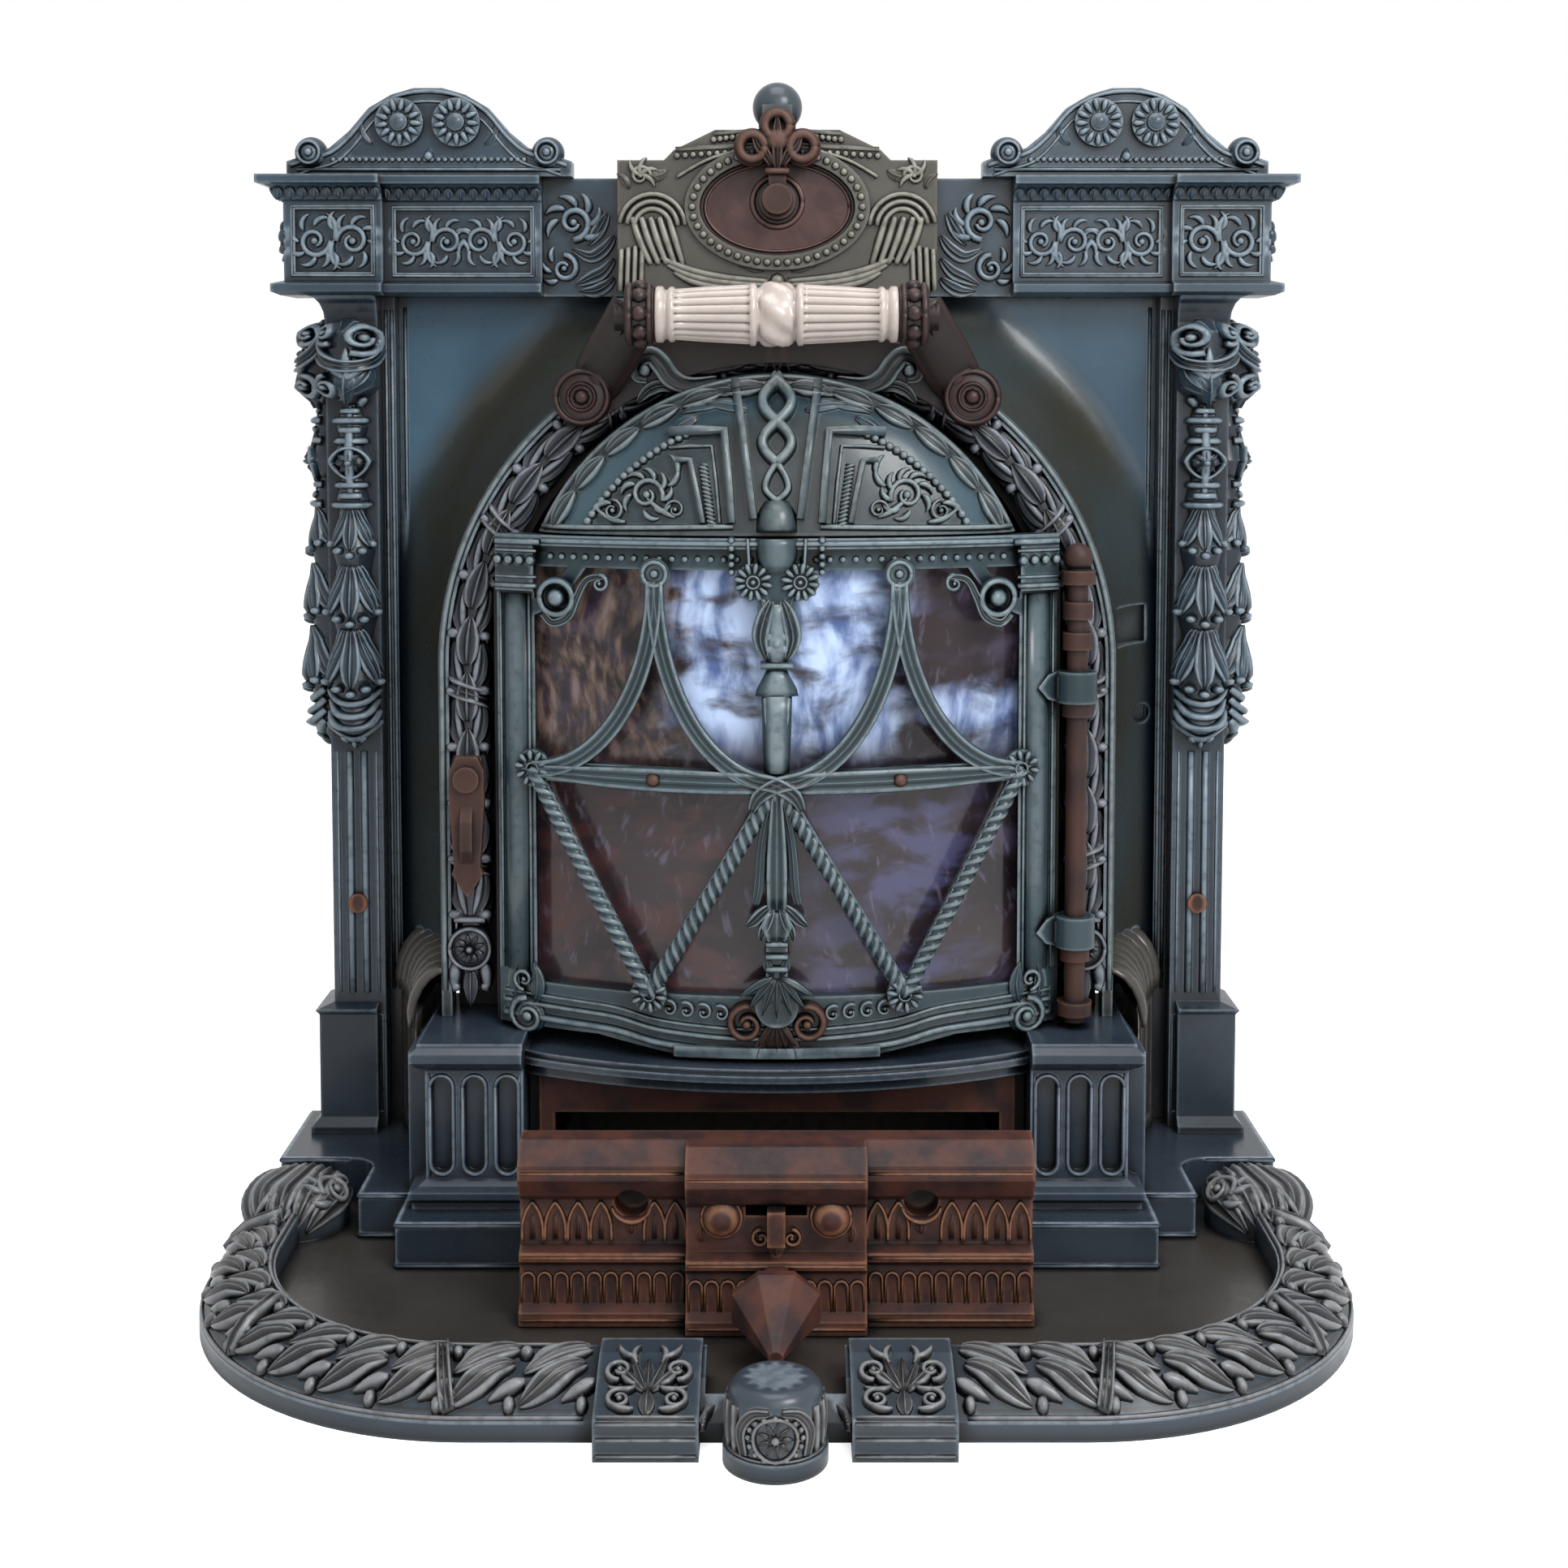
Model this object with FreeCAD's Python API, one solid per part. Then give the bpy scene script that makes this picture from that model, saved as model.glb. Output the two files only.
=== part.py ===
"""Enamelled cast iron fireplace stove with a bow-fronted mica door, ash drawer and hearth plate."""
import FreeCAD, Part
import math
import os

V = FreeCAD.Vector

# Every size is in millimetres. A "front" is a distance forward of the facade plate's flat face.

# Hearth plate
HEARTH_HALF = 314.0
HEARTH_FRONT = 357.0
HEARTH_CORNER = 165.0
HEARTH_FLOOR = 14.0
HEARTH_POCKET = 8.0
HEARTH_RIM_WALL = 12.0
BORDER_WIDTH = 40.0
BORDER_BAND = 10.0
BORDER_CREST = 30.0
BORDER_END = 88.0
TONGUE_HALF = 216.0
BLOCK_CENTRE = 61.0
BLOCK_HALF = 25.0
BLOCK_FRONT = 376.0
BLOCK_TOP = 20.0
BLOCK_DEPTH = 60.0
BLOCK_SLOPE = 44.0
BLOCK_LIFT = 3.0
BOSS_RADIUS = 25.0
BOSS_DRUM = 22.5
BOSS_BAND = 9.0
BOSS_FRONT = 397.0
BOSS_TOP = 40.0
KNOB_BAY_HALF = 34.0
END_SCROLL_RADIUS = 30.0
END_SCROLL_TOP = 40.0
END_SCROLL_ROUND = 14.0
END_SCROLL_GAP = 10.0
END_SCROLL_SETBACK = 3.0

# Plinth and pedestals
PLINTH_TOP = 40.0
PLINTH_HALF = 299.0
PLINTH_BACK_STEP = 85.0
PLINTH_MID_STEP = 143.0
PLINTH_FRONT = 187.0
PLINTH_MID_HALF = 241.0
PLINTH_FRONT_HALF = 212.0
PLINTH_CORNER = 16.0
BAY_HALF = 137.0
PEDESTAL_IN = 143.5
PEDESTAL_OUT = 199.0
PEDESTAL_FRONT = 160.0
PEDESTAL_BACK = 60.0
PEDESTAL_TOP = 134.0
PEDESTAL_BASE = 15.0
PEDESTAL_CAP = 16.0
PEDESTAL_FOOT_REACH = 7.0
PEDESTAL_BASE_REACH = 9.0
PEDESTAL_CAP_REACH = 8.0
PEDESTAL_NECK_REACH = 4.0
MOULDING_STEP = 4.0
FLUTE_WIDTH = 11.0
FLUTE_DEPTH = 4.0
FLUTE_COUNT = 3
PIER_WIDTH = 13.0
PIER_FRONT = 140.0
PIER_TOP = 122.0
COVE_BASE_START = 20.0
COVE_BASE_MIDDLE = 54.0
COVE_BASE_END = 112.0
COVE_BASE_PULL = 0.44

# Facade, cove and arch
PANEL_HALF = 237.0
PANEL_TOP = 559.0
CAST_WALL = 6.0
ARCH_CENTRE = 341.0
RIM_RADIUS = 197.0
RIM_FRONT = 110.0
COVE_REACH = 58.0
TIE_ANGLE = 45.0
TIE_RADIUS = 205.0
TIE_LOW = 152.0
TIE_ROD_RADIUS = 4.0
TIE_BOSS_RADIUS = 9.0
TIE_BOSS_FRONT = 30.0
TIE_END = 149.0
TIE_NUT = 8.0
SIDE_HOLE_X = 218.5
SIDE_HOLE_HALF = 11.5
SIDE_HOLE_HEIGHT = 356.0
ROUND_HOLE_X = 228.0
ROUND_HOLE_HEIGHT = 299.0
ROUND_HOLE_RADIUS = 6.0
SIDE_FLANGE_MARGIN = 8.0

# Pilasters and entablature
PILASTER_OUT = 277.0
PILASTER_FRONT = 30.0
PILASTER_STEP = 8.0
PILASTER_STEP_FRONT = 14.0
PILASTER_PLINTH_TOP = 120.0
PILASTER_PLINTH_GROW = 8.0
PILASTER_FOOT = 9.0
CAPITAL_HEIGHT = 16.0
CAPITAL_REACH = 9.0
BOLT_RISE = 63.0
BOLT_RADIUS = 6.0
BOLT_HEAD = 4.0
DROP_GAP = 14.0
DROP_LENGTH = 263.0
DROP_RADIUS = 13.0
ENTABLATURE_HEIGHT = 72.0
ARCHITRAVE_HEIGHT = 9.0
CORNICE_HEIGHT = 15.0
FRIEZE_INSET = 7.0
FRIEZE_MARGIN = 5.0
FRIEZE_SINK = 3.0
CORNER_OUT = 300.0
CORNER_IN = 240.0
CORNER_FRONT = 36.0
WIDE_IN = 144.0
WIDE_FRONT = 28.0
CORNICE_REACH = 14.0
ARCHITRAVE_REACH = 7.0
CENTRE_PANEL_FRONT = 20.0

# Pediments
PEDIMENT_CENTRE = 211.5
PEDIMENT_HALF = 86.5
PEDIMENT_HEIGHT = 53.0
PEDIMENT_SHOULDER_RISE = 17.0
PEDIMENT_BACK = 18.0
PEDIMENT_THICK = 16.0
ROSETTE_RADIUS = 14.5
ROSETTE_SPREAD = 17.2
ROSETTE_RISE = 32.0
ROSETTE_PROUD = 5.0
BALL_RADIUS = 10.0
BALL_SPREAD = 72.0

# Cartouche, damper key and flue
CARTOUCHE_HALF = 96.0
CARTOUCHE_STEP_HALF = 62.0
CARTOUCHE_SHOULDER_RISE = 8.0
CARTOUCHE_CROWN_RISE = 26.0
CARTOUCHE_CUT = 6.0
CARTOUCHE_FRONT = 50.0
FINIAL_RISE = 56.0
FINIAL_RADIUS = 15.0
FINIAL_NECK = 9.0
OVAL_HALF_WIDTH = 46.6
OVAL_HALF_HEIGHT = 28.8
OVAL_RISE = 52.0
OVAL_BEAD = 9.0
OVAL_BEAD_PROUD = 3.0
OVAL_RECESS = 8.0
OVAL_PLATE_THICK = 5.0
SPINDLE_RADIUS = 4.0
SPINDLE_RISE = 3.5
KEY_THICK = 9.0
KEY_GAP = 8.0
KEY_REACH = 54.5
KEY_HUB_PROUD = 4.0
KEY_LOBE = 11.0
KEY_HUB = 9.0
KEY_STEM_HALF = 4.5
FLUE_RADIUS = 55.5
FLUE_WALL = 3.5
FLUE_BACK = 75.0
FLUE_RISE = 25.0
FLUE_DROP = 22.0
STOP_BEAD = 3.5
SADDLE_RADIUS = 74.0
SADDLE_THICK = 4.0
DAMPER_RADIUS = 50.0
DAMPER_HALF_WIDTH = 34.0
DAMPER_THICK = 2.5

# Firebox behind the facade
SHELL_GAP = 0.3
SHELL_WALL = 5.5
SHELL_BACK = 133.0
BACK_PLATE_THICK = 6.0
BACK_PLATE_RADIUS = 216.0
BACK_GROOVE = 6.0
BACK_GROOVE_INSET = 24.0
BACK_GROOVE_DEPTH = 2.0
FRAME_BACK = 78.0
FRAME_THICK = 6.0
FRAME_OPENING = 164.0
JAMB_WIDTH = 8.0
JAMB_FRONT = 112.0
GRATE_FRAME_THICK = 8.0
GRATE_HALF = 122.0
GRATE_BACK = 104.0
GRATE_FRONT = 52.0
GRATE_LEDGE = 8.0
GRATE_THICK = 12.0
GRATE_BAR = 9.0
GRATE_BARS = 12
BRICK_THICK = 28.0
BRICK_IN = 150.0
BRICK_TOP = 330.0
BRICK_FRONT = 60.0
REAR_BRICK_GAP = 4.0
PIT_WALL = 6.0

# Apron shelf, ash pit frame and garland
APRON_BOTTOM = 112.0
APRON_TOP = 126.0
APRON_SIDE_FRONT = 152.0
APRON_BOW = 36.0
APRON_BACK = 72.0
APRON_STEP = 3.0
PIT_FRAME_FRONT = 140.0
PIT_FRAME_THICK = 8.0
PIT_FRAME_GAP = 0.3
PIT_OPENING_HALF = 128.0
PIT_OPENING_TOP = 87.0
GARLAND_RADIUS = 180.0
GARLAND_SECTION = 9.0
GARLAND_FRONT = 109.0
GARLAND_END = 150.0
GARLAND_PINS = 7
GARLAND_PIN_RADIUS = 3.0

# Door
DOOR_HALF = 161.0
DOOR_EDGE_FRONT = 122.0
DOOR_BOW = 45.0
DOOR_WALL = 8.0
DOOR_BOTTOM = 136.0
DOOR_DIP = 8.0
DOOR_DIP_HALF = 58.0
DOOR_DIP_SLOPE = 44.0
DOOR_TOP = 420.0
STILE_WIDTH = 23.0
LINTEL_HEIGHT = 18.0
BOTTOM_RAIL = 26.0
CAPITAL_DROP = 32.0
CAPITAL_PROUD = 5.0
DOOR_MOULDING = 6.0
GRILLE_THICK = 6.0
GRILLE_SEAT = 0.05
RING_SPREAD = 68.0
RING_HEIGHT = 400.0
RING_RADIUS = 8.5
SIDE_ROSETTE_SPREAD = 139.0
SIDE_ROSETTE_HEIGHT = 287.0
SIDE_ROSETTE_RADIUS = 10.5
LOW_ROSETTE_SPREAD = 72.0
LOW_ROSETTE_HEIGHT = 163.0
LOW_ROSETTE_RADIUS = 10.0
CROSS_HEIGHT = 284.0
DRAPE_WIDTH = 10.0
ROPE_WIDTH = 8.0
BAR_WIDTH = 12.0
STEM_WIDTH = 12.0
MICA_THICK = 1.2
MICA_SEAT = 0.2
MICA_LAP = 7.0
MICA_SPLIT = 1.5
RETAINER_THICK = 3.5
RETAINER_LAP = 11.0
SCREW_RADIUS = 2.0
SCREW_HEAD = 4.0
SCREW_INSET = 10.0

# Door hinge and latch
HINGE_X = 172.0
HINGE_FRONT = 128.0
PIN_RADIUS = 6.0
PIN_FIT = 0.06
PIN_BOTTOM = 137.0
PIN_TOP = 404.0
PIN_COLLAR = 8.5
KNUCKLE_RADIUS = 11.5
KNUCKLE_HEIGHT = 18.0
KNUCKLE_LOW = 190.0
KNUCKLE_HIGH = 332.0
STRAP_LENGTH = 12.0
STRAP_THICK = 5.0
BRACKET_THICK = 8.0
BRACKET_LOW = 141.0
BRACKET_HIGH = 391.0
BRACKET_NECK = 8.0
BRACKET_EYE = 10.0
LATCH_X = -178.0
LATCH_HEIGHT = 279.0
LATCH_BACK = 127.0
LATCH_THICK = 6.0
LATCH_HALF = 10.0
LATCH_RISE = 13.0
LATCH_DROP = 69.0
LATCH_SHOULDER = 8.0
LATCH_WAIST = 14.0
LATCH_BARB = 18.0
LATCH_RIDGE = 4.0
LATCH_RIDGE_SLOPE = 10.0
LATCH_STUD = 4.0
LATCH_HEAD = 7.5

# Hood over the door
HOOD_CENTRE = 363.0
HOOD_RADIUS = 148.5
HOOD_BOW = 50.0
HOOD_POINTS = 8
HOOD_WALL = 7.0
HOOD_EDGE_FRONT = 120.0
HOOD_GAP = 1.0

# Handle over the arch
BRACKET_ANGLE = 36.0
BRACKET_IN = 176.0
BRACKET_OUT = 200.0
BRACKET_PLATE = 8.0
VOLUTE_SPREAD = 110.5
VOLUTE_HEIGHT = 497.6
VOLUTE_RADIUS = 16.0
VOLUTE_FRONT = 130.0
GRIP_HEIGHT = 543.0
GRIP_FRONT = 165.0
GRIP_HALF = 66.5
GRIP_BULGE = 19.0
GRIP_TUBE = 15.5
GRIP_TUBE_END = 13.0
GRIP_COLLAR = 1.8
GRIP_FIT = 0.3
HANDLE_ROD = 5.0
ROD_NUT = 6.0
ROD_NUT_RADIUS = 9.0
EAR_RADIUS = 15.0
EAR_WIDTH = 16.0
EAR_GAP = 0.5
ARM_RADIUS = 11.0
BRACKET_SCREW = 3.0

# Ash drawer, given where it stands in the picture
DRAWER_BACK = 236.0
DRAWER_HALF = 134.5
DRAWER_CLEAR = 0.4
DRAWER_TOP = 110.0
DRAWER_CENTRE_HALF = 47.0
DRAWER_CENTRE_REACH = 11.0
AIR_HOLE_SPREAD = 76.0
AIR_HOLE_HEIGHT = 77.0
AIR_HOLE_RADIUS = 9.0
DRAWER_BOSS_SPREAD = 28.5
DRAWER_BOSS_RADIUS = 11.0
SLOT_HALF = 16.0
SLOT_HEIGHT = 7.0
SLIDE_THICK = 3.5
SLIDE_BOTTOM = 66.0
SLIDE_TOP = 86.5
SLIDE_HALF = 96.0
SLIDE_TRAVEL = 11.0
SLIDE_GAP = 0.3
DRAWER_LEDGE = 26.0
DRAWER_FLUTE_FOOT = 20.0
DRAWER_FLUTE_HEAD = 18.0
DRAWER_BAND = 22.0
DRAWER_FRIEZE = 14.0
DRAWER_CORBEL = 20.0
DRAWER_FOOT_RISE = 7.0
DRAWER_FLUTE_RISE = 10.0
DRAWER_FLUTE_TOP = 30.0
DRAWER_BAND_RISE = 33.0
DRAWER_BAND_TOP = 37.0
DRAWER_FRIEZE_RISE = 40.0
DRAWER_FRIEZE_DROP = 32.0
DRAWER_CORBEL_DROP = 28.0
DRAWER_LEDGE_LOW = 18.0
DRAWER_LEDGE_HIGH = 10.0
LEVER_REACH = 14.0
LEVER_TAB = 4.0
LEVER_DROP = 12.0
PAN_HALF = 126.0
PAN_LENGTH = 226.0
PAN_TOP = 62.0
PAN_WALL = 2.0
KNOB_RIM = 24.0
KNOB_SIDES = 8
KNOB_HEIGHT = 41.0
KNOB_BACK = 283.0
KNOB_RIM_FRONT = 300.0
KNOB_TIP_FRONT = 338.0
KNOB_SQUASH = 0.78
KNOB_TIP_DROP = 8.0
KNOB_EDGE = 5.0

# Values worked out from the sizes above
FACADE_Y = (BOSS_FRONT - TIE_END) / 2.0
BARREL_RADIUS = RIM_RADIUS - CAST_WALL
COVE_OUT = RIM_RADIUS + COVE_REACH
SHELL_OUT = BARREL_RADIUS - SHELL_GAP
DROP_TOP = PANEL_TOP - DROP_GAP
DROP_END = DROP_TOP - DROP_LENGTH
ENTABLATURE_TOP = PANEL_TOP + ENTABLATURE_HEIGHT
FRIEZE_BOTTOM = PANEL_TOP + ARCHITRAVE_HEIGHT
FRIEZE_TOP = ENTABLATURE_TOP - CORNICE_HEIGHT
PEDIMENT_TOP = ENTABLATURE_TOP + PEDIMENT_HEIGHT
PEDIMENT_SHOULDER = ENTABLATURE_TOP + PEDIMENT_SHOULDER_RISE
ROSETTE_HEIGHT = ENTABLATURE_TOP + ROSETTE_RISE
CARTOUCHE_SHOULDER = ENTABLATURE_TOP + CARTOUCHE_SHOULDER_RISE
CARTOUCHE_CROWN = ENTABLATURE_TOP + CARTOUCHE_CROWN_RISE
FINIAL_TOP = ENTABLATURE_TOP + FINIAL_RISE
OVAL_CENTRE = PANEL_TOP + OVAL_RISE
SPINDLE_HEIGHT = OVAL_CENTRE + SPINDLE_RISE
KEY_TOP = SPINDLE_HEIGHT + KEY_REACH
FLUE_TOP = ENTABLATURE_TOP + FLUE_RISE
FLUE_FOOT = ARCH_CENTRE + SHELL_OUT - FLUE_DROP
LATCH_TOP = LATCH_HEIGHT + LATCH_RISE
LATCH_END = LATCH_HEIGHT - LATCH_DROP
DOOR_RADIUS = (DOOR_HALF ** 2 + DOOR_BOW ** 2) / (2.0 * DOOR_BOW)
DOOR_CENTRE = DOOR_EDGE_FRONT + DOOR_BOW - DOOR_RADIUS
DOOR_INNER = DOOR_RADIUS - DOOR_WALL
WINDOW_HALF = DOOR_HALF - STILE_WIDTH
WINDOW_TOP = DOOR_TOP - LINTEL_HEIGHT
WINDOW_BOTTOM = DOOR_BOTTOM + BOTTOM_RAIL
MICA_OUTER = DOOR_INNER - MICA_SEAT
RETAINER_OUTER = MICA_OUTER - MICA_THICK - MICA_SEAT
GRILLE_INNER = DOOR_RADIUS + GRILLE_SEAT
GRATE_SEAT = APRON_BOTTOM + GRATE_FRAME_THICK
FRAME_FRONT = FRAME_BACK + FRAME_THICK
HOOD_BASE = DOOR_TOP + HOOD_GAP
OVAL_SEAT = CARTOUCHE_FRONT - OVAL_RECESS
KEY_BACK = OVAL_SEAT + OVAL_PLATE_THICK + KEY_GAP
FAR = 900.0


# Shape helpers, with "front" measured towards the viewer
def at(x, front, z):
    return V(x, FACADE_Y - front, z)


def block(x0, x1, back, front, z0, z1):
    return Part.makeBox(x1 - x0, front - back, z1 - z0, at(x0, front, z0))


def rod_x(x0, x1, front, z, radius):
    return Part.makeCylinder(radius, x1 - x0, at(x0, front, z), V(1, 0, 0))


def rod_y(x, z, back, front, radius):
    return Part.makeCylinder(radius, front - back, at(x, front, z), V(0, 1, 0))


def rod_z(x, front, z0, z1, radius):
    return Part.makeCylinder(radius, z1 - z0, at(x, front, z0), V(0, 0, 1))


def polygon(points):
    return Part.Face(Part.makePolygon(list(points) + [points[0]]))


def elevation(points, back, front):
    """Prism of an outline drawn in x and z."""
    face = polygon([at(x, front, z) for x, z in points])
    return face.extrude(V(0, front - back, 0))


def plan(points, z0, z1):
    """Prism of an outline drawn in x and front."""
    face = polygon([at(x, front, z0) for x, front in points])
    return face.extrude(V(0, 0, z1 - z0))


def side(points, x0, x1):
    """Prism of an outline drawn in front and z."""
    face = polygon([at(x0, front, z) for front, z in points])
    return face.extrude(V(x1 - x0, 0, 0))


def edges_face(edges):
    return Part.Face(Part.Wire(edges))


def fuse(shapes):
    shapes = list(shapes)
    joined = shapes[0].multiFuse(shapes[1:]) if len(shapes) > 1 else shapes[0]
    return joined.removeSplitter()


def cut(shape, tools):
    return shape.cut(list(tools))


def mirrored(shape):
    return shape.mirror(V(0, 0, 0), V(1, 0, 0))


def both(shape):
    return [shape, mirrored(shape)]


def solid_of(shape):
    solids = shape.Solids
    return solids[0] if len(solids) == 1 else Part.makeCompound(solids)


def rectangle_wire(x0, x1, back, front, z):
    corners = [at(x0, front, z), at(x1, front, z), at(x1, back, z), at(x0, back, z)]
    return Part.makePolygon(corners + [corners[0]])


def moulded_block(x0, x1, back, front, levels, grow_left, grow_right):
    """Block whose left, right and front faces step out by each level's reach."""
    wires = []
    for z, reach in levels:
        wires.append(rectangle_wire(x0 - reach * grow_left, x1 + reach * grow_right, back, front + reach, z))
    pieces = [Part.makeLoft(list(pair), True, True) for pair in zip(wires, wires[1:])]
    return fuse(pieces)


def cove_levels(z0, z1, reach0, reach1, steps):
    """Levels of a hollow moulding that swings from one reach to another."""
    levels = []
    for i in range(steps + 1):
        turn = math.pi / 2.0 * i / steps
        levels.append((z0 + (z1 - z0) * math.sin(turn), reach1 + (reach0 - reach1) * math.cos(turn)))
    return levels


def arch_outline(radius, low, front):
    """Round-headed arch face on the facade's centre."""
    left = at(-radius, front, ARCH_CENTRE)
    right = at(radius, front, ARCH_CENTRE)
    crown = at(0, front, ARCH_CENTRE + radius)
    arc = Part.Arc(left, crown, right).toShape()
    foot_right = at(radius, front, low)
    foot_left = at(-radius, front, low)
    corners = [right, foot_right, foot_left, left]
    lines = [Part.makeLine(start, end) for start, end in zip(corners, corners[1:])]
    return edges_face([arc] + lines)


def arch(radius, low, back, front):
    return arch_outline(radius, low, front).extrude(V(0, front - back, 0))


def arch_ring(outer, inner, low, back, front):
    return arch(outer, low, back, front).cut(arch(inner, low - 1.0, back - 1.0, front + 1.0))


def swept_section(section, low):
    """Section drawn at the right springing point, turned over the arch and run down both legs."""
    top = section.revolve(at(0, 0, ARCH_CENTRE), V(0, 1, 0), -180)
    leg = section.extrude(V(0, 0, low - ARCH_CENTRE))
    return fuse([top] + both(leg))


def curved_wall(inner, outer, z0, z1):
    """Upright wall between two radii about the door's bow centre."""
    return rod_z(0, DOOR_CENTRE, z0, z1, outer).cut(rod_z(0, DOOR_CENTRE, z0 - 1.0, z1 + 1.0, inner))


def bowed(outline, inner, outer, z0, z1):
    """The part of a bowed wall that lies behind an outline drawn in x and z."""
    return outline.common(curved_wall(inner, outer, z0, z1))


def tapered_bar(points, radii):
    """Round bar lofted through points with a radius at each."""
    wires = []
    for i, point in enumerate(points):
        before = points[max(i - 1, 0)]
        after = points[min(i + 1, len(points) - 1)]
        wires.append(Part.Wire(Part.makeCircle(radii[i], point, after.sub(before))))
    return Part.makeLoft(wires, True)


# Hearth and base
def hearth_wire(inset, z):
    """Front outline of the hearth plate, drawn inwards by an inset."""
    half = HEARTH_HALF - inset
    front = HEARTH_FRONT - inset
    radius = HEARTH_CORNER - inset
    turn = math.sqrt(0.5)
    middle_x = HEARTH_HALF - HEARTH_CORNER
    middle_front = HEARTH_FRONT - HEARTH_CORNER
    edges = []
    for sign in (1, -1):
        start = at(sign * half, middle_front, z)
        mid = at(sign * (middle_x + radius * turn), middle_front + radius * turn, z)
        end = at(sign * middle_x, front, z)
        edges.append(Part.makeLine(at(sign * half, BORDER_END, z), start))
        edges.append(Part.Arc(start, mid, end).toShape())
    edges.append(Part.makeLine(at(-middle_x, front, z), at(middle_x, front, z)))
    edges.append(Part.makeLine(at(-half, BORDER_END, z), at(half, BORDER_END, z)))
    return Part.Wire(Part.__sortEdges__(edges))


def hearth_slab(inset, z0, z1):
    return Part.Face(hearth_wire(inset, z0)).extrude(V(0, 0, z1 - z0))


def front_block():
    back = BLOCK_FRONT - BLOCK_DEPTH
    crest = BORDER_CREST + BLOCK_LIFT
    profile = [(back, 0), (BLOCK_FRONT, 0), (BLOCK_FRONT, BLOCK_TOP)]
    profile += [(BLOCK_FRONT - BLOCK_SLOPE, crest), (back, crest)]
    return side(profile, BLOCK_CENTRE - BLOCK_HALF, BLOCK_CENTRE + BLOCK_HALF)


def front_boss():
    """Round boss at the middle of the hearth's front: a drum on a base band."""
    front = BOSS_FRONT - BOSS_RADIUS
    band = rod_z(0, front, 0, BOSS_BAND, BOSS_RADIUS)
    drum = rod_z(0, front, 0, BOSS_TOP, BOSS_DRUM)
    rim = [edge for edge in drum.Edges if edge.BoundBox.ZMin > BOSS_TOP - 0.1]
    return fuse([band, drum.makeFillet(BOSS_DRUM * 0.35, rim)])


def end_scroll():
    """Swelling that ends the border beside the plinth on the right."""
    x = PLINTH_MID_HALF + END_SCROLL_GAP + END_SCROLL_RADIUS
    front = BORDER_END + END_SCROLL_SETBACK + END_SCROLL_RADIUS
    swelling = rod_z(x, front, 0, END_SCROLL_TOP, END_SCROLL_RADIUS)
    rim = [edge for edge in swelling.Edges if edge.BoundBox.ZMin > END_SCROLL_TOP - 0.1]
    return swelling.makeFillet(END_SCROLL_ROUND, rim)


def hearth_plate():
    bulge = BORDER_BAND + (BORDER_CREST - BORDER_BAND) * 0.72
    levels = [(0.0, 0.0), (0.0, BORDER_BAND), (BORDER_WIDTH * 0.38, bulge), (BORDER_WIDTH * 0.85, BORDER_CREST)]
    wires = [hearth_wire(inset, z) for inset, z in levels]
    border = fuse([Part.makeLoft(list(pair), True, True) for pair in zip(wires, wires[1:])])
    floor = hearth_slab(BORDER_WIDTH, HEARTH_FLOOR, BORDER_CREST + 1.0)
    bay = block(-KNOB_BAY_HALF, KNOB_BAY_HALF, 0, BOSS_FRONT - 2 * BOSS_RADIUS, HEARTH_FLOOR, FAR)
    rear = block(-PLINTH_HALF, PLINTH_HALF, 0, BORDER_END, 0, HEARTH_FLOOR)
    tongue = block(-TONGUE_HALF, TONGUE_HALF, -SHELL_BACK - BACK_PLATE_THICK, 0, 0, HEARTH_FLOOR)
    plate = cut(fuse([border] + both(front_block())), [floor, bay])
    plate = fuse([plate, front_boss(), rear, tongue] + both(end_scroll()))
    pockets = [hearth_slab(BORDER_WIDTH + HEARTH_RIM_WALL, 0, HEARTH_POCKET)]
    inner = TONGUE_HALF - HEARTH_RIM_WALL
    back = HEARTH_RIM_WALL - SHELL_BACK - BACK_PLATE_THICK
    pockets.append(block(-inner, inner, back, BORDER_END - HEARTH_RIM_WALL, 0, HEARTH_POCKET))
    return cut(plate, pockets)


def plinth():
    right = [(0, PLINTH_FRONT), (PLINTH_FRONT_HALF, PLINTH_FRONT), (PLINTH_FRONT_HALF, PLINTH_MID_STEP)]
    right += [(PLINTH_MID_HALF, PLINTH_MID_STEP), (PLINTH_MID_HALF, PLINTH_BACK_STEP)]
    right += [(PLINTH_HALF, PLINTH_BACK_STEP), (PLINTH_HALF, 0), (TONGUE_HALF, 0)]
    right += [(TONGUE_HALF, -SHELL_BACK - BACK_PLATE_THICK), (0, -SHELL_BACK - BACK_PLATE_THICK)]
    half = plan(right, HEARTH_FLOOR, PLINTH_TOP)
    corner = [e for e in half.Edges if upright_at(e, PLINTH_MID_HALF, PLINTH_BACK_STEP)]
    half = half.makeFillet(PLINTH_CORNER, corner)
    bay = block(-BAY_HALF, BAY_HALF, -SHELL_BACK, PLINTH_FRONT + 1.0, HEARTH_FLOOR - 1.0, PLINTH_TOP + 1.0)
    return cut(fuse(both(half)), [bay])


def upright_at(edge, x, front):
    box = edge.BoundBox
    on_x = abs(box.XMin - x) < 0.1 and abs(box.XMax - x) < 0.1
    on_front = abs(FACADE_Y - box.YMin - front) < 0.1 and abs(FACADE_Y - box.YMax - front) < 0.1
    return on_x and on_front


def flute(x, z0, z1, front):
    """Round-headed groove cutter."""
    half = FLUTE_WIDTH / 2.0
    deep = front - FLUTE_DEPTH
    body = block(x - half, x + half, deep, front + 1.0, z0 + half, z1 - half)
    ends = [rod_y(x, z, deep, front + 1.0, half) for z in (z0 + half, z1 - half)]
    return fuse([body] + ends)


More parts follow.
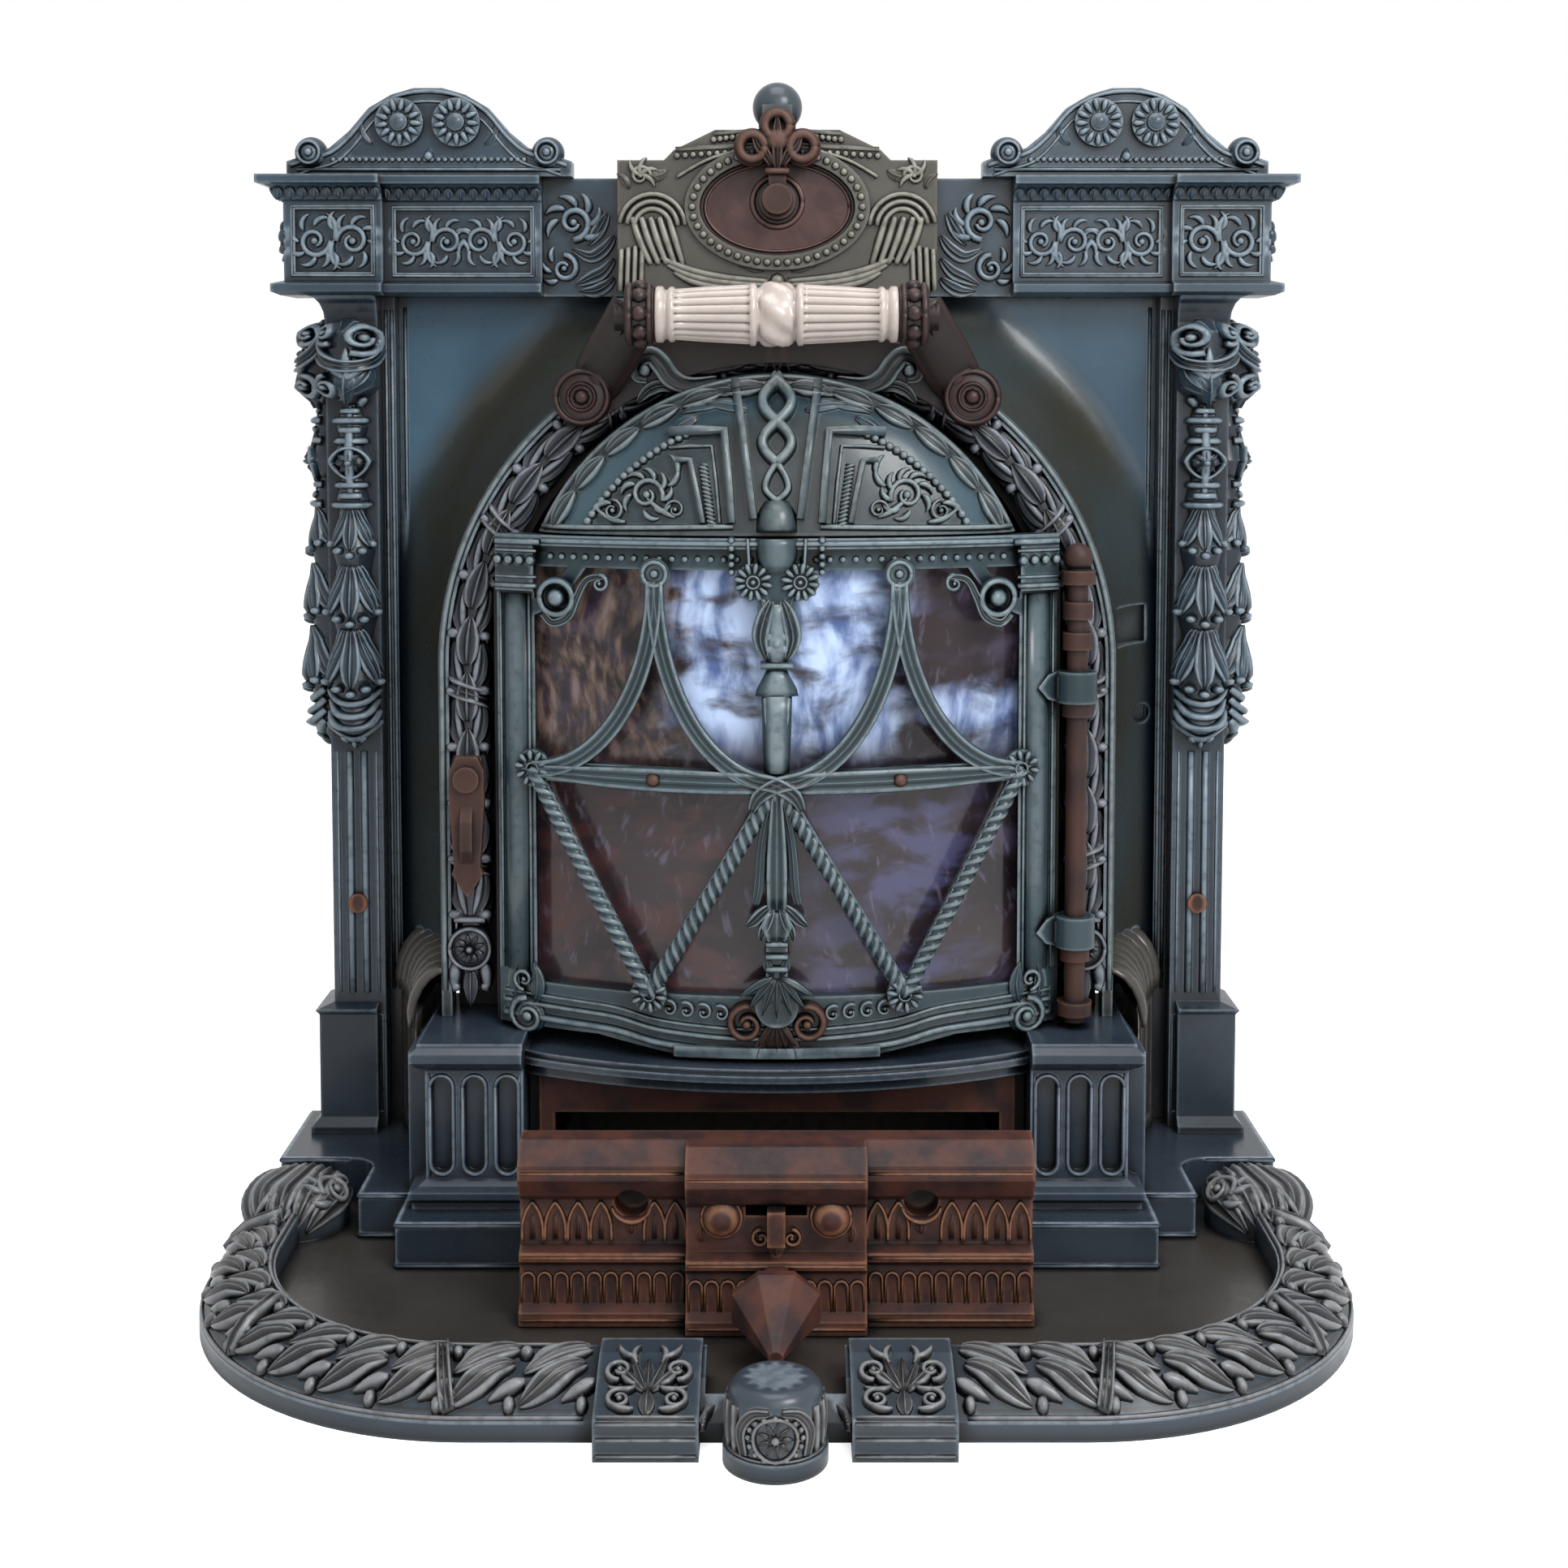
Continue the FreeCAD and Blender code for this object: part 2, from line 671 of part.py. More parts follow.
def right_pedestal():
    shaft_low = PLINTH_TOP + PEDESTAL_BASE
    shaft_high = PEDESTAL_TOP - PEDESTAL_CAP
    step = MOULDING_STEP
    neck = PEDESTAL_NECK_REACH
    base = [(PLINTH_TOP, PEDESTAL_FOOT_REACH), (PLINTH_TOP + step, PEDESTAL_FOOT_REACH)]
    base += [(PLINTH_TOP + step * 1.5, PEDESTAL_BASE_REACH), (PLINTH_TOP + step * 2.5, PEDESTAL_BASE_REACH)]
    base += [(PLINTH_TOP + step * 3.0, neck), (shaft_low, 0.0)]
    cap = [(shaft_high, 0.0), (shaft_high + step * 0.75, neck + 1.0)]
    cap += [(shaft_high + step * rise, PEDESTAL_CAP_REACH) for rise in (1.5, 2.75)]
    cap += [(PEDESTAL_TOP - step * 0.5, neck), (PEDESTAL_TOP, neck)]
    body = moulded_block(PEDESTAL_IN, PEDESTAL_OUT, PEDESTAL_BACK, PEDESTAL_FRONT, base + cap, 0, 1)
    pitch = (PEDESTAL_OUT - PEDESTAL_IN) / FLUTE_COUNT
    flutes = [flute(PEDESTAL_IN + pitch * (i + 0.5), shaft_low + step, shaft_high - step, PEDESTAL_FRONT)
              for i in range(FLUTE_COUNT)]
    pier = block(PEDESTAL_OUT - 1.0, PEDESTAL_OUT + PIER_WIDTH, PEDESTAL_BACK, PIER_FRONT, PLINTH_TOP, PIER_TOP)
    return fuse([cut(body, flutes), pier])


def right_cove_base():
    """Socle of the cove, hollow in plan, between pedestal and pilaster."""
    inner = PEDESTAL_OUT + PIER_WIDTH
    start = at(PANEL_HALF, COVE_BASE_START, PLINTH_TOP)
    end = at(inner, COVE_BASE_END, PLINTH_TOP)
    middle = at(inner + (PANEL_HALF - inner) * COVE_BASE_PULL, COVE_BASE_MIDDLE, PLINTH_TOP)
    back_in = at(inner, -CAST_WALL, PLINTH_TOP)
    back_out = at(PANEL_HALF, -CAST_WALL, PLINTH_TOP)
    edges = [Part.Arc(start, middle, end).toShape(), Part.makeLine(end, back_in)]
    edges += [Part.makeLine(back_in, back_out), Part.makeLine(back_out, start)]
    return edges_face(edges).extrude(V(0, 0, PEDESTAL_TOP - PLINTH_TOP))


# Facade
def cove_section():
    """Section of the cove at the right springing point, in x and front."""
    def curve(reach, depth):
        points = []
        for i in range(9):
            turn = math.pi / 2.0 * i / 8.0
            x = COVE_OUT - reach * math.cos(turn)
            points.append(at(x, RIM_FRONT - depth * math.sin(turn), ARCH_CENTRE))
        spline = Part.BSplineCurve()
        spline.interpolate(points)
        return spline.toShape(), points[0], points[-1]

    face, rim_out, panel_face = curve(COVE_REACH, RIM_FRONT)
    rear, rim_in, panel_rear = curve(COVE_REACH + CAST_WALL, RIM_FRONT + CAST_WALL)
    edges = [face, Part.makeLine(panel_face, panel_rear), rear, Part.makeLine(rim_in, rim_out)]
    return Part.Face(Part.Wire(Part.__sortEdges__(edges)))


def tie_places():
    turn = math.radians(TIE_ANGLE)
    high = (TIE_RADIUS * math.sin(turn), ARCH_CENTRE + TIE_RADIUS * math.cos(turn))
    low = (TIE_RADIUS, TIE_LOW)
    return [(sign * x, z) for sign in (1, -1) for x, z in (high, low)]


def facade_plate():
    cove = swept_section(cove_section(), PEDESTAL_TOP)
    panel = block(-PANEL_HALF, PANEL_HALF, -CAST_WALL, 0, ARCH_CENTRE, PANEL_TOP)
    panel = cut(panel, [rod_y(0, ARCH_CENTRE, -CAST_WALL - 1.0, 1.0, COVE_OUT)])
    limits = block(-PANEL_HALF, PANEL_HALF, -FAR, FAR, 0, PANEL_TOP)
    barrel = arch(BARREL_RADIUS, PEDESTAL_TOP - 1.0, -FAR, FAR)
    bosses = []
    for x, z in tie_places():
        bosses.append(rod_y(x, z, -CAST_WALL, TIE_BOSS_FRONT, TIE_BOSS_RADIUS))
    whole = cut(fuse([cove.common(limits), panel] + bosses), [barrel] + side_holes())
    return fuse([whole, side_flange()])


def side_holes():
    """Square hole and round hole through the cove beside the hinge."""
    half = SIDE_HOLE_HALF
    square = block(SIDE_HOLE_X - half, SIDE_HOLE_X + half, -CAST_WALL, RIM_FRONT, SIDE_HOLE_HEIGHT - half,
                   SIDE_HOLE_HEIGHT + half)
    return [square, rod_y(ROUND_HOLE_X, ROUND_HOLE_HEIGHT, -CAST_WALL, RIM_FRONT, ROUND_HOLE_RADIUS)]


def side_flange():
    """Flange behind the cove that closes both holes."""
    margin = SIDE_FLANGE_MARGIN
    low = ROUND_HOLE_HEIGHT - ROUND_HOLE_RADIUS - margin
    high = SIDE_HOLE_HEIGHT + SIDE_HOLE_HALF + margin
    return block(SIDE_HOLE_X - SIDE_HOLE_HALF - margin, PANEL_HALF, -CAST_WALL, 0, low, high)


def drop_profile(axis_x, axis_front, direction):
    """Hanging swag of scroll head, rings and leaf bulges, turned about an upright axis."""
    length = DROP_TOP - DROP_END
    swells = [(0.0, 0.35), (0.03, 1.15), (0.16, 1.3), (0.2, 0.45), (0.25, 0.75), (0.28, 0.6), (0.33, 1.05)]
    swells += [(0.37, 0.55), (0.42, 0.8), (0.46, 0.55), (0.54, 1.0), (0.6, 0.75), (0.68, 1.15), (0.75, 0.8)]
    swells += [(0.84, 1.25), (0.9, 0.95), (0.95, 1.15), (1.0, 0.2)]
    points = [at(axis_x, axis_front, DROP_TOP)]
    for share, swell in swells:
        reach = DROP_RADIUS * swell
        x = axis_x + reach * direction[0]
        points.append(at(x, axis_front + reach * direction[1], DROP_TOP - length * share))
    points.append(at(axis_x, axis_front, DROP_END))
    return polygon(points).revolve(at(axis_x, axis_front, DROP_TOP), V(0, 0, 1), 360)


def right_pilaster():
    shaft_in = PANEL_HALF + PILASTER_STEP
    shaft = block(shaft_in, PILASTER_OUT, -CAST_WALL, PILASTER_FRONT, PLINTH_TOP, PANEL_TOP)
    step = block(PANEL_HALF, shaft_in, -CAST_WALL, PILASTER_STEP_FRONT, PLINTH_TOP, PANEL_TOP)
    grow = PILASTER_PLINTH_GROW
    base = [(PLINTH_TOP, grow + 5.0), (PLINTH_TOP + 4.0, grow + 5.0), (PLINTH_TOP + PILASTER_FOOT, grow)]
    edge = MOULDING_STEP * 0.75
    base += [(PILASTER_PLINTH_TOP - edge * 2.0, grow), (PILASTER_PLINTH_TOP - edge, grow + edge * 0.7)]
    base += [(PILASTER_PLINTH_TOP, 0.0)]
    foot = moulded_block(shaft_in + 4.0, PILASTER_OUT, -CAST_WALL, PILASTER_FRONT, base, 0, 1)
    capital = cove_levels(PANEL_TOP - CAPITAL_HEIGHT, PANEL_TOP, 0.0, CAPITAL_REACH, 4)
    head = moulded_block(shaft_in, PILASTER_OUT, -CAST_WALL, PILASTER_FRONT, capital, 0, 1)
    middle = (shaft_in + PILASTER_OUT) / 2.0
    front_drop = drop_profile(middle, PILASTER_FRONT, (1, 0))
    side_drop = drop_profile(PILASTER_OUT, PILASTER_FRONT / 2.0, (0, 1))
    side_limit = block(PILASTER_OUT - 1.0, FAR, -CAST_WALL, FAR, 0, PANEL_TOP)
    return fuse([shaft, step, foot, head, front_drop, side_drop.common(side_limit)])


def entablature_levels():
    low = PANEL_TOP
    edge = ARCHITRAVE_REACH * 0.3
    levels = [(low, edge), (low + edge, ARCHITRAVE_REACH), (FRIEZE_BOTTOM - edge, ARCHITRAVE_REACH)]
    levels += [(FRIEZE_BOTTOM, 0.0), (FRIEZE_TOP, 0.0)]
    levels += cove_levels(FRIEZE_TOP + 1.0, ENTABLATURE_TOP - CORNICE_HEIGHT / 3.0, edge, CORNICE_REACH, 4)
    levels += [(ENTABLATURE_TOP, CORNICE_REACH)]
    return levels


def right_entablature():
    levels = entablature_levels()
    corner = moulded_block(CORNER_IN, CORNER_OUT, -CAST_WALL, CORNER_FRONT, levels, 0, 1)
    wide = moulded_block(WIDE_IN, CORNER_IN + 1.0, -CAST_WALL, WIDE_FRONT, levels, 0, 0)
    panels = []
    for x0, x1, front in ((CORNER_IN, CORNER_OUT, CORNER_FRONT), (WIDE_IN, CORNER_IN, WIDE_FRONT)):
        panels.append(block(x0 + FRIEZE_INSET, x1 - FRIEZE_INSET, front - FRIEZE_SINK, front + 1.0,
                            FRIEZE_BOTTOM + FRIEZE_MARGIN, FRIEZE_TOP - FRIEZE_MARGIN))
    return cut(fuse([corner, wide]), panels)


def pediment_outline(half):
    """Ogee pediment edges: level ends, a hollow and swelling rise and a rounded top."""
    foot = ENTABLATURE_TOP
    end = PEDIMENT_SHOULDER - 8.0
    crown = half * 0.42
    right = [(half, foot), (half, end), (half * 0.86, PEDIMENT_SHOULDER - 4.0), (half * 0.7, PEDIMENT_SHOULDER)]
    right += [(half * 0.56, PEDIMENT_SHOULDER + 10.0), (crown, PEDIMENT_TOP - 12.0)]
    right += [(half * 0.26, PEDIMENT_TOP - 4.0), (half * 0.1, PEDIMENT_TOP)]
    return right + [(-x, z) for x, z in reversed(right)]


def right_pediment():
    front = PEDIMENT_BACK + PEDIMENT_THICK
    plate = elevation(pediment_outline(PEDIMENT_HALF), PEDIMENT_BACK, front)
    bosses = []
    for sign in (1, -1):
        rosette = rod_y(sign * ROSETTE_SPREAD, ROSETTE_HEIGHT, PEDIMENT_BACK, front + ROSETTE_PROUD,
                        ROSETTE_RADIUS)
        eye = Part.makeSphere(ROSETTE_RADIUS * 0.4, at(sign * ROSETTE_SPREAD, front + ROSETTE_PROUD * 0.8,
                                                        ROSETTE_HEIGHT))
        height = ENTABLATURE_TOP + BALL_RADIUS + 4.0
        ball = Part.makeSphere(BALL_RADIUS, at(sign * BALL_SPREAD, front - 4.0, height))
        bosses += [rosette, eye, ball]
    whole = fuse([plate] + bosses)
    whole.translate(V(PEDIMENT_CENTRE, 0, 0))
    return whole


def spindle_hole(back, front, clearance):
    return rod_y(0, SPINDLE_HEIGHT, back, front, SPINDLE_RADIUS + clearance)


def frieze_panel():
    panel = block(-WIDE_IN, WIDE_IN, -CAST_WALL, CENTRE_PANEL_FRONT, PANEL_TOP, ENTABLATURE_TOP)
    return cut(panel, [spindle_hole(-FAR, FAR, SHELL_GAP)])


def oval(half_width, half_height, back, front):
    centre = at(0, front, OVAL_CENTRE)
    wire = Part.Ellipse(at(half_width, front, OVAL_CENTRE), at(0, front, OVAL_CENTRE + half_height), centre)
    return Part.Face(Part.Wire(wire.toShape())).extrude(V(0, front - back, 0))


def cartouche():
    knob_height = FINIAL_TOP - FINIAL_RADIUS
    right = [(CARTOUCHE_HALF - CARTOUCHE_CUT, PANEL_TOP), (CARTOUCHE_HALF, PANEL_TOP + CARTOUCHE_CUT)]
    right += [(CARTOUCHE_HALF, CARTOUCHE_SHOULDER), (CARTOUCHE_STEP_HALF + CARTOUCHE_CUT, CARTOUCHE_SHOULDER)]
    right += [(CARTOUCHE_STEP_HALF, CARTOUCHE_SHOULDER + CARTOUCHE_CUT)]
    right += [(CARTOUCHE_STEP_HALF * 0.6, CARTOUCHE_CROWN), (FINIAL_NECK, CARTOUCHE_CROWN), (FINIAL_NECK, knob_height)]
    outline = right + [(-x, z) for x, z in reversed(right)]
    body = elevation(outline, CENTRE_PANEL_FRONT, CARTOUCHE_FRONT)
    knob = Part.makeSphere(FINIAL_RADIUS, at(0, (CENTRE_PANEL_FRONT + CARTOUCHE_FRONT) / 2.0, knob_height))
    bead = oval(OVAL_HALF_WIDTH + OVAL_BEAD, OVAL_HALF_HEIGHT + OVAL_BEAD, CENTRE_PANEL_FRONT,
                CARTOUCHE_FRONT + OVAL_BEAD_PROUD)
    recess = oval(OVAL_HALF_WIDTH, OVAL_HALF_HEIGHT, OVAL_SEAT, FAR)
    return cut(fuse([body, knob, bead]), [recess, spindle_hole(-FAR, FAR, SHELL_GAP)])


def oval_plate():
    front = OVAL_SEAT + OVAL_PLATE_THICK
    plate = oval(OVAL_HALF_WIDTH - SHELL_GAP, OVAL_HALF_HEIGHT - SHELL_GAP, OVAL_SEAT, front)
    boss = rod_y(0, SPINDLE_HEIGHT, OVAL_SEAT + 1.0, KEY_BACK - SHELL_GAP, KEY_HUB + 2.0)
    return cut(fuse([plate, boss]), [spindle_hole(-FAR, FAR, PIN_FIT)])


# Damper
def damper_key():
    front = KEY_BACK + KEY_THICK
    hub = rod_y(0, SPINDLE_HEIGHT, KEY_BACK, front + KEY_HUB_PROUD, KEY_HUB)
    lobe_height = KEY_TOP - KEY_LOBE
    stem = elevation([(-KEY_STEM_HALF, SPINDLE_HEIGHT), (KEY_STEM_HALF, SPINDLE_HEIGHT),
                      (KEY_STEM_HALF * 1.6, lobe_height), (-KEY_STEM_HALF * 1.6, lobe_height)], KEY_BACK, front)
    lobes = [rod_y(0, lobe_height, KEY_BACK, front, KEY_LOBE)]
    eyes = [rod_y(0, lobe_height, KEY_BACK - 1.0, front + 1.0, KEY_LOBE * 0.4)]
    for sign in (1, -1):
        x = sign * KEY_LOBE * 1.35
        z = lobe_height - KEY_LOBE * 1.15
        lobes.append(rod_y(x, z, KEY_BACK, front, KEY_LOBE))
        eyes.append(rod_y(x, z, KEY_BACK - 1.0, front + 1.0, KEY_LOBE * 0.4))
    body = cut(fuse([hub, stem] + lobes), eyes)
    return cut(body, [rod_y(0, SPINDLE_HEIGHT, -FAR, front, SPINDLE_RADIUS)])


def damper_spindle():
    front = KEY_BACK + KEY_THICK
    back = -FLUE_BACK - FLUE_RADIUS - 4.0
    spindle = rod_y(0, SPINDLE_HEIGHT, back, front, SPINDLE_RADIUS)
    flat = block(-DAMPER_THICK / 2.0, DAMPER_THICK / 2.0, -FLUE_BACK - DAMPER_RADIUS, -FLUE_BACK + DAMPER_RADIUS,
                 SPINDLE_HEIGHT - SPINDLE_RADIUS - 1.0, SPINDLE_HEIGHT + SPINDLE_RADIUS + 1.0)
    return cut(spindle, [flat])


def damper_plate():
    disc = rod_x(-DAMPER_THICK / 2.0, DAMPER_THICK / 2.0, -FLUE_BACK, SPINDLE_HEIGHT, DAMPER_RADIUS)
    keep = block(-DAMPER_THICK, DAMPER_THICK, -FLUE_BACK - DAMPER_RADIUS, -FLUE_BACK + DAMPER_RADIUS,
                 SPINDLE_HEIGHT - DAMPER_HALF_WIDTH, SPINDLE_HEIGHT + DAMPER_HALF_WIDTH)
    return disc.common(keep)


def flue_collar():
    tube = rod_z(0, -FLUE_BACK, FLUE_FOOT, FLUE_TOP, FLUE_RADIUS)
    bead_low = SPINDLE_HEIGHT + SPINDLE_RADIUS + SHELL_GAP
    stop = rod_z(0, -FLUE_BACK, bead_low, bead_low + STOP_BEAD, FLUE_RADIUS + STOP_BEAD)
    saddle = arch_ring(SHELL_OUT + SADDLE_THICK, SHELL_OUT, ARCH_CENTRE - 1.0, -SHELL_BACK,
                       SADDLE_RADIUS - FLUE_BACK)
    saddle = saddle.common(rod_z(0, -FLUE_BACK, ARCH_CENTRE, FLUE_TOP, SADDLE_RADIUS))
    bore = rod_z(0, -FLUE_BACK, FLUE_FOOT - 1.0, FLUE_TOP + 1.0, FLUE_RADIUS - FLUE_WALL)
    return cut(fuse([tube, stop, saddle]), [bore, spindle_hole(-FAR, 0, SHELL_GAP)])


# Firebox
def firebox_shell():
    shell = arch_ring(SHELL_OUT, SHELL_OUT - SHELL_WALL, GRATE_SEAT, -SHELL_BACK, FRAME_BACK)
    throat = rod_z(0, -FLUE_BACK, ARCH_CENTRE, FAR, FLUE_RADIUS + SHELL_GAP)
    pedestals = block(-FAR, FAR, PEDESTAL_BACK - SHELL_GAP, FAR, 0, PEDESTAL_TOP)
    return cut(shell, [throat, pedestals])


def back_plate():
    plate = arch(BACK_PLATE_RADIUS, PLINTH_TOP, -SHELL_BACK - BACK_PLATE_THICK, -SHELL_BACK)
    groove = SHELL_OUT - BACK_GROOVE_INSET
    window = arch_ring(groove, groove - BACK_GROOVE, GRATE_SEAT + BACK_GROOVE_INSET, -FAR,
                       BACK_GROOVE_DEPTH - SHELL_BACK - BACK_PLATE_THICK)
    holes = [rod_y(x, z, -FAR, 0, TIE_ROD_RADIUS + SHELL_GAP) for x, z in tie_places()]
    return cut(plate, holes + [window])


def tie_rods():
    return [rod_y(x, z, -TIE_END, -CAST_WALL, TIE_ROD_RADIUS) for x, z in tie_places()]


def tie_nuts():
    back = -SHELL_BACK - BACK_PLATE_THICK
    nuts = []
    for x, z in tie_places():
        corners = []
        for i in range(6):
            turn = math.radians(60.0 * i)
            corners.append((x + TIE_NUT * math.cos(turn), z + TIE_NUT * math.sin(turn)))
        nut = elevation(corners, back - TIE_NUT, back)
        nuts.append(cut(nut, [rod_y(x, z, -FAR, 0, TIE_ROD_RADIUS)]))
    return nuts


def arch_frame():
    plate = arch_ring(SHELL_OUT, FRAME_OPENING, PEDESTAL_TOP, FRAME_BACK, FRAME_FRONT)
    jamb = block(FRAME_OPENING - JAMB_WIDTH, FRAME_OPENING, FRAME_BACK, JAMB_FRONT, PEDESTAL_TOP, DOOR_TOP)
    inside = arch(GARLAND_RADIUS - GARLAND_SECTION - SHELL_GAP, 0, 0, FAR)
    return fuse([plate] + both(jamb.common(inside)))


def right_pit_wall():
    front = PIT_FRAME_FRONT - PIT_FRAME_THICK
    return block(BAY_HALF, BAY_HALF + PIT_WALL, -SHELL_BACK, front, PLINTH_TOP, APRON_BOTTOM)


def grate_frame():
    outer = block(-SHELL_OUT, SHELL_OUT, -SHELL_BACK, APRON_BACK, APRON_BOTTOM, GRATE_SEAT)
    hole = block(-GRATE_HALF + GRATE_LEDGE, GRATE_HALF - GRATE_LEDGE, -GRATE_BACK + GRATE_LEDGE,
                 GRATE_FRONT - GRATE_LEDGE, 0, FAR)
    clear = block(PEDESTAL_IN, SHELL_OUT + 1.0, PEDESTAL_BACK - SHELL_GAP, FAR, 0, FAR)
    return cut(outer, [hole] + both(clear))


def fire_grate():
    ring = block(-GRATE_HALF, GRATE_HALF, -GRATE_BACK, GRATE_FRONT, GRATE_SEAT, GRATE_SEAT + GRATE_THICK)
    half = GRATE_HALF - GRATE_BAR
    hole = block(-half, half, GRATE_BAR - GRATE_BACK, GRATE_FRONT - GRATE_BAR, 0, FAR)
    pitch = (2 * GRATE_HALF - GRATE_BAR) / GRATE_BARS
    bars = []
    for i in range(1, GRATE_BARS):
        x = -GRATE_HALF + GRATE_BAR / 2.0 + pitch * i
        wide = GRATE_BAR / 2.0
        profile = [(x - wide, GRATE_SEAT + GRATE_THICK), (x + wide, GRATE_SEAT + GRATE_THICK)]
        profile += [(x + wide * 0.5, GRATE_SEAT), (x - wide * 0.5, GRATE_SEAT)]
        bars.append(elevation(profile, -GRATE_BACK + 1.0, GRATE_FRONT - 1.0))
    return fuse([cut(ring, [hole])] + bars)


def right_firebrick():
    brick = block(BRICK_IN, BRICK_IN + BRICK_THICK, REAR_BRICK_GAP - SHELL_BACK + BRICK_THICK, BRICK_FRONT - 2.0,
                  GRATE_SEAT, BRICK_TOP)
    low_front = [e for e in brick.Edges if e.BoundBox.ZMin > BRICK_TOP - 0.1 and e.BoundBox.XMax < BRICK_IN + 0.1]
    return brick.makeChamfer(BRICK_THICK * 0.4, low_front)


def rear_firebrick():
    half = BRICK_IN + BRICK_THICK
    return block(-half, half, -SHELL_BACK, BRICK_THICK - SHELL_BACK, GRATE_SEAT, BRICK_TOP)


# Apron, ash pit and garland
def apron_shelf():
    half = PEDESTAL_IN
    front = APRON_SIDE_FRONT + APRON_BOW

    def slab(reach, z0, z1):
        edge = APRON_SIDE_FRONT - reach
        arc = Part.Arc(at(-half, edge, z0), at(0, front - reach, z0), at(half, edge, z0))
        corners = [at(half, edge, z0), at(half, APRON_BACK, z0), at(-half, APRON_BACK, z0), at(-half, edge, z0)]
        edges = [arc.toShape()] + [Part.makeLine(a, b) for a, b in zip(corners, corners[1:])]
        return edges_face(edges).extrude(V(0, 0, z1 - z0))

    middle = (APRON_BOTTOM + APRON_TOP) / 2.0
    nose = APRON_TOP - APRON_STEP
    steps = [(APRON_STEP * 2.0, APRON_BOTTOM, middle), (0.0, middle, nose), (APRON_STEP, nose, APRON_TOP)]
    return fuse([slab(reach, z0, z1) for reach, z0, z1 in steps])


def ash_pit_frame():
    half = BAY_HALF - PIT_FRAME_GAP
    back = PIT_FRAME_FRONT - PIT_FRAME_THICK
    plate = block(-half, half, back, PIT_FRAME_FRONT, HEARTH_FLOOR, APRON_BOTTOM)
    opening = block(-PIT_OPENING_HALF, PIT_OPENING_HALF, 0, FAR, 0, PIT_OPENING_TOP)
    return cut(plate, [opening])


def garland_arch():
    front = GARLAND_FRONT - GARLAND_SECTION
    circle = Part.makeCircle(GARLAND_SECTION, at(GARLAND_RADIUS, front, ARCH_CENTRE), V(0, 0, 1))
    ring = Part.Face(Part.Wire(circle))
    whole = swept_section(ring, GARLAND_END)
    pins = []
    for i in range(GARLAND_PINS):
        turn = math.pi * i / (GARLAND_PINS - 1)
        x = GARLAND_RADIUS * math.cos(turn)
        z = ARCH_CENTRE + GARLAND_RADIUS * math.sin(turn)
        pins.append(rod_y(x, z, FRAME_FRONT, front, GARLAND_PIN_RADIUS))
    for sign in (1, -1):
        low = GARLAND_END + 2 * GARLAND_SECTION
        pins.append(rod_y(sign * GARLAND_RADIUS, low, FRAME_FRONT, front, GARLAND_PIN_RADIUS))
    whole = fuse([whole] + pins)
    clear = SHELL_GAP
    notch = block(HINGE_X - BRACKET_NECK / 2.0 - clear, HINGE_X + BRACKET_NECK / 2.0 + clear, 0, FAR,
                  BRACKET_HIGH - clear, BRACKET_HIGH + BRACKET_THICK + clear)
    stud = rod_y(LATCH_X, LATCH_HEIGHT, 0, FAR, LATCH_STUD + clear)
    return cut(whole, [notch, stud])


# Hood
def dome_curve(shrink):
    """Quarter oval from the hood's edge to its middle, drawn inwards by a wall's thickness."""
    points = []
    for i in range(HOOD_POINTS + 1):
        turn = math.pi / 2.0 * i / HOOD_POINTS
        radius = (HOOD_RADIUS - shrink) * math.cos(turn)
        front = HOOD_EDGE_FRONT + (HOOD_BOW - shrink) * math.sin(turn)
        points.append(at(0, front, HOOD_CENTRE + radius))
    spline = Part.BSplineCurve()
    spline.interpolate(points)
    return spline.toShape(), points[0], points[-1]


def hood():
    """Flattened bowl with a straight skirt, turned about its own middle and cut off above the door."""
    outer, outer_edge, outer_middle = dome_curve(0.0)
    inner, inner_edge, inner_middle = dome_curve(HOOD_WALL)
    outer_foot = at(0, FRAME_FRONT, HOOD_CENTRE + HOOD_RADIUS)
    inner_foot = at(0, FRAME_FRONT, HOOD_CENTRE + HOOD_RADIUS - HOOD_WALL)
    lines = [(outer_foot, outer_edge), (outer_middle, inner_middle)]
    lines += [(inner_edge, inner_foot), (inner_foot, outer_foot)]
    edges = [outer, inner] + [Part.makeLine(start, end) for start, end in lines]
    section = Part.Face(Part.Wire(Part.__sortEdges__(edges)))
    bowl = section.revolve(at(0, 0, HOOD_CENTRE), V(0, 1, 0), 360)
    return bowl.common(block(-FAR, FAR, 0, FAR, HOOD_BASE, FAR))


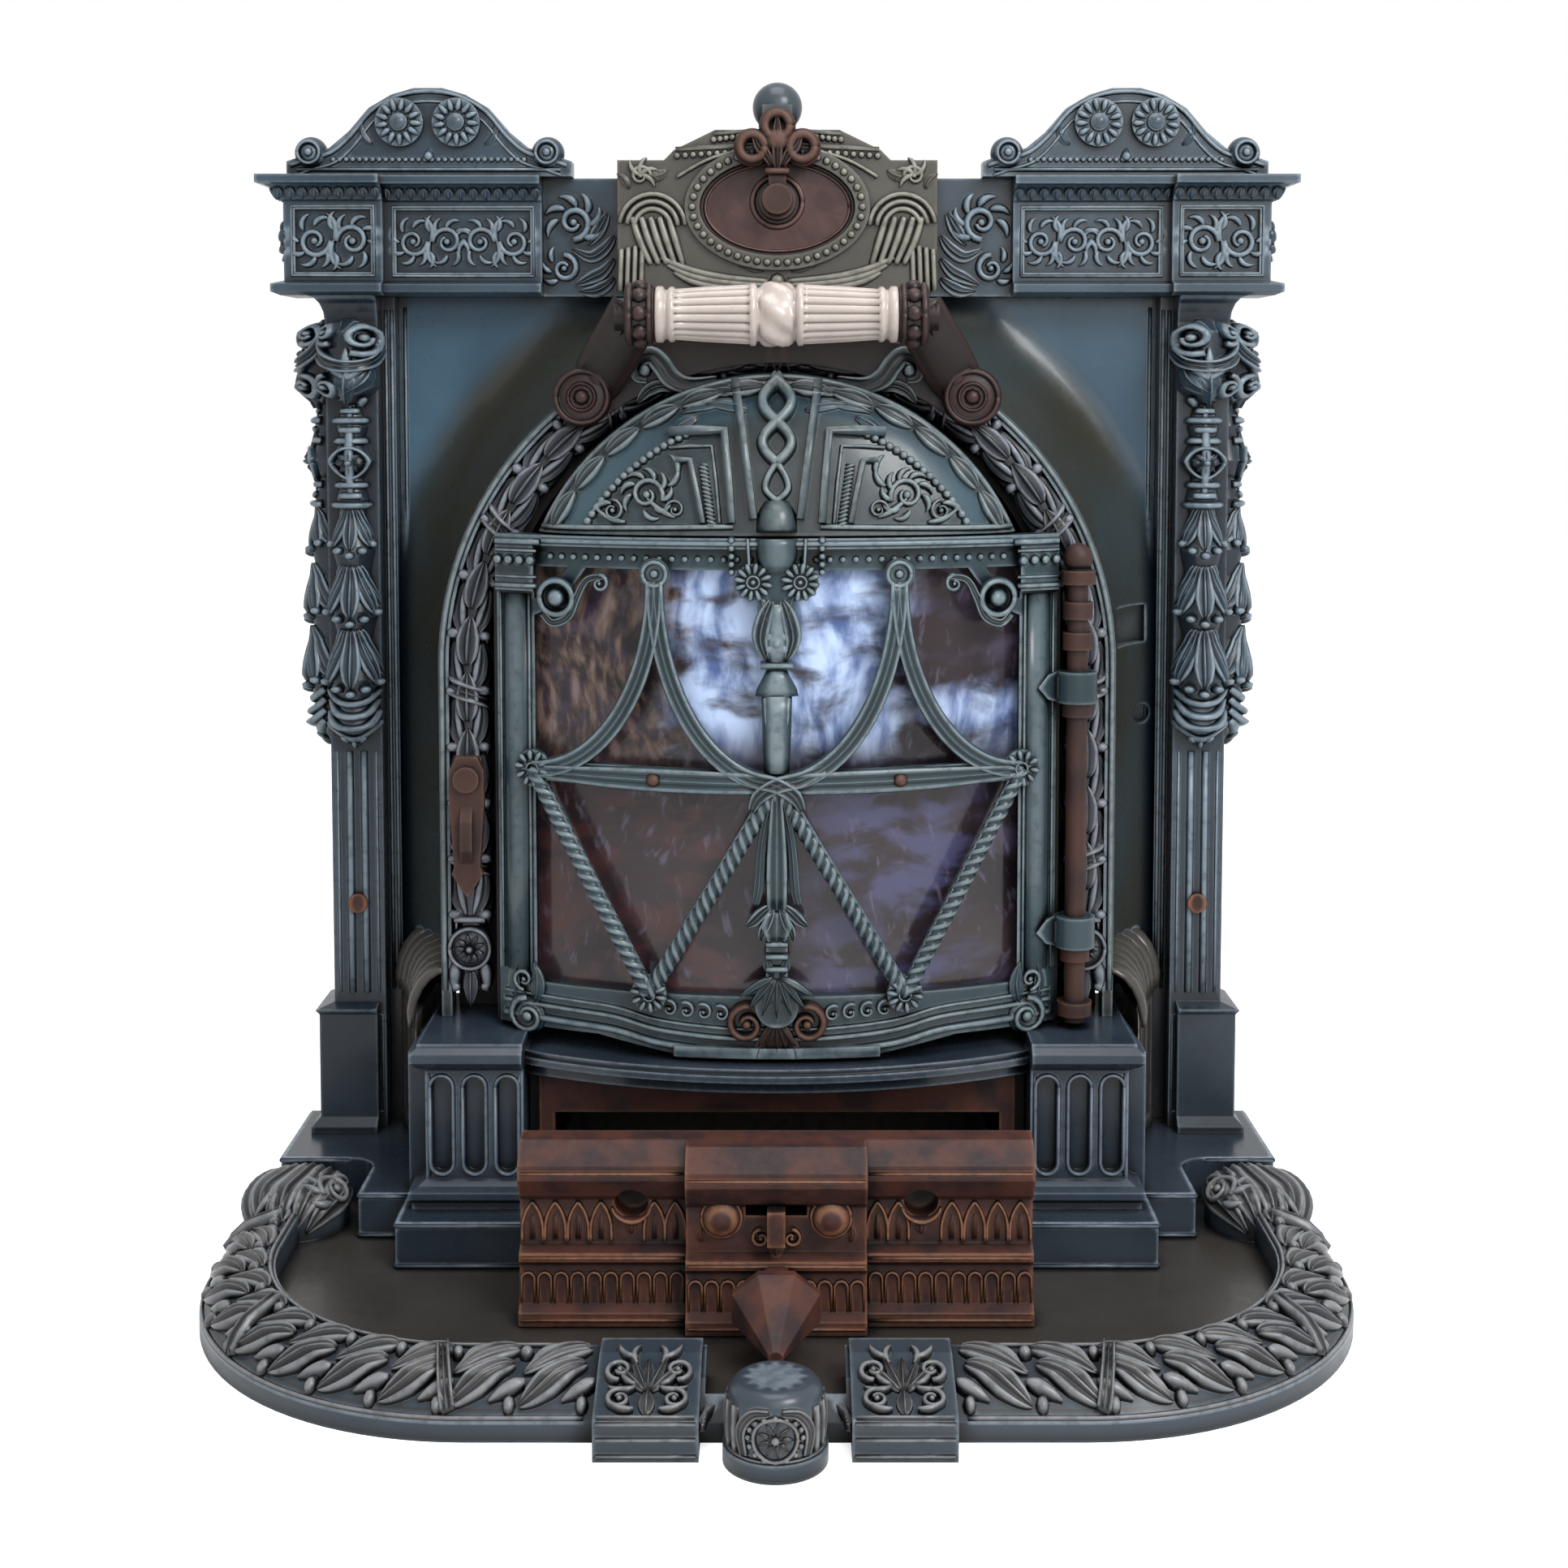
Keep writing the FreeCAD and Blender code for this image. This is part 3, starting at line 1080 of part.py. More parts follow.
# Handle
def handle_bracket():
    ring = arch_ring(BRACKET_OUT, BRACKET_IN, ARCH_CENTRE - 1.0, RIM_FRONT, RIM_FRONT + BRACKET_PLATE)
    reach = BRACKET_OUT * 2.0
    turn = math.radians(BRACKET_ANGLE)
    wedge = [(0, ARCH_CENTRE), (reach * math.sin(turn), ARCH_CENTRE + reach * math.cos(turn))]
    wedge += [(-reach * math.sin(turn), ARCH_CENTRE + reach * math.cos(turn))]
    crown = ring.common(elevation(wedge, 0, FAR))
    volute = rod_y(VOLUTE_SPREAD, VOLUTE_HEIGHT, RIM_FRONT, VOLUTE_FRONT, VOLUTE_RADIUS)
    ear_in = GRIP_HALF + EAR_GAP
    ear = rod_x(ear_in, ear_in + EAR_WIDTH, GRIP_FRONT, GRIP_HEIGHT, EAR_RADIUS)
    ear_x = ear_in + EAR_WIDTH / 2.0
    middle = (RIM_FRONT + VOLUTE_FRONT) / 2.0
    rise = GRIP_HEIGHT - VOLUTE_HEIGHT
    run = VOLUTE_SPREAD - ear_x
    forward = GRIP_FRONT - middle
    points = [at(VOLUTE_SPREAD, middle, VOLUTE_HEIGHT)]
    for share, ahead in ((0.35, 0.12), (0.7, 0.45), (1.0, 1.0)):
        x = VOLUTE_SPREAD - run * share
        points.append(at(x, middle + forward * ahead, VOLUTE_HEIGHT + rise * share))
    arm = tapered_bar(points, [ARM_RADIUS * 0.8, ARM_RADIUS, ARM_RADIUS, ARM_RADIUS * 0.9])
    behind = block(0, FAR, -FAR, RIM_FRONT, 0, FAR)
    hand = fuse([volute, ear, cut(arm, [behind])])
    bores = [rod_x(-FAR, FAR, GRIP_FRONT, GRIP_HEIGHT, HANDLE_ROD)]
    bores += [rod_y(sign * VOLUTE_SPREAD, VOLUTE_HEIGHT, 0, FAR, BRACKET_SCREW) for sign in (1, -1)]
    bores.append(rod_x(-ear_in, ear_in, GRIP_FRONT, GRIP_HEIGHT, GRIP_BULGE + 1.0))
    head = BRACKET_SCREW * 2.0 + SHELL_GAP
    for sign in (1, -1):
        bores.append(rod_y(sign * VOLUTE_SPREAD, VOLUTE_HEIGHT, VOLUTE_FRONT, FAR, head))
        nut_x = sorted((sign * (ear_in + EAR_WIDTH), sign * FAR))
        bores.append(rod_x(nut_x[0], nut_x[1], GRIP_FRONT, GRIP_HEIGHT, ROD_NUT_RADIUS + SHELL_GAP))
    return cut(fuse([crown] + both(hand)), bores)


def handle_rod():
    end = GRIP_HALF + EAR_GAP + EAR_WIDTH
    nuts = [rod_x(end, end + ROD_NUT, GRIP_FRONT, GRIP_HEIGHT, ROD_NUT_RADIUS)]
    nuts.append(rod_x(-end - ROD_NUT, -end, GRIP_FRONT, GRIP_HEIGHT, ROD_NUT_RADIUS))
    return fuse([rod_x(-end, end, GRIP_FRONT, GRIP_HEIGHT, HANDLE_ROD)] + nuts)


def porcelain_grip():
    """Porcelain sleeve turned about the rod: two tapered halves, collars and a middle bulge."""
    bore = HANDLE_ROD + GRIP_FIT
    collar = GRIP_TUBE + GRIP_COLLAR
    half = [(GRIP_HALF, bore), (GRIP_HALF, GRIP_TUBE_END), (GRIP_HALF * 0.88, GRIP_TUBE_END + GRIP_COLLAR)]
    half += [(GRIP_HALF * 0.85, GRIP_TUBE_END), (GRIP_HALF * 0.82, GRIP_TUBE_END), (GRIP_HALF * 0.26, GRIP_TUBE)]
    half += [(GRIP_HALF * 0.25, collar), (GRIP_HALF * 0.19, collar), (GRIP_HALF * 0.17, GRIP_TUBE)]
    half += [(GRIP_HALF * 0.1, GRIP_BULGE - 1.0)]
    outline = half + [(0.0, GRIP_BULGE)] + [(-x, r) for x, r in reversed(half)]
    face = polygon([at(x, GRIP_FRONT, GRIP_HEIGHT + r) for x, r in outline])
    return face.revolve(at(0, GRIP_FRONT, GRIP_HEIGHT), V(1, 0, 0), 360)


def bracket_screws():
    screws = []
    for sign in (1, -1):
        x = sign * VOLUTE_SPREAD
        head = Part.makeSphere(BRACKET_SCREW * 2.0, at(x, VOLUTE_FRONT - BRACKET_SCREW, VOLUTE_HEIGHT))
        head = head.common(block(-FAR, FAR, VOLUTE_FRONT, FAR, 0, FAR))
        screws.append(fuse([head, rod_y(x, VOLUTE_HEIGHT, RIM_FRONT, VOLUTE_FRONT, BRACKET_SCREW)]))
    return screws


# Door
def door_outline():
    dip = DOOR_BOTTOM - DOOR_DIP
    right = [(DOOR_DIP_HALF, dip), (DOOR_DIP_HALF + DOOR_DIP_SLOPE, DOOR_BOTTOM), (DOOR_HALF, DOOR_BOTTOM)]
    right += [(DOOR_HALF, DOOR_TOP)]
    points = right + [(-x, z) for x, z in reversed(right)]
    return elevation(points, DOOR_CENTRE + DOOR_INNER / 2.0, FAR)


def door_frame():
    low = DOOR_BOTTOM - DOOR_DIP
    leaf = bowed(door_outline(), DOOR_INNER, DOOR_RADIUS, low, DOOR_TOP)
    window = block(-WINDOW_HALF, WINDOW_HALF, 0, FAR, WINDOW_BOTTOM, WINDOW_TOP)
    leaf = cut(leaf, [window])
    proud = DOOR_RADIUS + CAPITAL_PROUD
    capitals = []
    for x0, x1 in ((-DOOR_HALF, -WINDOW_HALF), (WINDOW_HALF, DOOR_HALF)):
        capitals.append(bowed(block(x0, x1, 0, FAR, DOOR_TOP - CAPITAL_DROP, DOOR_TOP), DOOR_RADIUS - 1.0, proud,
                              DOOR_TOP - CAPITAL_DROP, DOOR_TOP))
    lintel = block(-WINDOW_HALF, WINDOW_HALF, 0, FAR, DOOR_TOP - DOOR_MOULDING, DOOR_TOP)
    moulding = bowed(lintel, DOOR_RADIUS - 1.0, proud, DOOR_TOP - DOOR_MOULDING, DOOR_TOP)
    ledge = block(-DOOR_DIP_HALF, DOOR_DIP_HALF, 0, FAR, low, low + DOOR_MOULDING)
    rail = bowed(ledge, DOOR_RADIUS - 1.0, proud, low, low + DOOR_MOULDING)
    holes = [rod_y(x, z, 0, FAR, SCREW_RADIUS) for x, z in retainer_places()]
    whole = fuse([leaf, moulding, rail] + capitals + both(corner_scroll()))
    return cut(whole, [limit_hole(hole) for hole in holes])


def limit_hole(hole):
    """Screw hole that stops inside the door's wall."""
    return hole.common(rod_z(0, DOOR_CENTRE, 0, FAR, DOOR_RADIUS - 2.0))


def stroke(x0, z0, x1, z1, width):
    """Straight bar between two points, drawn in x and z."""
    length = math.hypot(x1 - x0, z1 - z0)
    nx = -(z1 - z0) / length * width / 2.0
    nz = (x1 - x0) / length * width / 2.0
    points = [(x0 + nx, z0 + nz), (x1 + nx, z1 + nz), (x1 - nx, z1 - nz), (x0 - nx, z0 - nz)]
    return elevation(points, 0, FAR)


def hanging_curve(centre_x, centre_z, half_width, drop, width, sign):
    """Quarter of an oval band that hangs from its end and swings to its lowest point."""
    def filled(a, b):
        centre = at(centre_x, FAR, centre_z)
        ends = [at(centre_x + a, FAR, centre_z), at(centre_x, FAR, centre_z + b)]
        if a < b:
            ends.reverse()
        oval_curve = Part.Ellipse(ends[0], ends[1], centre)
        return Part.Face(Part.Wire(oval_curve.toShape())).extrude(V(0, FAR, 0))

    edge = width / 2.0
    band = filled(half_width + edge, drop + edge).cut(filled(half_width - edge, drop - edge))
    edge = sorted((centre_x, centre_x + sign * FAR))
    quarter = block(edge[0], edge[1], 0, FAR, centre_z - FAR, centre_z)
    return band.common(quarter)


def disc(x, z, radius):
    return rod_y(x, z, 0, FAR, radius)


def grille_half():
    """Right half of the door's openwork, as prisms that the bow then trims."""
    top = RING_HEIGHT - RING_RADIUS / 2.0
    shapes = [disc(RING_SPREAD, RING_HEIGHT, RING_RADIUS)]
    shapes.append(hanging_curve(0, top, RING_SPREAD, top - CROSS_HEIGHT, DRAPE_WIDTH, 1))
    reach = SIDE_ROSETTE_SPREAD - RING_SPREAD
    shapes.append(hanging_curve(SIDE_ROSETTE_SPREAD, top, reach, top - SIDE_ROSETTE_HEIGHT, DRAPE_WIDTH, -1))
    shapes.append(disc(SIDE_ROSETTE_SPREAD, SIDE_ROSETTE_HEIGHT, SIDE_ROSETTE_RADIUS))
    shapes.append(disc(LOW_ROSETTE_SPREAD, LOW_ROSETTE_HEIGHT, LOW_ROSETTE_RADIUS))
    shapes.append(stroke(0, CROSS_HEIGHT, SIDE_ROSETTE_SPREAD, SIDE_ROSETTE_HEIGHT, BAR_WIDTH))
    for x, z in ((SIDE_ROSETTE_SPREAD, SIDE_ROSETTE_HEIGHT), (0, CROSS_HEIGHT)):
        shapes.append(stroke(x, z, LOW_ROSETTE_SPREAD, LOW_ROSETTE_HEIGHT, ROPE_WIDTH))
    return shapes


def corner_scroll():
    """Scroll in the window's upper right corner, cast with the door frame."""
    x = WINDOW_HALF - SIDE_ROSETTE_RADIUS * 1.3
    z = WINDOW_TOP - SIDE_ROSETTE_RADIUS * 1.6
    shapes = [disc(x, z, SIDE_ROSETTE_RADIUS)]
    shapes.append(stroke(x, z, WINDOW_HALF + 3.0, z - 8.0, BAR_WIDTH * 0.7))
    shapes.append(stroke(x, z, x - 14.0, WINDOW_TOP + 3.0, BAR_WIDTH * 0.7))
    low = WINDOW_BOTTOM
    return bowed(shapes[0].multiFuse(shapes[1:]), DOOR_INNER, DOOR_RADIUS, low, DOOR_TOP)


def door_grille():
    shapes = []
    for shape in grille_half():
        shapes += both(shape)
    pair = LOW_ROSETTE_RADIUS * 1.3
    shapes += [disc(x, RING_HEIGHT - 4.0, LOW_ROSETTE_RADIUS) for x in (pair, -pair)]
    shapes.append(stroke(0, WINDOW_TOP + 4.0, 0, WINDOW_BOTTOM - 4.0, STEM_WIDTH))
    shapes.append(disc(0, WINDOW_BOTTOM - 4.0, LOW_ROSETTE_RADIUS * 1.2))
    joined = shapes[0].multiFuse(shapes[1:])
    high = DOOR_TOP - DOOR_MOULDING - GRILLE_SEAT
    limits = block(-DOOR_HALF, DOOR_HALF, 0, FAR, DOOR_BOTTOM, high)
    work = bowed(joined.common(limits), GRILLE_INNER, GRILLE_INNER + GRILLE_THICK, DOOR_BOTTOM, high)
    return work.removeSplitter()


def mica(z0, z1):
    half = WINDOW_HALF + MICA_LAP
    return bowed(block(-half, half, 0, FAR, z0, z1), MICA_OUTER - MICA_THICK, MICA_OUTER, z0, z1)


def upper_mica():
    return mica(CROSS_HEIGHT + MICA_SPLIT / 2.0, WINDOW_TOP + MICA_LAP)


def lower_mica():
    return mica(WINDOW_BOTTOM - MICA_LAP, CROSS_HEIGHT - MICA_SPLIT / 2.0)


def retainer_places():
    x = WINDOW_HALF + SCREW_INSET
    return [(sign * x, z) for sign in (1, -1) for z in (WINDOW_BOTTOM + SCREW_INSET, WINDOW_TOP - SCREW_INSET)]


def mica_retainer():
    half = WINDOW_HALF + SCREW_INSET + SCREW_HEAD
    low = WINDOW_BOTTOM - RETAINER_LAP
    high = WINDOW_TOP + RETAINER_LAP
    inner = RETAINER_OUTER - RETAINER_THICK
    frame = bowed(block(-half, half, 0, FAR, low, high), inner, RETAINER_OUTER, low, high)
    side_in = WINDOW_HALF - 4.0
    panes = [block(-side_in, side_in, 0, FAR, WINDOW_BOTTOM + 4.0, CROSS_HEIGHT - BAR_WIDTH / 2.0)]
    panes.append(block(-side_in, side_in, 0, FAR, CROSS_HEIGHT + BAR_WIDTH / 2.0, WINDOW_TOP - 4.0))
    holes = [rod_y(x, z, 0, FAR, SCREW_RADIUS) for x, z in retainer_places()]
    return cut(frame, panes + holes)


def retainer_screws():
    """Screws that hold the retainer against the door from inside, one solid each."""
    screws = []
    reach = DOOR_RADIUS - 2.0
    for x, z in retainer_places():
        shank = rod_y(x, z, 0, FAR, SCREW_RADIUS)
        inside = RETAINER_OUTER - RETAINER_THICK
        shank = shank.common(curved_wall(inside, reach, z - SCREW_HEAD, z + SCREW_HEAD))
        head = rod_y(x, z, 0, FAR, SCREW_HEAD)
        head = head.common(curved_wall(inside - SCREW_RADIUS, inside, z - SCREW_HEAD, z + SCREW_HEAD))
        screws.append(fuse([head, shank]))
    return screws


# Hinge and latch
def hinge_straps():
    straps = []
    for height in (KNUCKLE_LOW, KNUCKLE_HIGH):
        low = height - KNUCKLE_HEIGHT / 2.0
        high = height + KNUCKLE_HEIGHT / 2.0
        inner = DOOR_RADIUS + GRILLE_SEAT
        tip = DOOR_HALF - STRAP_LENGTH
        outline = [(DOOR_HALF, low), (DOOR_HALF, high)]
        outline += [(tip + 6.0, high - 2.0), (tip, height), (tip + 6.0, low + 2.0)]
        plate = bowed(elevation(outline, 0, FAR), inner, inner + STRAP_THICK, low, high)
        knuckle = rod_z(HINGE_X, HINGE_FRONT, low, high, KNUCKLE_RADIUS)
        bridge = block(DOOR_HALF - 0.5, HINGE_X, DOOR_EDGE_FRONT + 1.5, HINGE_FRONT + 3.0, low + 3.0, high - 3.0)
        bore = rod_z(HINGE_X, HINGE_FRONT, 0, FAR, PIN_RADIUS + PIN_FIT)
        straps.append(cut(fuse([plate, bridge, knuckle]), [bore]))
    return straps


def hinge_pin():
    pin = rod_z(HINGE_X, HINGE_FRONT, PIN_BOTTOM, PIN_TOP, PIN_RADIUS)
    collars = []
    for height in (KNUCKLE_LOW, KNUCKLE_HIGH):
        top = height - KNUCKLE_HEIGHT / 2.0 - PIN_FIT
        collars.append(rod_z(HINGE_X, HINGE_FRONT, top - 8.0, top, PIN_COLLAR))
    for share in (0.25, 0.6):
        gap = BRACKET_HIGH - KNUCKLE_HIGH - KNUCKLE_HEIGHT / 2.0
        base = KNUCKLE_HIGH + KNUCKLE_HEIGHT / 2.0 + gap * share
        collars.append(rod_z(HINGE_X, HINGE_FRONT, base, base + gap * 0.2, PIN_COLLAR))
    knob = Part.makeSphere(PIN_COLLAR, at(HINGE_X, HINGE_FRONT, PIN_TOP + 2.0))
    return fuse([pin, knob] + collars)


def hinge_brackets():
    brackets = []
    for low in (BRACKET_LOW, BRACKET_HIGH):
        high = low + BRACKET_THICK
        half = BRACKET_NECK / 2.0
        neck = block(HINGE_X - half, HINGE_X + half, FRAME_FRONT, HINGE_FRONT, low, high)
        eye = rod_z(HINGE_X, HINGE_FRONT, low, high, BRACKET_EYE)
        bore = rod_z(HINGE_X, HINGE_FRONT, 0, FAR, PIN_RADIUS)
        brackets.append(cut(fuse([neck, eye]), [bore]))
    return brackets


def latch_stud():
    front = LATCH_BACK + LATCH_THICK + SHELL_GAP
    shank = rod_y(LATCH_X, LATCH_HEIGHT, FRAME_FRONT, front, LATCH_STUD)
    head = rod_y(LATCH_X, LATCH_HEIGHT, front, front + 3.0, LATCH_HEAD)
    collar = rod_y(LATCH_X, LATCH_HEIGHT, GARLAND_FRONT + SHELL_GAP, LATCH_BACK - SHELL_GAP, LATCH_HEAD)
    return fuse([shank, head, collar])


def latch_lever():
    half = LATCH_HALF
    outline = [(half * 0.6, LATCH_TOP), (half, LATCH_TOP - LATCH_SHOULDER), (half, LATCH_HEIGHT - LATCH_WAIST)]
    outline += [(half * 0.75, LATCH_END + LATCH_BARB), (half * 0.9, LATCH_END + LATCH_WAIST), (0.0, LATCH_END)]
    points = outline + [(-x, z) for x, z in reversed(outline[:-1])]
    plate = elevation([(LATCH_X + x, z) for x, z in points], LATCH_BACK, LATCH_BACK + LATCH_THICK)
    ridge_front = LATCH_BACK + LATCH_THICK
    low = LATCH_END + LATCH_BARB
    high = LATCH_HEIGHT - LATCH_WAIST
    crest = ridge_front + LATCH_RIDGE
    ridge = side([(ridge_front - 1.0, low), (crest, low + LATCH_RIDGE_SLOPE), (crest, high - LATCH_RIDGE_SLOPE),
                  (ridge_front - 1.0, high)], LATCH_X - half * 0.35, LATCH_X + half * 0.35)
    return cut(fuse([plate, ridge]), [rod_y(LATCH_X, LATCH_HEIGHT, 0, FAR, LATCH_STUD + PIN_FIT)])


def pilaster_bolts():
    x = (PANEL_HALF + PILASTER_STEP + PILASTER_OUT) / 2.0
    z = PILASTER_PLINTH_TOP + BOLT_RISE
    return both(rod_y(x, z, PILASTER_FRONT, PILASTER_FRONT + BOLT_HEAD, BOLT_RADIUS))


# Ash drawer
def drawer_profile(reach):
    """Moulded section of the drawer front, in front and z, carried forward by a reach."""
    low = HEARTH_FLOOR + DRAWER_CLEAR
    top = DRAWER_TOP
    section = [(DRAWER_LEDGE, low), (DRAWER_LEDGE, low + DRAWER_FOOT_RISE)]
    section += [(DRAWER_FLUTE_FOOT, low + DRAWER_FLUTE_RISE), (DRAWER_FLUTE_HEAD, low + DRAWER_FLUTE_TOP)]
    section += [(DRAWER_BAND, low + DRAWER_BAND_RISE), (DRAWER_BAND, low + DRAWER_BAND_TOP)]
    section += [(DRAWER_FRIEZE, low + DRAWER_FRIEZE_RISE), (DRAWER_FRIEZE, top - DRAWER_FRIEZE_DROP)]
    section += [(DRAWER_CORBEL, top - DRAWER_CORBEL_DROP), (DRAWER_LEDGE, top - DRAWER_LEDGE_LOW)]
    section += [(DRAWER_LEDGE, top - DRAWER_LEDGE_HIGH), (DRAWER_FRIEZE, top)]
    return [(DRAWER_BACK, low)] + [(DRAWER_BACK + f + reach, z) for f, z in section] + [(DRAWER_BACK, top)]


def slot_height():
    return AIR_HOLE_HEIGHT - SLOT_HEIGHT / 2.0


def ash_drawer_front():
    main = side(drawer_profile(0.0), -DRAWER_HALF, DRAWER_HALF)
    centre = side(drawer_profile(DRAWER_CENTRE_REACH), -DRAWER_CENTRE_HALF, DRAWER_CENTRE_HALF)
    bosses = []
    holes = []
    face = DRAWER_BACK + DRAWER_FRIEZE
    for sign in (1, -1):
        boss = at(sign * DRAWER_BOSS_SPREAD, face + DRAWER_CENTRE_REACH - 2.0, AIR_HOLE_HEIGHT - 4.0)
        bosses.append(Part.makeSphere(DRAWER_BOSS_RADIUS, boss))
        holes.append(rod_y(sign * AIR_HOLE_SPREAD, AIR_HOLE_HEIGHT, 0, FAR, AIR_HOLE_RADIUS))
    low = slot_height()
    holes.append(block(-SLOT_HALF, SLOT_HALF, 0, FAR, low, low + SLOT_HEIGHT))
    return cut(fuse([main, centre] + bosses), holes)


def air_slide():
    front = DRAWER_BACK - SLIDE_GAP
    plate = block(-SLIDE_HALF, SLIDE_HALF, front - SLIDE_THICK, front, SLIDE_BOTTOM, SLIDE_TOP)
    holes = [rod_y(sign * AIR_HOLE_SPREAD, AIR_HOLE_HEIGHT, 0, FAR, AIR_HOLE_RADIUS) for sign in (1, -1)]
    half = SLOT_HALF - SLIDE_TRAVEL - SLIDE_GAP
    low = slot_height() + SLIDE_GAP
    high = low + SLOT_HEIGHT - 2 * SLIDE_GAP
    lever_front = DRAWER_BACK + DRAWER_FRIEZE + DRAWER_CENTRE_REACH + LEVER_REACH
    lever = block(-half, half, front - SLIDE_THICK, lever_front, low, high)
    tab = block(-half, half, lever_front - LEVER_TAB, lever_front, low - LEVER_DROP, high)
    return fuse([cut(plate, holes), lever, tab])


def ash_pan():
    back = DRAWER_BACK - PAN_LENGTH
    low = HEARTH_FLOOR + DRAWER_CLEAR
    tray = block(-PAN_HALF, PAN_HALF, back, DRAWER_BACK, low, PAN_TOP)
    half = PAN_HALF - PAN_WALL
    inside = block(-half, half, back + PAN_WALL, DRAWER_BACK - PAN_WALL, low + PAN_WALL, FAR)
    return cut(tray, [inside])


def facet_wire(front, z, radius):
    corners = []
    for i in range(KNOB_SIDES):
        turn = 2.0 * math.pi * (i + 0.5) / KNOB_SIDES
        corners.append(at(radius * math.cos(turn), front, z + radius * KNOB_SQUASH * math.sin(turn)))
    return Part.makePolygon(corners + [corners[0]])


def drawer_knob():
    root = DRAWER_BACK + DRAWER_FLUTE_HEAD + DRAWER_CENTRE_REACH
    neck_height = KNOB_HEIGHT + 1.0
    stations = [(root, neck_height, KNOB_RIM * 0.42), (KNOB_BACK, neck_height, KNOB_RIM * 0.6)]
    stations += [(KNOB_RIM_FRONT - KNOB_EDGE, KNOB_HEIGHT, KNOB_RIM), (KNOB_RIM_FRONT, KNOB_HEIGHT, KNOB_RIM)]
    stations.append((KNOB_TIP_FRONT, KNOB_HEIGHT - KNOB_TIP_DROP, KNOB_RIM * 0.16))
    wires = [facet_wire(*station) for station in stations]
    body = fuse([Part.makeLoft(list(pair), True, True) for pair in zip(wires, wires[1:])])
    return cut(body, [ash_drawer_front()])


def export(name, shape):
    if isinstance(shape, list):
        shape = Part.makeCompound([solid_of(piece) for piece in shape])
    else:
        shape = solid_of(shape)
    shape.exportStep(os.path.join("parts", name + ".step"))
    print(name, len(shape.Solids), shape.isValid(), round(shape.Volume / 1000.0, 1))


def main():
    os.makedirs("parts", exist_ok=True)
    pairs = [right_pedestal, right_cove_base, right_pilaster, right_entablature, right_pediment, right_pit_wall,
             right_firebrick]
    for maker in pairs:
        shape = maker()
        export(maker.__name__, shape)
        export(maker.__name__.replace("right_", "left_"), mirrored(shape))
    singles = [hearth_plate, plinth, facade_plate, frieze_panel, cartouche, oval_plate, damper_key, damper_spindle,
               damper_plate, flue_collar, firebox_shell, back_plate, tie_rods, tie_nuts, arch_frame, grate_frame,
               fire_grate, rear_firebrick, apron_shelf, ash_pit_frame, garland_arch, hood, handle_bracket, handle_rod,
               porcelain_grip, bracket_screws, door_frame, door_grille, upper_mica, lower_mica, mica_retainer,
               retainer_screws, hinge_straps, hinge_pin, hinge_brackets, latch_stud, latch_lever, pilaster_bolts,
               ash_drawer_front, air_slide, ash_pan, drawer_knob]
    for maker in singles:
        export(maker.__name__, maker())


main()
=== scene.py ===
"""Glazes, rust and carved ornament of an enamelled cast iron stove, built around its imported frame."""
import math

import bmesh
import bpy
from bpy.props import FloatProperty, FloatVectorProperty, IntProperty, PointerProperty
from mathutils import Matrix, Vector


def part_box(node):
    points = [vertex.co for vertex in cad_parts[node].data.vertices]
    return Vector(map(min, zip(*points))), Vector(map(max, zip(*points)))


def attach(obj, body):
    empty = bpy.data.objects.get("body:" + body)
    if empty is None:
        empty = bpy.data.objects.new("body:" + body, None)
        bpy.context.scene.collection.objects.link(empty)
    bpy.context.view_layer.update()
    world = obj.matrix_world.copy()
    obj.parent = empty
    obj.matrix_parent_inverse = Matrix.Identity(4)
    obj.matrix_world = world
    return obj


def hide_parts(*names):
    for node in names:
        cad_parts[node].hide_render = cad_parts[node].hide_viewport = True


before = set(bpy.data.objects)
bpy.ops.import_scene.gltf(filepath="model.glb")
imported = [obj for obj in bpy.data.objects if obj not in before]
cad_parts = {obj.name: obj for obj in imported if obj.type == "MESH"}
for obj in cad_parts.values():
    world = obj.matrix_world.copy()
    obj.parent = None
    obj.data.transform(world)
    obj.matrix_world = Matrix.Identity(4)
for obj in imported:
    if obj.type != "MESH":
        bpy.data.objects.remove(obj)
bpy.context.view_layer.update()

bl_info = {
    "name": "Cast iron stove",
    "version": (1, 0, 0),
    "blender": (4, 5, 0),
    "location": "View3D > Sidebar > Stove",
    "description": "Dresses the stove's castings with glaze, rust and carved ornament",
    "category": "Object",
}

# Sizes are in millimetres. A "front" is a distance forward of the facade plate's flat face.
MM = 0.001
FULL_COLOUR = 255.0
WHITE = (1.0, 1.0, 1.0, 1.0)
# Height at which the look of the upper mica pane gives way to the lower one's, in metres
PANE_JOINT = 0.286
RIM_FRONT = 110.0
RIM_RADIUS = 197.0
RIM_INSET = 2.2
ARCH_CENTRE = 341.0
FACADE_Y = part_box("facade_plate")[0].y / MM + RIM_FRONT
SINK = 1.2

# Door bow, hood bowl and garland, as the castings have them
DOOR_RADIUS = 310.5
DOOR_CENTRE = -143.5
GRILLE_THICK = 6.0
HOOD_CENTRE = 363.0
HOOD_RADIUS = 148.5
HOOD_EDGE = 120.0
HOOD_BOW = 50.0
HOOD_BAND = 131.0
COVE_OUT, COVE_IN = 262.0, 238.0
GARLAND_RADIUS = 180.0
GARLAND_SECTION = 9.0
GARLAND_FRONT = 100.0
GARLAND_END = 150.0
GARLAND_STEP = 33.0


# Cross sections of carved strokes: across, out and how pale or dark the glaze is there, high for worn glaze
# with a painted highlight, low for painted shade in grooves
def both_sides(*half):
    """A section drawn from its edge to its crown, with its other side added."""
    return half + tuple((-x, y, bright) for x, y, bright in reversed(half[:-1]))


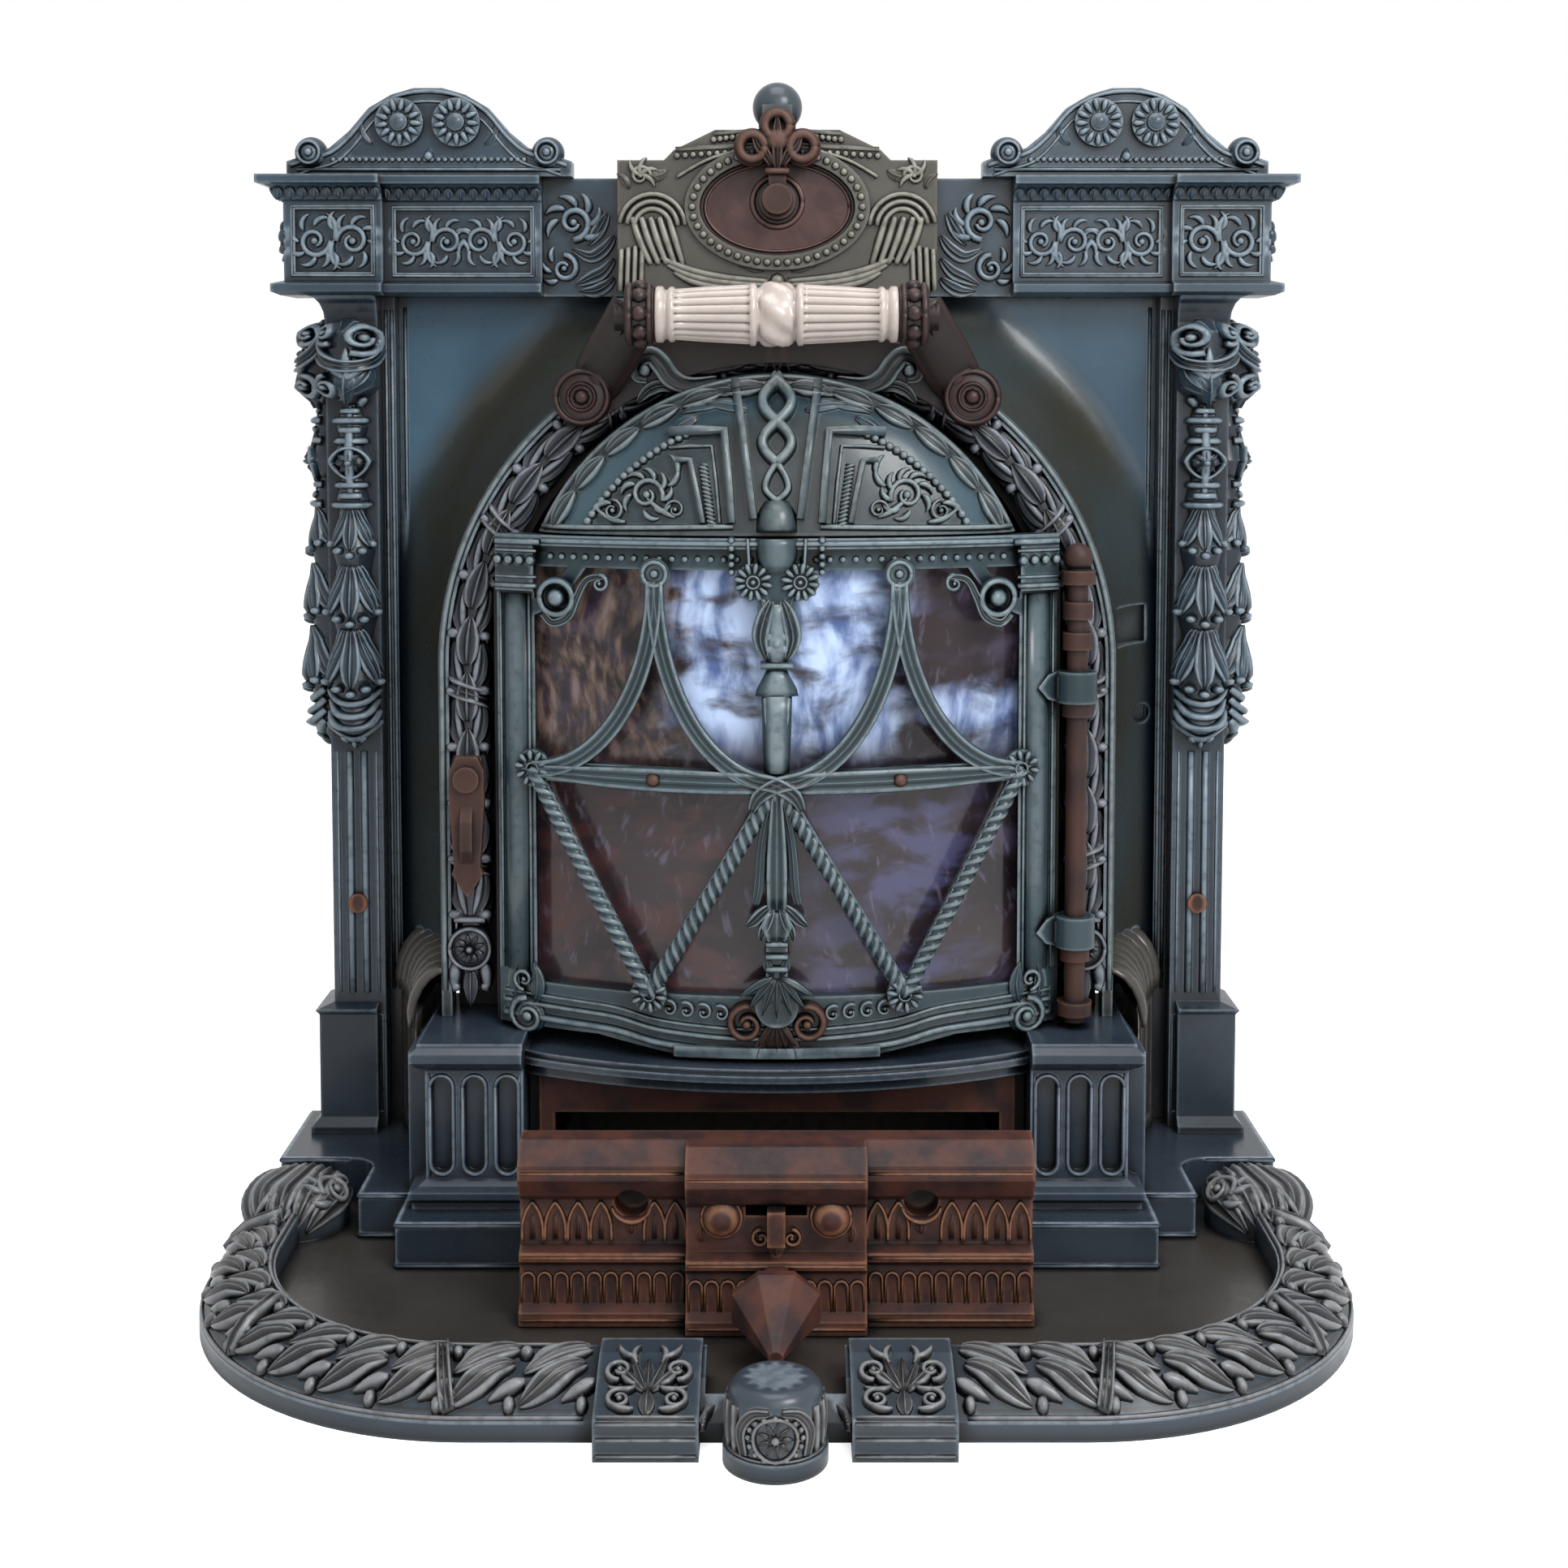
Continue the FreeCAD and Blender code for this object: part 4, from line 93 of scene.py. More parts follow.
ROUND = both_sides((-1.0, 0.0, 0.2), (-0.78, 0.62, 0.6), (-0.38, 0.93, 0.9), (0.0, 1.0, 1.0))
LEAF = both_sides((-1.0, 0.0, 0.45), (-0.84, 0.55, 0.85), (-0.42, 0.5, 0.3), (-0.14, 0.66, 0.35),
                  (0.0, 1.0, 1.0))
RIBBON = both_sides((-1.0, 0.0, 0.3), (-0.84, 0.92, 1.0), (-0.6, 0.95, 0.8), (-0.32, 0.4, 0.1),
                    (0.0, 0.85, 0.85))
POD = both_sides((-1.0, 0.0, 0.4), (-0.88, 0.7, 0.9), (-0.64, 0.85, 1.0), (-0.36, 0.5, 0.15),
                 (-0.16, 0.62, 0.2), (0.0, 1.0, 1.0))
SMOOTH = both_sides((-1.0, 0.0, 0.4), (-0.8, 0.6, 0.6), (-0.4, 0.92, 0.76), (0.0, 1.0, 0.8))
ARM = both_sides((-1.0, -0.6, 0.3), (-0.92, 0.55, 0.8), (-0.6, 0.92, 0.6), (0.0, 1.0, 0.5))
SQUARE = ((-1.0, 0.0, 0.3), (-0.88, 1.0, 1.0), (0.88, 1.0, 0.6), (1.0, 0.0, 0.3))


def at(x, front, z):
    return Vector((x, FACADE_Y - front, z)) * MM


# Paths drawn on a flat sheet
def polar(u, v, radius, angle):
    """Point at a distance and an angle, in degrees, from another."""
    turn = math.radians(angle)
    return u + radius * math.cos(turn), v + radius * math.sin(turn)


def line(u0, v0, u1, v1, count=2):
    steps = [i / (count - 1) for i in range(count)]
    return [(u0 + (u1 - u0) * t, v0 + (v1 - v0) * t) for t in steps]


def arc(u, v, radius, start, end, count=14, squash=1.0):
    """Points on a circle or an upright-squashed oval, angles in degrees."""
    points = []
    for i in range(count):
        turn = math.radians(start + (end - start) * i / (count - 1))
        points.append((u + radius * math.cos(turn), v + radius * squash * math.sin(turn)))
    return points


def spiral(u, v, outer, inner, start, sweep, count=22):
    points = []
    for i in range(count):
        t = i / (count - 1)
        points.append(polar(u, v, outer + (inner - outer) * t, start + sweep * t))
    return points


def flowing(corners, steps=5):
    """Smooth path through a few points."""
    points = []
    ends = [corners[0]] + list(corners) + [corners[-1]]
    for a, b, c, d in zip(ends, ends[1:], ends[2:], ends[3:]):
        for i in range(steps):
            t = i / steps
            weights = (-t + 2 * t * t - t ** 3, 2 - 5 * t * t + 3 * t ** 3, t + 4 * t * t - 3 * t ** 3,
                       t ** 3 - t * t)
            points.append(tuple(sum(w * p[k] for w, p in zip(weights, (a, b, c, d))) / 2.0 for k in (0, 1)))
    return points + [tuple(corners[-1])]


def curling(u, v, angle, length, curl, steps):
    """Path that leaves a point at an angle and turns by the curl as it goes, in degrees."""
    path = [(u, v)]
    for i in range(steps - 1):
        path.append(polar(*path[-1], length / (steps - 1), angle + curl * i / (steps - 2)))
    return path


def along(value, share):
    """A fixed number, or a list of numbers read off evenly along a path."""
    if not isinstance(value, (tuple, list)):
        return value
    place = share * (len(value) - 1)
    first = min(int(place), len(value) - 2)
    part = place - first
    return value[first] * (1.0 - part) + value[first + 1] * part


def scaled(values, size):
    return [value * size for value in values]


class Shape:
    """Points, a brightness at each that gives worn crowns with a painted highlight and grooves with painted
    shade, and faces.
    """

    def __init__(self):
        self.points = []
        self.lift = []
        self.faces = []


class Relief(Shape):
    """Carved ornament drawn on a flat sheet: across, up and out, in millimetres."""

    def stroke(self, path, width, height, section=ROUND, base=0.0):
        start = len(self.points)
        count = len(path)
        wide = len(section) + 2
        for i, (u, v) in enumerate(path):
            before = path[max(i - 1, 0)]
            after = path[min(i + 1, count - 1)]
            du, dv = after[0] - before[0], after[1] - before[1]
            length = math.hypot(du, dv) or 1.0
            share = i / (count - 1)
            half = along(width, share) / 2.0
            nu, nv = -dv / length * half, du / length * half
            rise = along(height, share)
            low = along(base, share)
            for x, y, bright in section:
                self.points.append((u + nu * x, v + nv * x, low + y * rise))
                self.lift.append(bright)
            for x in (1.0, -1.0):
                self.points.append((u + nu * x, v + nv * x, low - SINK))
                self.lift.append(0.0)
        for i in range(count - 1):
            for k in range(wide):
                a = start + i * wide + k
                b = start + i * wide + (k + 1) % wide
                self.faces.append((a, a + wide, b + wide, b))
        self.faces.append(tuple(range(start, start + wide)))
        self.faces.append(tuple(range(len(self.points) - 1, len(self.points) - wide - 1, -1)))

    def bead(self, u, v, radius, height=None, base=0.0, sides=8):
        start = len(self.points)
        rise = radius if height is None else height
        rings = ((1.0, None, 0.0), (1.0, 0.0, 0.2), (0.86, 0.5, 0.6), (0.5, 0.87, 0.95))
        for wide, out, bright in rings:
            for i in range(sides):
                turn = 2.0 * math.pi * i / sides
                h = base - SINK if out is None else base + out * rise
                self.points.append((u + radius * wide * math.cos(turn), v + radius * wide * math.sin(turn),
                                    h))
                self.lift.append(bright)
        self.points.append((u, v, base + rise))
        self.lift.append(1.0)
        top = len(self.points) - 1
        for ring in range(len(rings) - 1):
            for i in range(sides):
                a = start + ring * sides + i
                b = start + ring * sides + (i + 1) % sides
                self.faces.append((a, b, b + sides, a + sides))
        last = start + (len(rings) - 1) * sides
        for i in range(sides):
            self.faces.append((last + i, last + (i + 1) % sides, top))
        self.faces.append(tuple(range(start + sides - 1, start - 1, -1)))

    def leaf(self, u, v, angle, length, width, height=2.5, curl=0.0, base=0.0, steps=7):
        """Pointed leaf with a mid rib that starts at a point and curls as it goes."""
        path = curling(u, v, angle, length, curl, steps)
        self.stroke(path, scaled((0.3, 0.8, 1.0, 0.85, 0.5, 0.06), width),
                    scaled((0.6, 0.9, 1.0, 1.0, 0.8), height), LEAF, base)

    def comma(self, u, v, angle, length, width, height, curl=0.0, base=0.0):
        """Rounded curl that swells off its root and tapers to its tip."""
        self.stroke(curling(u, v, angle, length, curl, 8), scaled((0.5, 1.0, 0.95, 0.7, 0.25), width),
                    scaled((0.8, 1.0, 1.0, 0.85, 0.55), height), ROUND, base)

    def curls(self, u, v, radius, angles, lean, *shape):
        """Commas that sprout off a circle, each leaning from its own way out."""
        for angle in angles:
            self.comma(*polar(u, v, radius, angle), angle + lean, *shape)

    def pod(self, corners, width, height, base=0.0):
        """Broad pointed leaf along a flowing path, with raised edges and a raised mid rib."""
        self.stroke(flowing(corners, 4), scaled((0.3, 0.8, 1.0, 1.0, 0.7, 0.12), width),
                    scaled((0.5, 0.9, 1.0, 1.0, 0.85, 0.5), height), POD, base)

    def scroll(self, u, v, radius, start, sweep, width, height, base=0.0):
        """Volute that winds in to a round eye."""
        path = spiral(u, v, radius, radius * 0.3, start, sweep, max(12, int(abs(sweep) / 22.0)))
        self.stroke(path, scaled((1.0, 0.9, 0.6), width), height, ROUND, base)
        self.bead(u, v, radius * 0.3, height * 1.1, base)

    def rosette(self, u, v, radius, petals, height=3.0, base=0.0, eye=0.32):
        start = radius * eye
        for i in range(petals):
            turn = 360.0 * i / petals
            self.leaf(*polar(u, v, start, turn), turn, radius - start, radius * 2.6 / petals * 1.3, height,
                      0.0, base, 5)
        self.bead(u, v, radius * eye * 0.9, height * 1.2, base)

    def ring(self, u, v, radius, width, height, base=0.0, squash=1.0, count=28):
        self.stroke(arc(u, v, radius, 0.0, 360.0, count, squash), width, height, ROUND, base)

    def fan(self, u, v, inner, outer, start, end, count, width, height=2.5, base=0.0):
        for i in range(count):
            angle = start + (end - start) * i / max(count - 1, 1)
            self.leaf(*polar(u, v, inner, angle), angle, outer - inner, width, height, 0.0, base, 6)

    def outline(self, path, width, height, section=ROUND, base=0.0):
        """Stroke that comes back to where it started."""
        self.stroke(list(path) + [path[0]], width, height, section, base)

    def mirror(self):
        """The same ornament added again on the other side of the sheet's upright middle."""
        count = len(self.points)
        self.points += [(-u, v, h) for u, v, h in self.points]
        self.lift += list(self.lift)
        self.faces += [tuple(i + count for i in reversed(face)) for face in self.faces]
        return self


def drawn(draw):
    """Turns a function that draws on a relief into one that gives back a fresh relief."""
    def fresh(*sizes):
        relief = Relief()
        draw(relief, *sizes)
        return relief
    return fresh


# Places that a sheet is laid on
def flat(front, sign=1):
    return lambda u, v, h: at(sign * u, front + h, v)


def flank(x, sign=1):
    """Outer side face at a given x: across runs forward, up runs up."""
    return lambda u, v, h: at(sign * (x + h), u, v)


def lid(z, sign=1):
    """Top face: across runs in x, up runs forward."""
    return lambda u, v, h: at(sign * u, v, z + h)


def bow(lift):
    """Round the door's bow, a given height off its face."""
    def place(u, v, h):
        radius = DOOR_RADIUS + lift + h
        return at(u, DOOR_CENTRE + math.sqrt(radius * radius - u * u), v)
    return place


def dome(u, v, h):
    """Over the hood's bowl, outwards along its slope."""
    up = v - HOOD_CENTRE
    reach = max(math.hypot(u, up), 1e-6)
    share = min(reach / HOOD_RADIUS, 0.985)
    drop = math.sqrt(1.0 - share * share)
    slope = HOOD_BOW * share / (HOOD_RADIUS * drop)
    size = math.hypot(slope, 1.0)
    out = h * slope / size / reach
    return at(u + u * out, HOOD_EDGE + HOOD_BOW * drop + h / size, v + up * out)


def lit_mesh(name, points, edges, faces, bright):
    """Mesh that carries, at each of its points, the brightness that sets worn glaze with a painted
    highlight on crowns and painted shade in grooves.
    """
    mesh = bpy.data.meshes.new(name)
    mesh.from_pydata(points, edges, faces)
    mesh.attributes.new("lift", "FLOAT", "POINT").data.foreach_set("value", bright)
    return mesh


class Carving(Shape):
    """Ornament of one piece, gathered in the model's own frame and made one mesh."""

    def put(self, relief, place):
        start = len(self.points)
        depth = bpy.context.scene.stove.relief_depth
        self.points += [place(u, v, h * depth if h > 0.0 else h) for u, v, h in relief.points]
        self.lift += relief.lift
        self.faces += [tuple(i + start for i in face) for face in relief.faces]
        return self

    def take(self, mesh):
        """Adds a realised mesh, with its brightness, and deletes it."""
        start = len(self.points)
        self.points += [vertex.co.copy() for vertex in mesh.vertices]
        bright = mesh.attributes.get("lift")
        self.lift += [item.value for item in bright.data] if bright else [0.5] * len(mesh.vertices)
        self.faces += [tuple(i + start for i in face.vertices) for face in mesh.polygons]
        bpy.data.meshes.remove(mesh)
        return self

    def finish(self, name, material, body, slot, replaced=None):
        mesh = lit_mesh(name, self.points, [], self.faces, self.lift)
        cleaner = bmesh.new()
        cleaner.from_mesh(mesh)
        bmesh.ops.recalc_face_normals(cleaner, faces=cleaner.faces)
        cleaner.to_mesh(mesh)
        cleaner.free()
        mesh.shade_smooth()
        mesh.materials.append(material)
        piece = bpy.data.objects.new(name, mesh)
        bpy.context.scene.collection.objects.link(piece)
        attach(piece, body)
        if replaced:
            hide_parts(replaced)


# Geometry node trees for what repeats or follows a path
def feed(tree, made, inputs):
    """Sets or links a node's inputs by name or number."""
    for name, value in inputs.items():
        if isinstance(value, bpy.types.NodeSocket):
            tree.links.new(value, made.inputs[name])
        else:
            made.inputs[name].default_value = value


def tree_node(tree, kind, inputs=None, **settings):
    """Adds a node, sets its options and feeds its inputs."""
    made = tree.nodes.new(kind)
    for name, value in settings.items():
        setattr(made, name, value)
    feed(tree, made, inputs or {})
    return made


def new_tree(name, sockets):
    tree = bpy.data.node_groups.new(name, "GeometryNodeTree")
    tree.interface.new_socket("Geometry", in_out="INPUT", socket_type="NodeSocketGeometry")
    for label, kind in sockets:
        tree.interface.new_socket(label, in_out="INPUT", socket_type=kind)
    tree.interface.new_socket("Geometry", in_out="OUTPUT", socket_type="NodeSocketGeometry")
    return tree, tree_node(tree, "NodeGroupInput").outputs


def stepped_path(tree, given):
    """The given path as a curve, cut into the given number of steps."""
    path = tree_node(tree, "GeometryNodeMeshToCurve", {"Mesh": given["Geometry"]}).outputs["Curve"]
    values = {"Curve": path, "Count": given["Count"]}
    return tree_node(tree, "GeometryNodeResampleCurve", values).outputs["Curve"]


def close_tree(tree, geometry, given):
    """Makes the geometry real, gives it its finish and hands it out."""
    real = tree_node(tree, "GeometryNodeRealizeInstances", {"Geometry": geometry}).outputs["Geometry"]
    done = tree_node(tree, "GeometryNodeSetMaterial", {"Geometry": real, "Material": given["Finish"]})
    tree_node(tree, "NodeGroupOutput", {"Geometry": done.outputs["Geometry"]})
    return tree


def motif_row_tree():
    """Sets a carved motif at even steps along a path, standing on the surface that the path lies on."""
    tree, given = new_tree("motif row", (("Motif", "NodeSocketObject"), ("Count", "NodeSocketInt"),
                                         ("Size", "NodeSocketFloat"), ("Finish", "NodeSocketMaterial")))
    steps = stepped_path(tree, given)
    facing = tree_node(tree, "GeometryNodeInputNamedAttribute", {"Name": "facing"},
                       data_type="FLOAT_VECTOR")
    heading = tree_node(tree, "GeometryNodeInputTangent").outputs[0]
    turn = tree_node(tree, "FunctionNodeAxesToRotation", {0: facing.outputs["Attribute"], 1: heading},
                     primary_axis="Z", secondary_axis="X").outputs[0]
    item = tree_node(tree, "GeometryNodeObjectInfo", {"Object": given["Motif"]}).outputs["Geometry"]
    values = {"Points": steps, "Instance": item, "Rotation": turn, "Scale": given["Size"]}
    placed = tree_node(tree, "GeometryNodeInstanceOnPoints", values).outputs["Instances"]
    return close_tree(tree, placed, given)


def twisted_rope_tree():
    """Runs a section along a path, turning it steadily so that its lobes wind like strands."""
    tree, given = new_tree("twisted rope", (("Section", "NodeSocketObject"), ("Count", "NodeSocketInt"),
                                            ("Twist", "NodeSocketFloat"), ("Finish", "NodeSocketMaterial")))
    steps = stepped_path(tree, given)
    length = tree_node(tree, "GeometryNodeSplineParameter").outputs["Length"]
    turn = times(tree, length, given["Twist"])
    tilted = tree_node(tree, "GeometryNodeSetCurveTilt", {"Curve": steps, "Tilt": turn}).outputs["Curve"]
    section = tree_node(tree, "GeometryNodeObjectInfo", {"Object": given["Section"]}).outputs["Geometry"]
    loop = tree_node(tree, "GeometryNodeMeshToCurve", {"Mesh": section}).outputs["Curve"]
    values = {"Curve": tilted, "Profile Curve": loop, "Fill Caps": True}
    strands = tree_node(tree, "GeometryNodeCurveToMesh", values).outputs["Mesh"]
    return close_tree(tree, strands, given)


TREES = {}


def grow(maker, points, facings, closed, values):
    """Runs a tree on a path and gives back the plain mesh that it makes."""
    tree = TREES.get(maker) or TREES.setdefault(maker, maker())
    path = bpy.data.meshes.new("path")
    edges = [(i, i + 1) for i in range(len(points) - 1)]
    if closed:
        edges.append((len(points) - 1, 0))
    path.from_pydata(points, edges, [])
    facing = path.attributes.new("facing", "FLOAT_VECTOR", "POINT")
    facing.data.foreach_set("vector", [c for item in facings for c in item])
    carrier = bpy.data.objects.new("path", path)
    bpy.context.scene.collection.objects.link(carrier)
    modifier = carrier.modifiers.new("row", "NODES")
    modifier.node_group = tree
    names = {item.name: item.identifier for item in tree.interface.items_tree if item.in_out == "INPUT"}
    for name, value in values.items():
        modifier[names[name]] = value
    graph = bpy.context.evaluated_depsgraph_get()
    mesh = bpy.data.meshes.new_from_object(carrier.evaluated_get(graph))
    bpy.data.objects.remove(carrier)
    bpy.data.meshes.remove(path)
    return mesh


MOTIFS = {}


def motif(name, draw):
    """A carved motif drawn once at its real size, kept out of sight for the trees to copy."""
    if name not in MOTIFS:
        relief = Relief()
        draw(relief)
        points = [Vector(point) * MM for point in relief.points]
        mesh = lit_mesh(name, points, [], relief.faces, relief.lift)
        MOTIFS[name] = bpy.data.objects.new(name, mesh)
    return MOTIFS[name]


def clear_motifs():
    for item in MOTIFS.values():
        bpy.data.objects.remove(item)
    MOTIFS.clear()


def surface_path(path, place):
    """Path on a sheet carried to the model's frame, with the way that the surface faces at each point."""
    points = [place(u, v, 0.0) for u, v in path]
    facings = [(place(u, v, 1.0) - place(u, v, 0.0)).normalized() for u, v in path]
    return points, facings


def row(carving, path, place, item, count, material, size=1.0, closed=False):
    """Motifs at even steps along a path. An open path is run the way that stands them upright."""
    points, facings = surface_path(path, place)
    if not closed and facings[0].cross(points[-1] - points[0]).z < 0.0:
        points.reverse()
        facings.reverse()
    values = {"Motif": item, "Count": count, "Size": size, "Finish": material}
    return carving.take(grow(motif_row_tree, points, facings, closed, values))


def bead_motif(radius):
    return motif("bead %.2f" % radius, lambda relief: relief.bead(0.0, 0.0, radius, radius * 1.1))


def strand_section(radius, lobes):
    """Outline of a rope with rounded strands, bright on their crowns."""
    name = "strands %.2f %d" % (radius, lobes)
    if name not in MOTIFS:
        count = lobes * 6
        points = []
        bright = []
        for i in range(count):
            turn = 2.0 * math.pi * i / count
            crown = abs(math.cos(lobes * turn / 2.0))
            reach = radius * (0.78 + 0.22 * crown) * MM
            points.append((reach * math.cos(turn), reach * math.sin(turn), 0.0))
            bright.append(crown)
        mesh = lit_mesh(name, points, [(i, (i + 1) % count) for i in range(count)], [], bright)
        MOTIFS[name] = bpy.data.objects.new(name, mesh)
    return MOTIFS[name]


def rope(carving, path, place, radius, lobes, turns, material):
    """Rope of twisted strands along a path on a sheet."""
    points, facings = surface_path(path, place)
    length = sum((b - a).length for a, b in zip(points, points[1:]))
    values = {"Section": strand_section(radius, lobes), "Count": max(24, int(abs(turns) * 14)),
              "Twist": 2.0 * math.pi * turns / length, "Finish": material}
    return carving.take(grow(twisted_rope_tree, points, facings, False, values))


# Shared shader effects
def srgb(red, green, blue):
    """A colour as the eye reads it, 0 to 255, as a shader colour."""
    def linear(value):
        value /= FULL_COLOUR
        return value / 12.92 if value <= 0.04045 else ((value + 0.055) / 1.055) ** 2.4
    return linear(red), linear(green), linear(blue), 1.0


def math_node(tree, operation, first, second=0.0, clamp=False):
    return tree_node(tree, "ShaderNodeMath", {0: first, 1: second}, operation=operation,
                     use_clamp=clamp).outputs[0]


def times(tree, first, second, clamp=False):
    return math_node(tree, "MULTIPLY", first, second, clamp)


def plus(tree, first, second, clamp=False):
    return math_node(tree, "ADD", first, second, clamp)


def off_by(tree, value, middle):
    """How far a value lies from a middle one, either way."""
    return math_node(tree, "ABSOLUTE", math_node(tree, "SUBTRACT", value, middle))


def mix_colour(tree, factor, first, second):
    values = {"Factor": factor, 6: first, 7: second}
    return tree_node(tree, "ShaderNodeMix", values, data_type="RGBA").outputs[2]


def on_object(tree):
    return tree_node(tree, "ShaderNodeTexCoord").outputs["Object"]


def openness(tree, distance, samples, inside=False):
    """1 in the open and 0 in a corner, or the same seen from inside the casting."""
    return tree_node(tree, "ShaderNodeAmbientOcclusion", {"Distance": distance}, samples=samples,
                     inside=inside).outputs["AO"]


def noise(tree, place, scale, detail=4.0, stretch=None, output="Fac"):
    if stretch:
        place = tree_node(tree, "ShaderNodeMapping", {"Vector": place, "Scale": stretch}).outputs[0]
    values = {"Vector": place, "Scale": scale, "Detail": detail}
    return tree_node(tree, "ShaderNodeTexNoise", values).outputs[output]


def between(tree, value, low, high):
    """0 below one value and 1 above another, with a soft step."""
    return tree_node(tree, "ShaderNodeMapRange", {"Value": value, "From Min": low, "From Max": high},
                     interpolation_type="SMOOTHSTEP").outputs["Result"]


def casting_wear_and_shade_group():
    """Glaze that thins to pale on ridges, with a painted highlight there too, and pools dark in hollows and
    grooves, with painted shade added, over a cloudy ground.
    """
    tree = bpy.data.node_groups.new("casting wear and shade", "ShaderNodeTree")
    for label, kind in (("Ground", "Color"), ("Cloud", "Color"), ("Ridge", "Color"), ("Hollow", "Color"),
                        ("Ridge Amount", "Float"), ("Edge Amount", "Float"), ("Hollow Amount", "Float"),
                        ("Cloud Scale", "Float"), ("Grain Scale", "Float")):
        tree.interface.new_socket(label, in_out="INPUT", socket_type="NodeSocket" + kind)
    for label, kind in (("Color", "Color"), ("Grain", "Float")):
        tree.interface.new_socket(label, in_out="OUTPUT", socket_type="NodeSocket" + kind)
    given = tree_node(tree, "NodeGroupInput").outputs
    place = on_object(tree)
    cloud = between(tree, noise(tree, place, given["Cloud Scale"], 5.0), 0.35, 0.68)
    grain = noise(tree, place, given["Grain Scale"], 6.0)
    open_sky = openness(tree, 0.012, 8)
    edge = openness(tree, 0.003, 6, True)
    lift = tree_node(tree, "ShaderNodeAttribute", attribute_name="lift").outputs["Fac"]
    # Ridge colour on raised crowns: worn glaze and a painted highlight.
    carved = times(tree, between(tree, lift, 0.6, 1.0), given["Ridge Amount"])
    uncarved = between(tree, lift, 0.05, 0.02)
    bare = times(tree, between(tree, edge, 0.75, 0.42), given["Edge Amount"])
    bare = times(tree, bare, uncarved)
    worn = math_node(tree, "MAXIMUM", carved, bare)
    patchy = plus(tree, times(tree, between(tree, grain, 0.3, 0.6), 0.5), 0.55, True)
    worn = times(tree, worn, patchy, True)
    # Ridge colour fades in recesses, where shade falls.
    worn = times(tree, worn, between(tree, open_sky, 0.2, 0.8))
    # Painted shade: hollow colour where ambient occlusion finds recesses, on top of pooled glaze.
    pooled_glaze_and_shade = times(tree, between(tree, open_sky, 0.9, 0.38), given["Hollow Amount"], True)
    # Painted shade in the grooves of carved strokes.
    cut = times(tree, between(tree, lift, 0.36, 0.14), between(tree, lift, 0.02, 0.08))
    pooled_glaze_and_shade = math_node(tree, "MAXIMUM", pooled_glaze_and_shade, times(tree, cut, 0.7))
    ground = mix_colour(tree, cloud, given["Ground"], given["Cloud"])
    ground = mix_colour(tree, pooled_glaze_and_shade, ground, given["Hollow"])
    colour = mix_colour(tree, worn, ground, given["Ridge"])
    tree_node(tree, "NodeGroupOutput", {"Color": colour, "Grain": grain})
    return tree


GROUPS = {}
FINISHES = {}


def shader_group(maker):
    return GROUPS.get(maker) or GROUPS.setdefault(maker, maker())


def new_material(name):
    material = bpy.data.materials.new(name)
    material.use_nodes = True
    tree = material.node_tree
    return material, tree, tree.nodes["Principled BSDF"]


def soft_edges(tree, height, strength, radius):
    """Bump over normals that are rounded at sharp edges."""
    rounded = tree_node(tree, "ShaderNodeBevel", {"Radius": radius}, samples=4).outputs["Normal"]
    return tree_node(tree, "ShaderNodeBump", {"Strength": strength, "Distance": 0.0006, "Height": height,
                                              "Normal": rounded}).outputs["Normal"]


def add_casting(key, name, ground, cloud, ridge, hollow, ridge_amount=0.6, edge_amount=0.6,
                hollow_amount=1.0, cloud_scale=14.0, grain_scale=160.0, gloss=(0.2, 0.4), coat=0.12,
                bump=0.12, zone=None, zone_ground=None, zone_cloud=None):
    """A cast and glazed, painted or rusted finish. A zone, where there is one, has a ground of its own. Its
    ridge colour goes on crowns as wear with a painted highlight, its hollow colour in recesses as painted
    shade.
    """
    material, tree, surface = new_material(name)
    values = {"Ground": srgb(*ground), "Cloud": srgb(*cloud), "Ridge": srgb(*ridge),
              "Hollow": srgb(*hollow), "Ridge Amount": ridge_amount, "Edge Amount": edge_amount,
              "Hollow Amount": hollow_amount, "Cloud Scale": cloud_scale, "Grain Scale": grain_scale}
    if zone:
        inside = zone(tree)
        values["Ground"] = mix_colour(tree, inside, srgb(*ground), srgb(*zone_ground))
        values["Cloud"] = mix_colour(tree, inside, srgb(*cloud), srgb(*zone_cloud))
    wear = tree_node(tree, "ShaderNodeGroup", values, node_tree=shader_group(casting_wear_and_shade_group))
    grain = wear.outputs["Grain"]
    dull = tree_node(tree, "ShaderNodeMapRange", {"Value": grain, "To Min": gloss[0], "To Max": gloss[1]})
    feed(tree, surface, {"Base Color": wear.outputs["Color"], "Roughness": dull.outputs["Result"],
                         "Normal": soft_edges(tree, grain, bump, 0.0012), "Specular IOR Level": 0.28,
                         "Coat Weight": coat, "Coat Roughness": 0.12})
    FINISHES[key] = material


def position(tree):
    """Place on the model, axis by axis, in metres."""
    return tree_node(tree, "ShaderNodeSeparateXYZ", {"Vector": on_object(tree)}).outputs


def reach_from(tree, height):
    """How far across from the upright middle, and how far over a height on it."""
    place = position(tree)
    return place["X"], math_node(tree, "SUBTRACT", place["Z"], height * MM)


def length_of(tree, x, rise):
    return math_node(tree, "SQRT", plus(tree, times(tree, x, x), times(tree, rise, rise)))


def cove_zone(tree):
    """1 in the hollow round the arch and down its legs, 0 on the flat panel."""
    x, rise = reach_from(tree, ARCH_CENTRE)
    reach = length_of(tree, x, math_node(tree, "MAXIMUM", rise, 0.0))
    return between(tree, reach, COVE_OUT * MM, COVE_IN * MM)


def floor_zone(tree):
    """1 on the hearth's flat floor, 0 on its border."""
    return between(tree, off_by(tree, position(tree)["Z"], HEARTH_FLOOR * MM), 0.0006, 0.0002)


